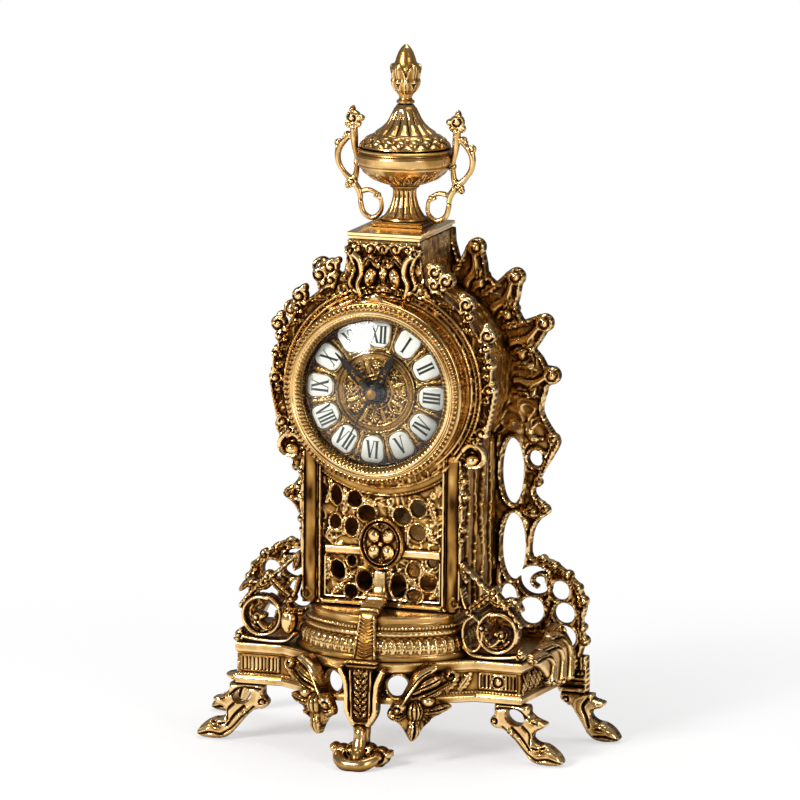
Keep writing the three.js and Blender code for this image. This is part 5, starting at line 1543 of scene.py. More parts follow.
@dataclass
class Dial:
    """Stamped dial plate, enamel cartouches with the hours and the middle rosette."""

    face_y: float = -50.2
    radius: float = 46.0
    ring: float = 33.2
    length: float = 15.4
    inner: float = 5.7
    outer: float = 7.3
    rosette: float = 23.6
    numerals: tuple[str, ...] = ("I", "II", "III", "IV", "V", "VI", "VII", "VIII", "IX", "X", "XI", "XII")

    @staticmethod
    def turned_sheet(y: float, angle: float) -> Placer:
        """Places a sheet about the dial's axis, turned clockwise by angle radians."""
        c, s = math.cos(angle), math.sin(angle)
        return lambda u, v, out: np.stack([u * c + v * s, y - out, Clock.dial_z + v * c - u * s], 1)

    def plate(self) -> Cast:
        """Gilt ground of small leaves between the cartouches.

        Returns:
            The casting.
        """
        made = Relief((-46, -46), (46, 46), 0.42)
        radius = np.hypot(made.u, made.v)
        made.add(self.radius - radius)
        made.cut(4.3 - radius)
        made.shade -= 0.12
        made.chase(1.1, 0.55, seed=11)
        for hour in range(12):
            turn = math.radians(30 * hour + 15)
            spine = [(r * math.sin(turn), r * math.cos(turn)) for r in (24.6, 30, 36, 40)]
            made.leaf(spine, 0.9, 0.9, 5)
            for r, size in ((42.0, 1.5), (38.2, 1.1)):
                made.flower(r * math.sin(turn), r * math.cos(turn), size, 0.9, 5)
        for ring in (41.6, 43.4):
            made.ridge(radius - ring, 0.5, 0.7)
        return made.cast(self.turned_sheet(self.face_y, Clock.dial_turn), 4.1)

    def tile_edge(self, made: Relief, grow: float) -> Array:
        """Distance inside a cartouche's outline, with rounded corners.

        Args:
            made: Relief of the cartouche.
            grow: How much larger than the enamel it is.

        Returns:
            The distance at each grid point.
        """
        half = self.length / 2 + grow
        share = np.clip((made.v + half) / (2 * half), 0, 1)
        wide = self.inner + grow + (self.outer - self.inner) * share
        corner = 4.4
        du, dv = np.abs(made.u) - wide + corner, np.abs(made.v) - half + corner
        outside = np.hypot(np.maximum(du, 0), np.maximum(dv, 0))
        return corner - outside - np.minimum(np.maximum(du, dv), 0)

    def tile(self, hour: int) -> Cast:
        """Enamel cartouche, low domed.

        Args:
            hour: Its hour, 1 to 12.

        Returns:
            The tile.
        """
        made = Relief((-8, -8.4), (8, 8.4), 0.4)
        made.add(self.tile_edge(made, -0.2))
        made.height = 1.0 + 0.5 * (1 - np.exp(-np.clip(made.edge, 0, 9) / 1.1))
        return made.cast(self.tile_place(hour), 0.4)

    def rims(self, hour: int) -> Cast:
        """Thin double gilt rim round a cartouche.

        Args:
            hour: Its hour, 1 to 12.

        Returns:
            The casting.
        """
        made = Relief((-9, -9.4), (9, 9.4), 0.36)
        inside = self.tile_edge(made, 1.0)
        made.add(inside)
        made.cut(self.tile_edge(made, -0.2))
        made.height = 0.7 + 0.8 * np.sin(np.pi * np.clip(inside / 1.2, 0, 1)) ** 0.7
        return made.cast(self.tile_place(hour), 0.5)

    def tile_place(self, hour: int, lift: float = 0.0) -> Placer:
        """Places a cartouche's sheet at its hour.

        Args:
            hour: Its hour, 1 to 12.
            lift: How far before the dial it lies.

        Returns:
            The mapping of the sheet.
        """
        turn = math.radians(30 * hour)
        c, s = math.cos(turn), math.sin(turn)
        disc = self.turned_sheet(self.face_y - lift, Clock.dial_turn)
        return lambda u, v, out: disc(u * c + (v + self.ring) * s, (v + self.ring) * c - u * s, out)

    @staticmethod
    def stroke(a: Point, b: Point, half: float) -> list[Point]:
        """Corners of a stroke from a to b.

        Args:
            a: First end.
            b: Last end.
            half: Half width.

        Returns:
            The four corners.
        """
        du, dv = b[0] - a[0], b[1] - a[1]
        length = math.hypot(du, dv)
        nu, nv = -dv / length * half, du / length * half
        return [(a[0] - nu, a[1] - nv), (b[0] - nu, b[1] - nv), (b[0] + nu, b[1] + nv), (a[0] + nu, a[1] + nv)]

    def letter(self, sign: str, mid: float, wide: float, squeeze: float) -> list[tuple[Point, Point, float]]:
        """Strokes of a letter of the hours.

        Args:
            sign: I, V or X.
            mid: Where its middle stands.
            wide: Its width.
            squeeze: How much narrower than usual it is.

        Returns:
            Ends and half width of each stroke.
        """
        high, arm = 4.9, (wide - 0.8) / 2
        thick, thin, serif, reach = 0.7 * max(squeeze, 0.8), 0.27, 0.2, 0.8
        if sign == "I":
            made = [((mid, -high), (mid, high), thick)]
            feet, reach = [(mid, end) for end in (-high, high)], 1.1 * squeeze
        elif sign == "V":
            made = [((mid - arm + 0.4, high), (mid, -high), thick), ((mid + arm - 0.2, high), (mid, -high), thin)]
            feet = [(mid + side * arm, high) for side in (-1, 1)]
        else:
            left, right = mid - arm + 0.4, mid + arm - 0.4
            made = [((left, high), (right, -high), thick), ((right, high), (left, -high), thin)]
            feet = [(mid + side * arm, end) for side in (-1, 1) for end in (-high, high)]
        return made + [((x - reach, end), (x + reach, end), serif) for x, end in feet]

    def figure(self, hour: int) -> Cast:
        """Roman numeral of an hour, as printed strokes on the enamel.

        Args:
            hour: Its hour, 1 to 12.

        Returns:
            The printed strokes.
        """
        widest, lift, ink = 10.6, 1.46, 0.12
        text = self.numerals[hour - 1]
        total = sum(LETTERS[sign] for sign in text)
        squeeze = min(1.0, widest / total)
        flip = -1 if 3 < hour < 9 else 1
        place = self.tile_place(hour, lift)
        printed, at = [], -total * squeeze / 2
        for sign in text:
            wide = LETTERS[sign] * squeeze
            for a, b, half in self.letter(sign, at + wide / 2, wide, squeeze):
                corners = np.array(self.stroke(a, b, half)) * flip
                sheets = [place(*corners.T, np.full(4, depth)) for depth in (0.0, ink)]
                printed.append(Skin(np.stack(sheets), np.zeros((2, 4))).cast())
            at += wide
        return printed[0].joined(*printed[1:])

    def middle(self) -> Cast:
        """Stamped rosette with its bright rim and a ring of florets.

        Returns:
            The casting.
        """
        made = Relief((-24, -24), (24, 24), 0.36)
        radius = np.hypot(made.u, made.v)
        made.add(self.rosette - radius)
        made.cut(7.2 - radius)
        made.shade += 0.04
        made.chase(1.5, 0.6, seed=17)
        stipple = 0.25 * noise(made.u, made.v, 0.7, 23)
        made.height = np.where(radius > 19.2, stipple, made.height)
        for ring, width, rise in ((22.9, 0.6, 1.1), (19.3, 0.45, 0.8), (9.6, 0.5, 0.9)):
            made.ridge(radius - ring, width, rise)
        for i in range(8):
            turn = TAU * i / 8
            made.flower(15.2 * math.sin(turn), 15.2 * math.cos(turn), 3.0, 1.5, 6)
            between = turn + TAU / 16
            made.leaf([(r * math.sin(between), r * math.cos(between)) for r in (10.4, 14, 18.4)], 1.6, 1.1, 5)
        return made.cast(self.turned_sheet(self.face_y - 1.0, Clock.dial_turn), 0.8)

    def nut(self) -> Cast:
        """Black domed nut on the movement's neck.

        Returns:
            The nut.
        """
        seat = [(6.5, -50.5), (4.3, -50.5)]
        profile = [seat[1], (4.3, -55.0), (4.8, -55.1), (5.6, -54.4), (6.2, -53.2), (6.5, -51.8), *seat]
        return Turned(profile, segments=64, step=0.6).facing(ring=True)

    def dress(self) -> None:
        """Publishes the dial."""
        publish("dial_ground", self.plate(), BRASS_STAMPED, Slot.POLISHED, replaces=("dial_plate",))
        publish("dial_rosette_stamped", self.middle(), BRASS_STAMPED, Slot.ANTIQUE, replaces=("dial_rosette",))
        for hour in range(1, 13):
            name = f"{hour:02d}"
            publish(f"tile_{name}", self.tile(hour), ENAMEL, Slot.ENAMEL, replaces=(f"cartouche_{name}",))
            publish(f"figure_{name}", self.figure(hour), INK, Slot.LACQUER)
        rims = [self.rims(hour) for hour in range(1, 13)]
        publish("tile_rims", rims[0].joined(*rims[1:]), BRASS_STAMPED, Slot.POLISHED)
        publish("dial_nut", self.nut(), LACQUER, Slot.LACQUER, replaces=("fixing_nut",))


@dataclass
class Hands:
    """Pierced hour and minute hands and the thin sweep hand with its cap."""

    hour_turn: float = 27.5
    minute_turn: float = -45.0
    second_turn: float = -153.0
    blade: tuple[Point, ...] = (
        (0.05, 0), (0.035, 0.14), (0.05, 0.2), (0.1, 0.44), (0.06, 0.62), (0.075, 0.7), (0.03, 0.84), (0.012, 1),
    )

    def spade(self, length: float, y: float, degrees: float, tube: float, bore: float, rear: float) -> Cast:
        """A pierced blade on its tube, from the dial's axis.

        Args:
            length: Length of the blade.
            y: Where the blade's front lies.
            degrees: How far it is turned clockwise from 12.
            tube: Outer radius of the tube.
            bore: Inner radius of the tube.
            rear: Where the tube ends behind.

        Returns:
            The hand.
        """
        turn = math.radians(degrees)
        made = Relief((-0.16 * length, -4.6), (0.16 * length, length), 0.2)
        right = smooth(self.blade)
        outline = np.vstack([right * length, (right * length * [-1, 1])[::-1]])
        made.add(made.polygon(outline), (tube + 1.6) - np.hypot(made.u, made.v))
        made.cut(made.oval(0, 0.36 * length, 0.05 * length, 0.075 * length))
        made.cut(made.oval(0, 0.52 * length, 0.036 * length, 0.05 * length))
        made.cut(bore - np.hypot(made.u, made.v))
        made.height = 0.22 * np.clip(made.edge / 0.5, 0, 1)
        blade = made.cast(Dial.turned_sheet(y + 0.22, turn), 0.38)
        sleeve = [(bore, y + 0.4), (tube, y + 0.4), (tube, rear), (bore, rear), (bore, y + 0.4)]
        return blade.joined(Turned(sleeve, segments=32, step=3).facing(ring=True))

    def sweep(self) -> Cast:
        """The sweep hand with its tail.

        Returns:
            The hand.
        """
        made = Relief((-1.8, -8.2), (1.8, 26), 0.16)
        wide = np.interp(made.v, [-8, -6, -2, 0, 26], [1.1, 1.2, 0.7, 0.6, 0.42])
        made.add(np.minimum(wide - np.abs(made.u), made.v + 8), 1.6 - np.hypot(made.u, made.v))
        made.height = 0.15 * np.clip(made.edge / 0.3, 0, 1)
        blade = made.cast(Dial.turned_sheet(-60.05, math.radians(self.second_turn)), 0.4)
        pin = [(AXIS, -60.0), (0.7, -60.0), (0.7, -48.0), (AXIS, -48.0)]
        return blade.joined(Turned(pin, segments=20, step=4).facing())

    def cap(self) -> Cast:
        """Brass cap over the pin."""
        dome = [(2.8, -60.35), (3.0, -60.8), (2.7, -61.4), (2.0, -61.9), (1.0, -62.2)]
        return Turned([(AXIS, -60.35), *dome, (AXIS, -62.3)], segments=40, step=0.4).facing()

    def dress(self) -> None:
        """Publishes the hands on their bodies."""
        hour = self.spade(27.2, -55.8, self.hour_turn, 2.9, 2.1, -42.7)
        minute = self.spade(31.4, -58.0, self.minute_turn, 1.8, 1.0, -44.7)
        publish("hour_blade", hour, LACQUER, Slot.LACQUER, "hour_hand", ("hour_hand",))
        publish("minute_blade", minute, LACQUER, Slot.LACQUER, "minute_hand", ("minute_hand",))
        publish("second_blade", self.sweep(), LACQUER, Slot.LACQUER, "second_hand", ("second_hand",))
        publish("second_cap", self.cap(), BRASS_SATIN, Slot.POLISHED, "second_hand", ("hand_cap",))


# Urn


@dataclass
class Urn:
    """Foot, bowl, lid and bud, turned on the upright axis and carved."""

    bore: float = 2.0

    def square(self) -> Cast:
        """Stepped square plinth of the foot."""
        low = prism([(-15, -15), (15, -15), (15, 15), (-15, 15)], 300.8, 302.2, 0.2)
        return low.joined(prism([(-14, -14), (14, -14), (14, 14), (-14, 14)], 302.2, 303.2, 0.4))

    def foot(self) -> Cast:
        """Fluted foot with a ringed neck.

        Returns:
            The casting.
        """
        profile = [
            (self.bore, 303.0), (13.2, 303.0), (13.7, 303.8), (13.4, 304.8), (12.2, 305.2), (11.4, 306.0),
            (9.8, 308.4), (8.3, 311.4), (7.4, 314.4), (6.9, 316.4), (6.7, 318.4), (6.8, 320.4), (7.4, 321.6),
            (8.4, 322.2), (8.4, 323.1), (self.bore, 323.1),
        ]

        def carve(angle: Array, at: Array) -> Array:
            """Leaves on the cone of the foot."""
            flute = np.abs(np.sin(7 * angle)) ** 0.7
            return 1.2 * (flute - 1) * bell(at - 23.5, 8.4, 6)

        return self.square().joined(Turned(profile, carve, 168, 0.5).upright())

    def bowl(self) -> Cast:
        """Bowl with a leaf cup, a plain band and a rim.

        Returns:
            The casting.
        """
        profile = [
            (self.bore, 323.6), (7.0, 323.6), (8.0, 324.0), (12.0, 325.2), (18.4, 327.6), (23.4, 330.8),
            (26.4, 334.0), (27.8, 337.2), (28.0, 340.2), (27.4, 341.6), (26.6, 342.0), (26.4, 342.8), (27.2, 343.2),
            (27.4, 344.0), (26.8, 344.5), (self.bore, 344.5),
        ]

        def carve(angle: Array, at: Array) -> Array:
            """Rising leaves round the lower bowl.

            Args:
                angle: Angles round the axis.
                at: Runs along the profile in mm.

            Returns:
                The height of the carving.
            """
            share = np.clip((at - 5) / 20, 0, 1)
            petal = np.abs(np.cos(8 * angle))
            tip = petal > share**1.5
            vein = 1 - 0.5 * bell(np.sin(8 * angle), 0.16)
            rib = 0.78 + 0.22 * np.cos(48 * angle + 0.9 * at)
            leaf = np.where(tip & (share > 0) & (share < 1), 1.0 * vein * rib * np.sin(np.pi * share**0.8) ** 0.4, 0)
            return leaf - 0.35 * bell(at - 28.6, 0.5)

        return Turned(profile, carve, 240, 0.45).upright()

    def lid(self) -> Cast:
        """Lid with a lattice of leaves below and flutes above.

        Returns:
            The casting.
        """
        profile = [
            (self.bore, 345.1), (25.4, 345.1), (26.2, 345.7), (26.0, 346.6), (24.9, 347.2), (24.2, 348.2),
            (22.0, 350.2), (18.6, 352.4), (17.8, 352.6), (17.2, 353.6), (14.0, 355.6), (11.0, 358.4), (8.9, 361.6),
            (7.6, 364.8), (6.6, 367.2), (5.4, 368.6), (4.9, 369.4), (self.bore, 369.4),
        ]

        def carve(angle: Array, at: Array) -> Array:
            """Diamonds of leaf on the lower band, flutes on the upper cone.

            Args:
                angle: Angles round the axis.
                at: Runs along the profile in mm.

            Returns:
                The height of the carving.
            """
            diamond = np.abs(np.cos(9 * angle + 0.42 * at)) * np.abs(np.cos(9 * angle - 0.42 * at))
            band = (diamond**0.7 - 0.5) * 1.5 * bell(at - 29.6, 4.1, 6)
            flute = (np.abs(np.cos(7 * angle)) ** 0.6 - 0.7) * 1.3 * bell(at - 44, 8.2, 6)
            return band + flute

        return Turned(profile, carve, 252, 0.45).upright()

    def bud(self) -> Cast:
        """Bud of three rows of leaves.

        Returns:
            The casting.
        """
        profile = [
            (self.bore, 370.1), (4.6, 370.1), (5.2, 370.6), (5.2, 371.6), (4.0, 372.4), (3.6, 373.4), (4.4, 375.6),
            (6.6, 378.0), (8.2, 380.8), (8.4, 383.0), (7.8, 384.8), (8.4, 386.8), (9.2, 389.6), (9.0, 391.6),
            (8.0, 393.0), (7.2, 395.0), (6.6, 397.2), (5.4, 400.2), (3.8, 402.8), (1.8, 404.8), (0.02, 405.3),
        ]

        def carve(angle: Array, at: Array) -> Array:
            """Leaf rows that shift by half a leaf.

            Args:
                angle: Angles round the axis.
                at: Runs along the profile in mm.

            Returns:
                The height of the carving.
            """
            lower, upper = np.abs(np.cos(2.5 * angle)), np.abs(np.sin(2.5 * angle))
            calyx = np.clip((12 + 7 * lower**0.7 - at) / 1.2, -1, 0) * (at < 21)
            leaves = np.clip((19 + 9 * upper**0.8 - at) / 1.4, -1, 0) * (at >= 14)
            vein = bell(upper, 0.1) * (at < 17) + bell(lower, 0.1) * (at > 19) * (at < 27)
            swell = 0.5 * np.cos(10 * angle) * bell(at - 18, 9, 4)
            return np.where(at > 8.5, 1.3 * np.where(at < 17, calyx, leaves) - 0.6 * vein + swell, 0)

        return Turned(profile, carve, 168, 0.5).upright()

    def dress(self) -> None:
        """Publishes the urn."""
        publish("urn_foot_cast", self.foot(), BRASS, Slot.POLISHED, replaces=("urn_foot",))
        publish("urn_bowl_cast", self.bowl(), BRASS, Slot.POLISHED, replaces=("urn_bowl",))
        publish("urn_lid_cast", self.lid(), BRASS, Slot.POLISHED, replaces=("urn_lid",))
        publish("finial_bud", self.bud(), BRASS, Slot.POLISHED, replaces=("finial",))


@dataclass
class Handle(SidedCasting):
    """Scroll handle with a flower, a standing loop and a hanging loop."""

    piece = "handle_cast"
    stands_for = "handle"

    def right(self) -> Cast:
        """Builds the right handle.

        Returns:
            The casting.
        """

        def line(*knots: Point) -> list[tuple[float, float, float]]:
            """Knots in the urn's upright plane."""
            return [(x, 0.0, z) for x, z in knots]

        stem = tube(
            line((31, 357.6), (30.6, 351), (30, 344), (28.6, 337), (29, 330), (30, 324.6)),
            (2.3, 2.3, 1.7, 1.5, 1.9),
        )
        arm = tube(
            line((30.8, 352), (35, 348.6), (39.8, 342), (39.8, 334.6), (36, 328.4), (31, 323.6), (27.4, 318.6),
                (26.2, 312.6)),
            (2.1, 1.7, 2.0, 1.7, 1.5, 2.1, 1.9, 1.4),
        )
        loop = tube(
            line((27.0, 314.6), (24.6, 306.2), (18.8, 303.4), (14.0, 308.0), (15.0, 315.6), (20.6, 319.2),
                (26.8, 318.2)),
            (1.5, 1.6, 1.5, 1.2, 1.3, 1.6),
        )
        made = stem.joined(arm, loop)
        for x, z, radius, turn in (
            (31, 360.6, 4.2, 70), (28.8, 357.2, 2.4, 180), (33.6, 357.0, 2.4, 0), (39.8, 345.6, 2.4, 60),
            (34.6, 350.4, 2.2, 100), (31.4, 324, 3.0, 0), (33.8, 321.4, 1.9, -40), (16.2, 316.4, 1.9, 120),
            (28.6, 335, 2.0, 0),
        ):
            head = Relief((x - 1.6 * radius, z - 1.6 * radius), (x + 1.6 * radius, z + 1.9 * radius), 0.4)
            head.bud(x, z, radius, 0.8 * radius, turn)
            if z > 360:
                head.sprig([(x, z), (x + 0.6, z + 4), (x + 0.2, z + 6.8)], 2.2, 2.4, 2)
            made = made.joined(head.cast(upright(-0.6), 1.2, back=1.0))
        return made


# Walls, roof and back


@dataclass
class CaseShell:
    """Side walls with drapery folds and the arched roof with its concave neck."""

    wall_x: float = 46.4
    front_y: float = -35.3
    back_y: float = 26.7
    foot: float = 84.3
    top: float = 177.7
    arch: float = 57.0
    neck: float = 20.5
    fillet: float = 14.0

    def wall(self, side: int) -> Cast:
        """A wall with upright folds and wandering ridge lines.

        Args:
            side: 1 for the right, -1 for the left.

        Returns:
            The casting.
        """
        made = Relief((self.front_y, self.foot), (self.back_y, self.top), 0.8)
        made.fill()
        drift = 9 * (noise(made.u, made.v, 30, 31) - 0.5)
        folds = noise(made.u + drift, 0.14 * made.v, 7, 33)
        made.height = 2.9 * folds + 0.5 * noise(made.u, made.v, 3, 32)
        made.shade += 0.34 - 0.3 * folds
        for i, (u, sway) in enumerate(((-31.6, 2.2), (-17, 1.4), (-3, 1.9), (12, 1.5))):
            knots = [(u + sway * math.sin(1.3 * j + 2.1 * i), self.foot + 2 + 9.9 * j) for j in range(10)]
            made.ribbon(knots, 0.7, 3.9)
        return made.cast(lambda u, v, out: np.stack([side * (self.wall_x + out), u, v], 1), 2.9)

    def path(self, inset: float) -> Array:
        """Half of the roof's outline, from the shoulder up to the neck.

        Args:
            inset: How far it lies inside the roof.

        Returns:
            The points of the outline.
        """
        radius, neck = self.arch - inset, self.neck - inset
        fillet = self.fillet + inset
        centre_x = neck + fillet
        lift = math.sqrt((radius + fillet) ** 2 - centre_x**2)
        joint = math.atan2(lift, centre_x)
        turns = np.linspace(-0.61 + 0.02 * inset, joint, 44)
        arch = np.stack([radius * np.cos(turns), Clock.dial_z + radius * np.sin(turns)], 1)
        turns = np.linspace(joint + math.pi, math.pi, 16)[1:]
        cove = np.stack([centre_x + fillet * np.cos(turns), Clock.dial_z + lift + fillet * np.sin(turns)], 1)
        return np.vstack([arch, cove, [[neck, 296.0 - inset]]])

    @staticmethod
    def even(path: Array) -> Array:
        """The path with evenly spaced points, near enough for its cast surface.

        Args:
            path: The path.

        Returns:
            The evenly spaced points.
        """
        run = run_along(path)
        at = np.linspace(0, run[-1], 170)
        return np.stack([np.interp(at, run, path[:, k]) for k in (0, 1)], 1)

    def roof(self) -> Cast:
        """The roof as one bent sheet.

        Returns:
            The casting.
        """
        outer, inner = self.even(self.path(0)), self.even(self.path(2.6))
        outline = np.vstack([outer, (outer * [-1, 1])[::-1], inner * [-1, 1], inner[::-1]])
        depths = np.linspace(self.front_y, self.back_y, 66)
        rings = np.stack([np.insert(outline, 1, depth, axis=1) for depth in depths])
        run = run_along(outline)
        rough = noise(*np.meshgrid(run, depths), 3.6, 37)
        outside = np.arange(len(run)) < 2 * len(outer)
        sink = np.where(outside, 0.9 * rough, 0)[..., None]
        away = rings - [0, 0, Clock.dial_z]
        away[..., 1] = 0
        rings -= sink * away / np.linalg.norm(away, axis=2)[..., None]
        return Skin(rings, np.clip(0.65 - 0.9 * (1 - rough), 0, 1)).cast()

    def dress(self) -> None:
        """Publishes walls and roof."""
        for side, label in ((-1, "left"), (1, "right")):
            publish(f"wall_cast_{label}", self.wall(side), BRASS, Slot.ANTIQUE, replaces=(f"side_wall_{label}",))
        publish("roof_cast", self.roof(), BRASS_ANTIQUE, Slot.ANTIQUE, replaces=("arch_roof",), sharp=40)


@dataclass
class BackPlate(Casting):
    """Wide openwork crest and wings behind the case."""

    piece = "back_casting"
    stands_for = "back_plate"
    slot = Slot.ANTIQUE

    front_y: float = 27.0
    thick: float = 3.4
    pitch: float = 0.9
    edge: tuple[Point, ...] = (
        (78.3, 204), (76, 191.6), (84, 178.3), (86.5, 173.8), (81.2, 163.5), (75.9, 154.3), (71.7, 143.5),
        (81.3, 134), (75, 128), (71, 120), (71, 106), (82.6, 104.7), (97.8, 92.9), (103.6, 79.8), (101.6, 70.7),
        (103, 59.1), (101, 50),
    )
    knobs: tuple[Spot, ...] = ((64.6, 81.4, 5.4), (44.4, 82.2, 5.4), (22.6, 82.4, 5.4), (1.0, 81.0, 5.2))
    holes: tuple[Oval, ...] = (
        (58.5, 156, 6.8, 19.4, 0), (72.2, 164.2, 4.3, 4.8, 0), (59.5, 111.6, 7.4, 19.8, 0),
        (72.6, 92.6, 9.2, 8.4, -18), (56.8, 82, 5.2, 7.4, 0), (70.6, 74.4, 7.6, 8.2, -20),
        (87.9, 87.4, 5.6, 5.8, 0), (90.7, 74.2, 6.2, 6.2, 0), (90.5, 60.2, 7.3, 6.7, 0),
    )

    def build(self) -> Cast:
        """Builds the plate with ornament on both faces.

        Returns:
            The casting.
        """
        made = Relief((-107, 27), (107, 296), self.pitch)
        low = [(70, 229), (76, 222), (79, 214), (78.3, 204), *self.edge[1:]]
        foot = [(105, 50), (105.4, 28), (88, 28), (84, 43), (70, 45.5), (-8, 45.5), (-8, 229)]
        wing = np.vstack([smooth(low, steps=4), foot])
        made.add(made.polygon(wing), made.oval(0, Clock.dial_z, 71.4, 71.4))
        made.add(made.polygon(both_sides([(30, 268), (24.6, 279), (22, 288), (21.5, 296)])))
        for hole in self.holes:
            made.cut(made.oval(*hole))
        for z in (96.3, 164.6):
            made.cut(made.oval(40.9, z, 1.9, 1.9))
        self.crest(made)
        made.chase(4.2, 1.1, seed=41)
        behind = ((np.abs(made.u) < 47) & (made.v < 214)) | (np.hypot(made.u, made.v - Clock.dial_z) < 58)
        made.height = np.where(behind, 0.5 + 0.5 * noise(made.u, made.v, 6, 42), made.height)
        made.rim(1.2, 2.2)
        self.ornament(made)
        made.fold()
        made.cut(made.oval(0, Clock.dial_z, 38, 38))
        return made.cast(upright(self.front_y), self.thick, back=0.25)

    def crest(self, made: Relief) -> None:
        """Necks that fan out from the arch to rolled heads, with dark folds between them.

        Args:
            made: Relief that takes them.
        """
        made.shade += 0.12 * np.clip((made.v - 190) / 16, 0, 1)
        for degrees, reach, radius in self.knobs:
            foot, tip = polar(60, degrees - 4), polar(reach - 0.4 * radius, degrees)
            made.branch([foot, polar(70, degrees - 2.4), tip], (13, radius * 1.05), 0.6)
            below = [polar(59, degrees - 9), polar(68, degrees - 7.6), polar(reach - 1.4 * radius, degrees - 3)]
            above = [polar(59, degrees + 6), polar(68, degrees + 4.4), polar(reach - 1.7 * radius, degrees + 2)]
            made.leaf(below, 3.4, 3.0, 4)
            made.leaf(above, 2.8, 2.8, 4)
            made.dome(*polar(64.5, degrees + 10.8), 2.6, 3.4, 2.8, degrees)
            made.ribbon([foot, polar(70, degrees - 4), tip], (3.0, 1.6), (2.0, 3.4))

    def ornament(self, made: Relief) -> None:
        """Rolled heads of the crest, and the ribs and leaves of the right side.

        Args:
            made: Relief that takes them.
        """
        for degrees, reach, radius in self.knobs:
            made.bud(*polar(reach, degrees), radius, 4.6, degrees + 60, lobes=False)
        for degrees, radius in ((54.6, 2.4), (33.6, 2.6), (12.6, 2.4), (-8, 3.0)):
            made.bud(*polar(70.4, degrees), radius, 3.4, degrees)
            made.carve([polar(58, degrees + 3), polar(63, degrees + 4), polar(68, degrees + 1)], 1.0, 1.0)
        for x, z, radius, turn in (
            (82.6, 176, 3.4, 20), (78.4, 166, 2.2, 0), (73.6, 150, 2.6, 0), (77.6, 134.4, 3.2, 0),
            (69.6, 135, 2.4, 90), (77, 104.8, 2.8, 60), (84.6, 101.2, 2.6, 50), (92.4, 96.4, 3.2, 40),
            (98.6, 89.6, 2.6, 30), (101.6, 82, 3.2, 10), (100.4, 74, 2.4, 0), (101.6, 66.4, 2.6, 0),
            (102.6, 58.6, 3.2, 0), (80.4, 81, 2.4, 180), (81.4, 66.6, 2.6, 200),
        ):
            made.bud(x, z, radius, 3.6, turn)
        for knots in (
            ((79, 204), (77.4, 196), (77.6, 189), (82, 180)),
            ((82, 172), (79, 163), (75.6, 155), (72.6, 147)),
            ((72, 145), (74, 139), (78, 135)),
            ((72, 106), (80, 104.4), (89, 99)),
            ((93, 96), (98.6, 89), (102, 80)),
            ((101, 76), (100.6, 68), (102.6, 58)),
        ):
            made.leaf(knots, 2.8, 3.4, 5)
            made.carve(knots, 0.5, 0.9)
        for spine in (
            ((66, 184), (70, 176), (77, 176)),
            ((64, 134), (69, 131), (76, 131)),
            ((82, 100), (80.6, 94), (82, 86)),
            ((50.6, 100), (50.8, 92), (50.8, 84)),
            ((49.6, 176), (50.4, 168), (50.4, 158)),
        ):
            made.sprig(spine, 2.2, 3.0)
        made.branch([(82, 92.6), (77.6, 96.4), (72.4, 95), (71, 91), (74, 88.8)], (1.5, 1.1), 2.8)
        self.pillar(made)

    def pillar(self, made: Relief) -> None:
        """The pillar below the wing: leaves, a row of beads and a moulded foot.

        Args:
            made: Relief that takes them.
        """
        for x in (90.4, 96.6, 102.4):
            made.leaf([(x, 41), (x, 47), (x + 0.4, 54)], 3.0, 3.4, 4)
        made.beads([(89, 39.4), (96, 39.4), (104.6, 39.4)], 1.0, 2.4, 2.4)
        for z, half in ((42.2, 0.8), (36.4, 0.9), (33.4, 1.2), (30.4, 1.0)):
            made.ribbon([(87, z), (96, z), (105.6, z)], half, 2.4)


# Base, plinth and feet


@dataclass
class Run:
    """A polyline profile or plan with its run length and smooth normals to its right."""

    knots: Array
    at: Array = field(init=False)
    normals: Array = field(init=False)

    def __post_init__(self) -> None:
        """Measures the run and its normals."""
        self.at = run_along(self.knots)
        slope = np.gradient(self.knots, self.at, axis=0)
        slope /= np.hypot(*slope.T)[:, None] + 1e-9
        self.normals = np.stack([slope[:, 1], -slope[:, 0]], 1)

    def point(self, v: Array, out: Array) -> tuple[Array, Array]:
        """Coordinates at a run and a distance off the line.

        Args:
            v: Runs along the line.
            out: Distances to its right.

        Returns:
            First and second coordinates.
        """
        first, second = (np.interp(v, self.at, self.knots[:, i]) for i in (0, 1))
        return (
            first + out * np.interp(v, self.at, self.normals[:, 0]),
            second + out * np.interp(v, self.at, self.normals[:, 1]),
        )

    def where(self, z: float) -> float:
        """Run at which the line first reaches a height."""
        return float(self.at[int(np.argmax(self.knots[:, 1] >= z))])


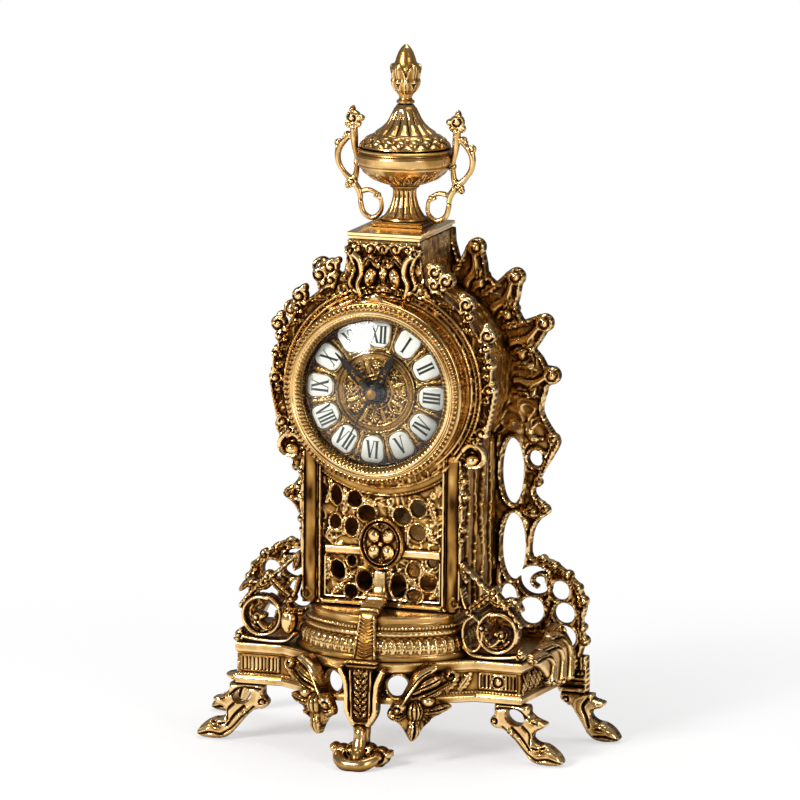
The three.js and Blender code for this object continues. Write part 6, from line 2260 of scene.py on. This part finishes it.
@dataclass
class Plinth(Casting):
    """Bowed mouldings under the case, with a row of leaves and a row of beads."""

    piece = "plinth_cast"
    stands_for = "plinth"

    centre_y: float = -7.5
    chord: float = -37.0
    back_y: float = 26.7
    radius: float = 59.5
    pitch: float = 0.66

    def profile(self) -> Run:
        """Section from the foot up and over the top to the case.

        Returns:
            The section.
        """
        low = [
            (59.5, 59.3), (59.5, 61.4), (59.1, 62.3), (58.2, 62.8), (57.7, 63.4), (57.5, 64.4), (56.9, 67.0),
            (56.6, 69.6), (56.2, 70.6), (55.2, 71.3), (55.0, 72.0), (55.6, 72.6), (56.3, 73.6), (56.3, 74.8),
            (55.7, 75.7), (54.6, 76.1),
        ]
        high = [
            (54.2, 76.6), (54.0, 78.0), (53.4, 78.8), (52.7, 79.4), (52.6, 80.2), (52.9, 81.2), (52.9, 83.0),
            (52.4, 83.8), (51.4, 84.0), (45.0, 84.0), (36.0, 84.0), (29.6, 84.0),
        ]
        return Run(np.array([*low, *high]))

    def build(self) -> Cast:
        """Builds the mouldings.

        Returns:
            The casting.
        """
        section = self.profile()
        reach = self.centre_y - self.chord
        bow = self.radius * math.acos(reach / self.radius)
        side = self.back_y - self.chord
        made = Relief((-bow - side, 0), (bow + side, section.at[-1]), self.pitch)
        made.fill()
        leaf_low, leaf_high = section.where(63.4), section.where(70.6)
        bead = 0.5 * (section.where(76.6) + section.where(78.0))
        mid = 0.5 * (leaf_low + leaf_high)
        count = 23
        for i in range(-count, count + 1):
            u = i * (bow + side) / (count + 0.5)
            made.leaf([(u, leaf_high + 0.4), (u, mid), (u, leaf_low - 0.2)], 2.5, 1.3, 4)
            made.dome(u + 2.7, mid - 0.6, 1.0, 2.4, 0.8)
        made.beads([(-bow - side, bead), (0, bead), (bow + side, bead)], 0.95, 1.0, 2.3)
        torus = 0.5 * (section.where(73.6) + section.where(74.8))
        made.ribbon([(-bow - side, torus), (0, torus), (bow + side, torus)], 1.7, 0.5, twist=3.4)

        def place(u: Array, v: Array, out: Array) -> Array:
            """Bow in front and straight sides.

            Args:
                u: Places across the sheet.
                v: Places up the sheet.
                out: Distances out of the sheet.

            Returns:
                The clock's points.
            """
            r, z = section.point(v, out)
            turn = np.clip(u / bow, -1, 1) * np.arccos(np.clip(reach / np.maximum(r, 1), -1, 1))
            past = np.maximum(np.abs(u) - bow, 0)
            edge = np.sqrt(np.maximum(r**2 - reach**2, 0))
            x = np.where(past > 0, np.sign(u) * edge, r * np.sin(turn))
            y = np.where(past > 0, self.chord + past, self.centre_y - r * np.cos(turn))
            return np.stack([x, y, z], 1)

        return made.cast(place, 2.0)


@dataclass
class BaseFrame(Casting):
    """Mouldings and panels round the base, mitred at its corners, with two pierced eyes."""

    piece = "base_cast"
    stands_for = "base_frame"

    low: float = 34.6
    high: float = 59.0
    recess: float = 2.0
    pitch: float = 0.62
    plan: tuple[Point, ...] = ((17, -68.5), (58.5, -43.5), (86, -44), (95, 26.7))

    def corners(self) -> Array:
        """Corners of the plan from the left end at the back round the front to the right one."""
        right = np.array(self.plan)
        return np.vstack([(right * [-1, 1])[::-1], right])

    def placer(self) -> tuple[Placer, Array]:
        """The sheet's mapping, and the runs of the corners from the middle of the nose.

        Returns:
            The mapping and the runs.
        """
        corners = self.corners()
        along = np.diff(corners, axis=0)
        lengths = np.hypot(*along.T)
        along /= lengths[:, None]
        normals = np.stack([along[:, 1], -along[:, 0]], 1)
        mitres = [normals[0]]
        for a, b in zip(normals[:-1], normals[1:]):
            mitres.append((a + b) / (1 + a @ b))
        mitres = np.array([*mitres, normals[-1]])
        runs = np.concatenate([[0], np.cumsum(lengths)])
        runs -= runs[-1] / 2

        def place(u: Array, v: Array, out: Array) -> Array:
            """Runs along the mitred wall.

            Args:
                u: Places across the sheet.
                v: Places up the sheet.
                out: Distances out of the sheet.

            Returns:
                The clock's points.
            """
            k = np.clip(np.searchsorted(runs, u, side="right") - 1, 0, len(lengths) - 1)
            share = ((u - runs[k]) / lengths[k])[:, None]
            off = (out - self.recess)[:, None]
            flat = (corners[k] + mitres[k] * off) * (1 - share) + (corners[k + 1] + mitres[k + 1] * off) * share
            return np.stack([flat[:, 0], flat[:, 1], v], 1)

        return place, runs

    def wall(self) -> Cast:
        """Builds the wall with its deck.

        Returns:
            The casting.
        """
        place, runs = self.placer()
        made = Relief((runs[0], self.low), (runs[-1], self.high), self.pitch)
        made.fill()
        for side in (-1, 1):
            made.cut(made.oval(side * 19.8, 45.6, 6.0, 6.2))
        z = made.v
        steps = [(34.6, 1.5), (35.2, 2.0), (38.0, 2.0), (38.8, 1.4), (39.6, 1.0), (41.0, 0.8), (41.5, 0.1), (51.9, 0.1),
                 (52.4, 0.9), (53.4, 1.1), (53.9, 1.9), (54.4, 2.1), (58.0, 2.1), (58.7, 1.9), (59.0, 1.4)]
        moulding = np.interp(z, [a for a, _ in steps], [b for _, b in steps])
        made.height = np.maximum(moulding, 0.1)
        self.ornament(made, runs)
        eyes = np.maximum(made.oval(-19.8, 45.6, 7.2, 7.4), made.oval(19.8, 45.6, 7.2, 7.4))
        made.ridge(eyes - 0.2, 0.9, 2.2)
        outline = self.corners() * [0.994, 0.994]
        return made.cast(place, 2.6).joined(prism(outline, 57.9, 58.85, 0.4))

    def ornament(self, made: Relief, runs: Array) -> None:
        """Panels of the blocks, leaves of the sides and the oblique fronts.

        Args:
            made: Relief that takes them.
            runs: Runs of the corners.
        """
        block, end = runs[5], runs[6]
        mid = 0.5 * (block + end)
        for side in (-1, 1):
            frame_knots = [(block + 2.4, 42.6), (end - 2.4, 42.6), (end - 2.4, 51), (block + 2.4, 51)]
            for a, b in zip(frame_knots, frame_knots[1:] + frame_knots[:1]):
                made.ribbon([(side * a[0], a[1]), (side * b[0], b[1])], 0.6, 1.3)
            flutes = np.linspace(block + 4.4, end - 4.4, 9)
            for u in flutes:
                if side > 0 and abs(u - mid) < 4.2:
                    continue
                made.ribbon([(side * u, 43.6), (side * u, 50)], 0.75, 1.1)
            if side > 0:
                made.ribbon(volute((mid, 46.8), (3.9, 3.9), (0, 360), 18), 0.7, 1.5)
                made.dome(mid, 46.8, 2.5, 2.5, 1.6)
            start, stop = runs[6] + 4, runs[7] - 4
            count = 7
            for i in range(count):
                u = start + (i + 0.5) * (stop - start) / count
                made.leaf([(side * (u - 4.4), 42), (side * u, 46.8), (side * (u + 4), 52.2)], 4.2, 2.6, 4)
                made.ribbon([(side * (u - 5), 51), (side * (u - 1), 45), (side * (u + 5), 42.4)], 0.8, 1.8)
            for i in range(5):
                u = runs[4] + 12 + i * 7.6
                made.leaf([(side * (u - 3), 42.4), (side * u, 46.6), (side * (u + 3.4), 51.6)], 3.4, 1.8, 4)
            made.ribbon([(side * (runs[4] + 1), 44), (side * (runs[4] + 1), 50)], 0.7, 1.2)
        made.beads([(runs[0], 40.2), (0, 40.2), (runs[-1], 40.2)], 0.65, 1.9, 1.9)

    def build(self) -> Cast:
        """Builds the base with the falls over its sides."""
        return self.wall().joined(*[SideFall(side).build() for side in (-1, 1)])


@dataclass
class FrontLeg(SidedCasting):
    """Cabriole leg with a knee leaf and a hoof."""

    piece = "front_leg_cast"
    stands_for = "front_leg"

    outline: tuple[Point, ...] = (
        (69.4, 33.4), (72, 35), (80, 35), (88.4, 35), (90.6, 33), (91.0, 29.6), (94.4, 26.8), (100.4, 24.6),
        (97.6, 21.4), (93.6, 19.2), (92.6, 15.8), (95.4, 13.4), (100.6, 12.4), (105.4, 9.6), (110.4, 3.4),
        (107.4, 1.0), (99.6, 0.4), (92.6, 1.6), (88.6, 5.2), (84.2, 10.4), (79.6, 15.6), (74.6, 19.4), (69.4, 20.4),
        (66.6, 24.2), (69.2, 28.4),
    )

    def right(self) -> Cast:
        """Builds the right leg.

        Returns:
            The casting.
        """
        made = Relief((64, 0), (111, 34.2), 0.45)
        made.pillow(self.outline, 4.4, 3.4)
        made.cut(made.oval(82.0, 27.4, 5.6, 4.2, -24))
        made.leaf([(88.4, 30), (92.4, 25.6), (99.6, 23.8)], 3.0, 5.6, 3)
        made.leaf([(74, 24), (80.6, 18.2), (87.6, 12.2)], 2.8, 5.8, 5)
        made.leaf([(91, 5.4), (98.4, 8.6), (109, 4.4)], 4.4, 6.0, 2)
        made.carve([(95.6, 3.6), (101.6, 4.4), (108.6, 2.6)], 0.6, 1.6)
        made.carve([(92.6, 10.6), (96.6, 9.8), (100, 11.4)], 0.6, 1.2)
        made.carve([(87, 22.6), (90.6, 18.6), (90.8, 12.6)], 0.7, 1.2)
        made.carve([(71, 32), (76, 32.6), (84, 31.8), (89, 28)], 0.7, 1.5)
        made.carve([(75, 21.4), (82, 15), (89, 7.4), (95, 3.4)], 0.8, 1.6)
        made.carve([(80.6, 21.6), (86, 16.4), (91, 9.4)], 0.7, 1.4)
        made.bud(70.2, 24.4, 2.8, 5.2, 200)
        return made.cast(upright(-40.4), 3.2, back=0.7)


@dataclass
class BackLeg(SidedCasting):
    """Leg under the pillar of the back plate."""

    piece = "back_leg_cast"
    stands_for = "back_leg"

    outline: tuple[Point, ...] = (
        (90.2, 28.4), (99, 28.6), (108.4, 28.4), (109.6, 25.4), (115.8, 23.4), (113.8, 20.2), (108.8, 18.4),
        (108.4, 14.8), (112.4, 12.0), (118, 10.6), (122.4, 7.2), (125.2, 2.8), (122, 0.8), (114, 0.3), (108.4, 2.0),
        (104.4, 6.6), (100.8, 12.4), (97.6, 17.8), (93.4, 22.0), (89.4, 23.6),
    )

    def right(self) -> Cast:
        """Builds the right leg.

        Returns:
            The casting.
        """
        made = Relief((87, 0), (126, 27.6), 0.45)
        made.pillow(self.outline, 4.4, 3.4)
        made.bud(93.4, 24.4, 2.8, 5.0, 180)
        made.ribbon([(104.6, 27), (99.6, 24.6), (98.8, 19.4), (102.8, 13.4)], (1.2, 1.0), 5.8, hollow=0.2)
        made.carve([(106.4, 25.6), (103.4, 20.6), (105.6, 14.8), (107, 9.4)], 0.8, 1.8)
        made.leaf([(107, 24.4), (110.6, 22.2), (115, 22.4)], 2.4, 5.2, 3)
        made.leaf([(106.6, 6), (113, 8), (123.6, 3.8)], 4.2, 6.0, 2)
        made.carve([(110.4, 3.4), (116.4, 3.8), (123.4, 2.2)], 0.6, 1.6)
        return made.cast(upright(26.6), 3.4, back=0.7)


@dataclass
class CentreLeg(Casting):
    """Pilaster with a chain of leaves and a scrolled foot in front."""

    piece = "centre_leg_cast"
    stands_for = "centre_leg"

    front_y: float = -73.4

    def shaft(self) -> Cast:
        """The pilaster with its chain of husks and the scrolls beside its foot.

        Returns:
            The casting.
        """
        made = Relief((-18, 0), (18, 61), 0.45)
        half = [(4.6, 8), (4.2, 15), (4.8, 23), (6.2, 27), (7.2, 55.6), (9.0, 57.4), (9.2, 60.8)]
        made.add(made.polygon(both_sides(half)))
        for side in (-1, 1):
            bow = smooth([(side * 4.4, 24), (side * 8.2, 31), (side * 8.6, 40), (side * 9.4, 48), (side * 12.4, 55)])
            made.add(1.7 - np.abs(nearest(bow, made.u, made.v)[0]))
            made.ribbon(bow, 1.6, 2.8, hollow=0.3)
            made.bud(side * 11.4, 5.8, 5.4, 5.2, 90 + side * 60)
            made.bud(side * 4.8, 8.4, 4.4, 5.0, 90 - side * 60)
        made.cut(-made.v)
        made.swell(1.6, 0.8)
        for i in range(7):
            z = 27.4 + i * 3.9
            for side in (-1, 1):
                made.leaf([(0, z), (side * 1.8, z + 1.8), (side * 4.0, z + 4.6)], 1.5, 3.2, 2)
            made.dome(0, z + 3.2, 0.9, 1.3, 3.2)
        for side in (-1, 1):
            made.ribbon([(side * 5.2, 25), (side * 5.6, 40), (side * 6.2, 55)], 0.8, 3.2)
            for x in (1.2, 3.6):
                made.ribbon([(side * x, 55.4), (side * x * 1.1, 53)], 0.6, 2.4)
        for z, half_width in ((24.6, 5.6), (57.4, 8.6), (59.8, 8.8)):
            made.ribbon([(-half_width, z), (0, z), (half_width, z)], 0.9, 2.6)
        made.carve([(0.2, 22), (0, 17), (0.2, 12)], 0.8, 1.0)
        return made.cast(upright(self.front_y), 4.0)

    def toe(self) -> Cast:
        """The foot in front, flat below.

        Returns:
            The casting.
        """
        shin = tube([(0, -75, 23.6), (0, -76.8, 14), (0, -79.8, 8), (0, -86.4, 5.0)], (3.6, 3.4, 4.2, 2.6), 20)
        right = [(5.6, -88.6, 3.6), (10.4, -84, 6), (11.4, -79, 9.4)]
        crescent = [*[(-x, y, z) for x, y, z in reversed(right)], (0, -89.6, 3.2), *right]
        made = shin.joined(tube(crescent, (1.6, 3.2, 3.6, 3.2, 3.6, 3.2, 1.6), 18, flat=0.8))
        made.points[:, 2] = np.maximum(made.points[:, 2], 0.02)
        made.points[:, 1] = np.maximum(made.points[:, 1], -93)
        return made

    def build(self) -> Cast:
        """Builds the leg."""
        return self.shaft().joined(self.toe())


@dataclass
class Clasp(Casting):
    """Ringed strap that bends from the medallion over the plinth to the centre leg."""

    piece = "clasp_cast"
    stands_for = "clasp"

    widths: tuple[Point, ...] = ((0, 7.2), (0.12, 6.4), (0.42, 5.0), (0.47, 5.5), (0.76, 5.4), (0.8, 3.5), (1, 3.3))

    def build(self) -> Cast:
        """Builds the strap.

        Returns:
            The casting.
        """
        line = Run(smooth([
            (-68.8, 59.6), (-67.8, 63.6), (-66.8, 68.4), (-66.2, 71.6), (-64.8, 75), (-64.1, 80), (-63.0, 84.6),
            (-60, 87.2), (-54, 88.4), (-48.4, 89.6), (-44.4, 92.2), (-42.2, 96), (-41.4, 101), (-41.0, 105.6),
        ]))
        end = line.at[-1]
        made = Relief((-8.4, 0), (8.4, end), 0.42)
        share = made.v / end
        rings = np.where((share > 0.46) & (share < 0.77), 0.5 + 0.5 * np.cos(TAU * made.v / 3.6), 0)
        wide = np.interp(share, *np.transpose(self.widths)) + 0.6 * rings
        made.add(wide - np.abs(made.u))
        made.height = 1.1 * np.sqrt(1 - np.clip(np.abs(made.u) / wide, 0, 1) ** 4) + 1.2 * rings
        strap = 0.42 * end
        for edge in (-1, 1):
            made.ribbon([(edge * 6.2, 1), (edge * 5.2, 0.5 * strap), (edge * 4.2, strap)], 0.8, 2.0)
        for at in np.arange(2.4, strap - 1, 2.1):
            made.ribbon([(-4, at + 1.3), (0, at - 0.4), (4, at + 1.3)], 0.5, 1.9)

        def place(u: Array, v: Array, out: Array) -> Array:
            """Bends the strap along its line."""
            y, z = line.point(v, -out)
            return np.stack([u, y, z], 1)

        return made.cast(place, 1.3)


@dataclass
class ApronDrop(SidedCasting):
    """Acanthus drop with its scroll, cup and shell leaf on an oblique front."""

    piece = "apron_cast"
    stands_for = "apron_drop"

    corner: Point = (17.0, -68.8)
    top: float = 53.0
    turn: float = math.atan2(25, 41.5)
    outline: tuple[Point, ...] = (
        (-2.6, -20), (3.4, -14.4), (8, -7), (12.6, 1.4), (19, 6.4), (25, 5.6), (23, 1.0), (26, -0.6), (31.4, 1.6),
        (35.6, 0.6), (35.4, -5), (29.6, -9.4), (24.6, -14.6), (33.8, -18.6), (28, -22.8), (21, -26.4),
        (16.4, -31.6), (10.6, -38.6), (6.6, -32.6), (2.4, -27.4), (-2.8, -24.6),
    )

    def right(self) -> Cast:
        """Builds the right drop.

        Returns:
            The casting.
        """
        made = Relief((-6, -39.4), (36.8, 9.4), 0.42)
        made.pillow(self.outline, 1.5, 2.0)
        made.shade += 0.12
        made.chase(3.6, 1.6, seed=44)
        made.sprig([(11, -9.6), (19, -5.6), (27.6, -2.4)], 4.2, 5.2, 1)
        made.sprig([(15, -13.6), (24, -9.4), (33.4, -4.6)], 3.4, 4.6, 2)
        made.carve([(11, -12.4), (21, -8.6), (31, -4.6)], 0.7, 1.8)
        made.branch(volute((32.2, -0.8), (3.2, 0.9), (-60, 330), 14), (1.3, 0.8), 5.2)
        made.ribbon([(23.4, 4.0), (15.6, 0.6), (9.6, -6), (3.0, -15)], (2.4, 3.2), (4.8, 6.2))
        made.carve([(20.4, 2.6), (14, -1), (8.4, -7.6), (4.4, -13)], 0.6, 1.4)
        made.leaf([(11.6, -25), (11.4, -32), (10.6, -38)], 5.2, 5.0, 1)
        made.leaf([(17, -21.6), (24, -20.6), (32.6, -18.8)], 3.4, 4.8, 1)
        made.leaf([(7, -22), (2, -24), (-2, -23)], 2.8, 4.4, 1)
        made.leaf([(17, -24), (20, -27.6), (18.4, -30.6)], 2.8, 4.6, 1)
        made.dome(3.0, -17.6, 4.4, 3.6, 5.8)
        made.dome(19.4, -15.4, 4.6, 3.4, 5.6)
        made.dome(11.8, -20.8, 5.2, 6.4, 6.8)
        for drift in (-2.6, 0.0, 2.6):
            made.carve([(11.8 + 0.5 * drift, -15.6), (11.8 + drift, -20.6), (11.8 + 0.6 * drift, -26)], 0.45, 1.4)
        made.carve([(11.4, -28), (11.2, -32), (10.8, -36)], 0.5, 1.2)
        made.bud(1.0, -19.4, 2.8, 6.2, 230)
        return made.cast(self.place, 2.4, back=0.1)

    def place(self, u: Array, v: Array, out: Array) -> Array:
        """Places the sheet in front of the oblique wall.

        Args:
            u: Places across the sheet.
            v: Places up the sheet.
            out: Distances out of the sheet.

        Returns:
            The clock's points.
        """
        c, s = math.cos(self.turn), math.sin(self.turn)
        off = 3.4 + out
        return np.stack([self.corner[0] + u * c + off * s, self.corner[1] + u * s - off * c, self.top + v], 1)


@dataclass
class ScrollBracket(SidedCasting):
    """Openwork scroll beside the case: pendant, ring with a bud and branches up to the wall."""

    piece = "bracket_cast"
    stands_for = "scroll_bracket"

    ring: Point = (70.9, 76.2)

    def right(self) -> Cast:
        """Builds the bracket as it stands on the right; the two sides differ in their ring.

        Returns:
            The casting.
        """
        made = Relief((46.6, 58.6), (88, 115), 0.46)
        x, z = self.ring
        rope = [(83.8, 80), (79.4, 86), (74, 92), (69.6, 96.6), (62, 101.2), (56, 106.6), (49, 113.4)]
        made.branch(rope, (1.5, 1.1), 3.4, twist=5.0)
        made.sprig([(51.6, 103.6), (50.2, 108.6), (48.4, 114)], 2.2, 3.8)
        made.sprig([(66.4, 98), (60, 92.4), (52.4, 86.6)], 3.2, 4.6, 5)
        made.sprig([(65, 95.4), (70.6, 92.2), (77.6, 91.4)], 2.8, 4.2, 4)
        made.sprig([(74, 94), (80, 93.4), (85, 88.4)], 2.4, 3.8)
        made.branch([(52.6, 87), (50.4, 92), (48.8, 99)], 1.1, 3.2)
        made.bud(67.6, 98.6, 3.0, 4.6, 60)
        made.bud(53.2, 86.4, 2.6, 4.4, 200)
        made.branch(volute((x, z - 0.6), (11.8, 10.6), (110, 470), 30), (1.3, 1.5), 4.0)
        made.sprig(volute((x, z - 0.6), (9.2, 8.0), (165, 325), 12), 2.4, 4.4, 6)
        made.branch([(x - 3.4, z - 8.6), (x - 0.6, z - 6.6), (x + 2.4, z - 3.4)], 1.3, 4.2)
        made.bud(x + 2.6, z - 1.8, 3.4, 5.2, 60)
        made.branch([(51, 66), (55.6, 61.8), (64, 60.8), (74, 61.2), (85.6, 62.8)], 1.4, 3.2)
        made.bud(84.6, 63, 2.8, 4.2, 0)
        if self.side > 0:
            top = (56.4, 84.4)
            loop = [top, (51.8, 80.6), (50.4, 73), (53, 65.4), (58.4, 64.6), (61.6, 71), (60.6, 80), top]
            made.branch(loop, 1.2, 3.8)
            made.bud(61.6, 77.6, 2.8, 4.8, 120)
        else:
            made.add(made.oval(55, 73.2, 4.8, 8.2))
            made.dome(55, 73.2, 4.6, 8.0, 5.4)
            for tip in ((50, 81), (55, 84.6), (60.6, 80.6)):
                made.sprig([(55, 76.4), (0.5 * (55 + tip[0]), 79.6), tip], 2.8, 5.6)
        made.cut(59.35 - made.v)
        return made.cast(upright(-40.4), 3.4, back=0.8)


@dataclass
class SideFall(SidedCasting):
    """Acanthus that falls over the side of the base between the block and the pillar."""

    heads: tuple[Spot, ...] = (
        (-31.6, 58.4, 2.6), (19.6, 66.4, 3.2), (-10, 41.4, 2.8), (3.4, 39.6, 2.8), (16.6, 39.6, 3.0),
    )
    outline: tuple[Point, ...] = (
        (-35, 60), (-20, 62), (-4, 64.6), (8, 68.6), (20, 69.8), (25, 64), (25.6, 52), (24, 40), (18, 36.2),
        (12, 38.4), (6, 36.4), (-1, 39.6), (-8, 38.6), (-14, 46), (-22, 52), (-33, 56.4),
    )

    def right(self) -> Cast:
        """Builds the right fall.

        Returns:
            The casting.
        """
        made = Relief((-38, 33), (27, 72), 0.55)
        made.pillow(self.outline, 2.0, 3.0)
        for knots in (
            ((-30, 58.6), (-14, 58.6), (-6, 52), (-9.6, 42)),
            ((-16, 61.6), (2, 60.6), (8, 52), (3.6, 40)),
            ((2, 65.6), (14, 63.6), (19, 53), (15.6, 40)),
        ):
            made.ribbon(knots, (2.2, 3.4), (3.0, 4.8))
            made.carve([(u + 3.6, v - 2.0) for u, v in knots], 0.7, 1.5)
            made.carve(knots, 0.4, 0.8)
        for u, v, radius in self.heads:
            made.bud(u, v, radius, 4.4, -60)

        def place(u: Array, v: Array, out: Array) -> Array:
            """Follows the side of the base and bends in over its deck."""
            across = 86.6 + 0.125 * (u + 38) + 0.1 * np.clip(59 - v, 0, 20) - 0.5 * np.clip(v - 58, 0, 20)
            return np.stack([across + out, u, v], 1)

        return made.cast(place, 1.6)


class Fittings:
    """CAD pieces that keep their shape: slab, movement, cell, rod and screws."""

    @staticmethod
    def dress() -> None:
        """Gives each its finish and its edges."""
        dress("abacus", BRASS_TURNED, 0.5, 3)
        dress("movement_housing", PLASTIC, 0.5)
        dress("movement_cover", PLASTIC, 0.4)
        dress("set_knob", PLASTIC, 0.3)
        dress("battery", SLEEVE, 0.4)
        dress("tie_rod", STEEL, 0.2)
        dress("rod_nut", STEEL, 0.3)
        for side in ("left", "right"):
            for i in (1, 2):
                dress(f"case_screw_{side}_{i}", STEEL, 0.15)


# Studio


@dataclass
class Studio:
    """Plain pale floor, soft light and the camera.

    Attributes:
        azimuth: Where the camera stands round the clock, in degrees.
        elevation: How high it stands, in degrees.
        roll: How far it is turned about its view, in degrees.
        distance: From its target, in mm.
        target_z: Height it looks at, in mm.
        lens: Focal length in mm.
        film: Width of its film in mm.
        shift: Offset of the picture as a share of its width.
        lamps: Name, place and size in metres, power in watts and colour of each.
    """

    azimuth: float = 17.5
    elevation: float = 10.1
    roll: float = 0.5
    distance: float = 3240.0
    target_z: float = 202.5
    lens: float = 253.8
    film: float = 36.0
    shift: Point = (-0.00375, -0.00875)
    lamps: tuple[tuple[str, Spot, Point, float, str], ...] = (
        ("key", (-1.25, -2.3, 1.5), (0.8, 0.8), 84, "#FFFFFF"),
        ("fill", (2.2, -1.6, 1.0), (0.5, 1.4), 18, "#FFFDF8"),
        ("top", (0.2, 0.4, 2.4), (1.6, 1.2), 22, "#FFFFFF"),
    )

    def camera(self) -> None:
        """Sets the camera at the photograph's angle."""
        a, e = math.radians(self.azimuth), math.radians(self.elevation)
        back = Vector((math.sin(a) * math.cos(e), -math.cos(a) * math.cos(e), math.sin(e)))
        target = Vector((0, Clock.axis_y, self.target_z)) / MM
        data = bpy.data.cameras.new("camera")
        data.lens, data.sensor_width = self.lens, self.film
        data.shift_x, data.shift_y = self.shift
        data.clip_end = 50
        eye = bpy.data.objects.new("camera", data)
        bpy.context.scene.collection.objects.link(eye)
        eye.location = target + back * self.distance / MM
        eye.rotation_euler = (
            back.to_track_quat("Z", "Y") @ Quaternion((0, 0, 1), math.radians(self.roll))
        ).to_euler()
        bpy.context.scene.camera = eye

    def floor(self) -> None:
        """Lays a matt floor far past the picture; to the camera it fades into the white round it."""
        mesh = bpy.data.meshes.new("floor")
        size = 14.0
        mesh.from_pydata([(-size, -size, 0), (size, -size, 0), (size, size, 0), (-size, size, 0)], [], [(0, 1, 2, 3)])
        paint = Paint("paper_matt_white")
        fibre = paint.add("TexNoise", Vector=paint.at, Scale=300.0, Detail=3.0).outputs["Fac"]
        colour = paint.ramp(fibre, [(0.3, "#FBFBFB"), (0.7, "#FFFFFF")])
        paper = paint.add("BsdfPrincipled", Base_Color=colour, Roughness=0.9).outputs[0]
        glow = paint.add("Emission", Color=linear("#FFFFFF"), Strength=1.0).outputs[0]
        away = paint.add("VectorMath", {"operation": "LENGTH"}, in_0=paint.at).outputs["Value"]
        share = paint.add("MapRange", Value=away, From_Min=0.1, From_Max=0.5, To_Min=0.55, To_Max=1.0).outputs[0]
        share = paint.maths("MULTIPLY", share, paint.add("LightPath").outputs["Is Camera Ray"])
        mesh.materials.append(paint.done(paint.add("MixShader", in_0=share, in_1=paper, in_2=glow)))
        sheet = bpy.data.objects.new("floor", mesh)
        bpy.context.scene.collection.objects.link(sheet)

    def lamp(self, name: str, place: Spot, size: Point, power: float, colour: str) -> None:
        """Adds an area lamp that points at the clock.

        Args:
            name: Its name.
            place: Where it stands, in metres.
            size: Its width and height in metres.
            power: Its power in watts.
            colour: Its colour.
        """
        data = bpy.data.lights.new(name, "AREA")
        data.shape, data.size, data.size_y = "RECTANGLE", *size
        data.energy, data.color = power, linear(colour)[:3]
        made = bpy.data.objects.new(name, data)
        made.location = place
        aim = Vector((0, 0, 0.2)) - Vector(place)
        made.rotation_euler = aim.to_track_quat("-Z", "Y").to_euler()
        bpy.context.scene.collection.objects.link(made)

    def world(self) -> None:
        """Soft grey surroundings, white where the camera looks straight at them."""
        world = bpy.data.worlds.new("studio")
        bpy.context.scene.world = world
        world.use_nodes = True
        tree = world.node_tree
        tree.nodes.clear()
        out = node(tree, "OutputWorld")
        grey = node(tree, "Background", Color=linear("#B9BABC"), Strength=0.45)
        white = node(tree, "Background", Color=linear("#FFFFFF"), Strength=1.0)
        seen = node(tree, "LightPath").outputs["Is Camera Ray"]
        mixed = node(tree, "MixShader", in_0=seen, in_1=grey.outputs[0], in_2=white.outputs[0])
        tree.links.new(mixed.outputs[0], out.inputs["Surface"])

    def build(self) -> None:
        """Sets up the studio."""
        self.camera()
        self.floor()
        self.world()
        for name, place, size, watts, colour in self.lamps:
            self.lamp(name, place, size, watts, colour)
        scene = bpy.context.scene
        scene.view_settings.view_transform = "Standard"
        scene.render.film_transparent = False


def main() -> None:
    """Builds the pieces in order and then sets up the studio."""
    logging.basicConfig(level=logging.INFO, format="%(name)s: %(message)s")
    pieces = [
        FrontPlate(), GrillePanel(), Medallion(), DialRings(), Dial(), Hands(), Urn(), CaseShell(), BackPlate(),
        Plinth(), BaseFrame(), CentreLeg(), Clasp(), Fittings(),
        *[kind(side) for kind in (Handle, FrontLeg, BackLeg, ApronDrop, ScrollBracket) for side in (-1, 1)],
    ]
    for piece in pieces:
        piece.dress()
    Studio().build()


if __name__ == "__main__":
    main()
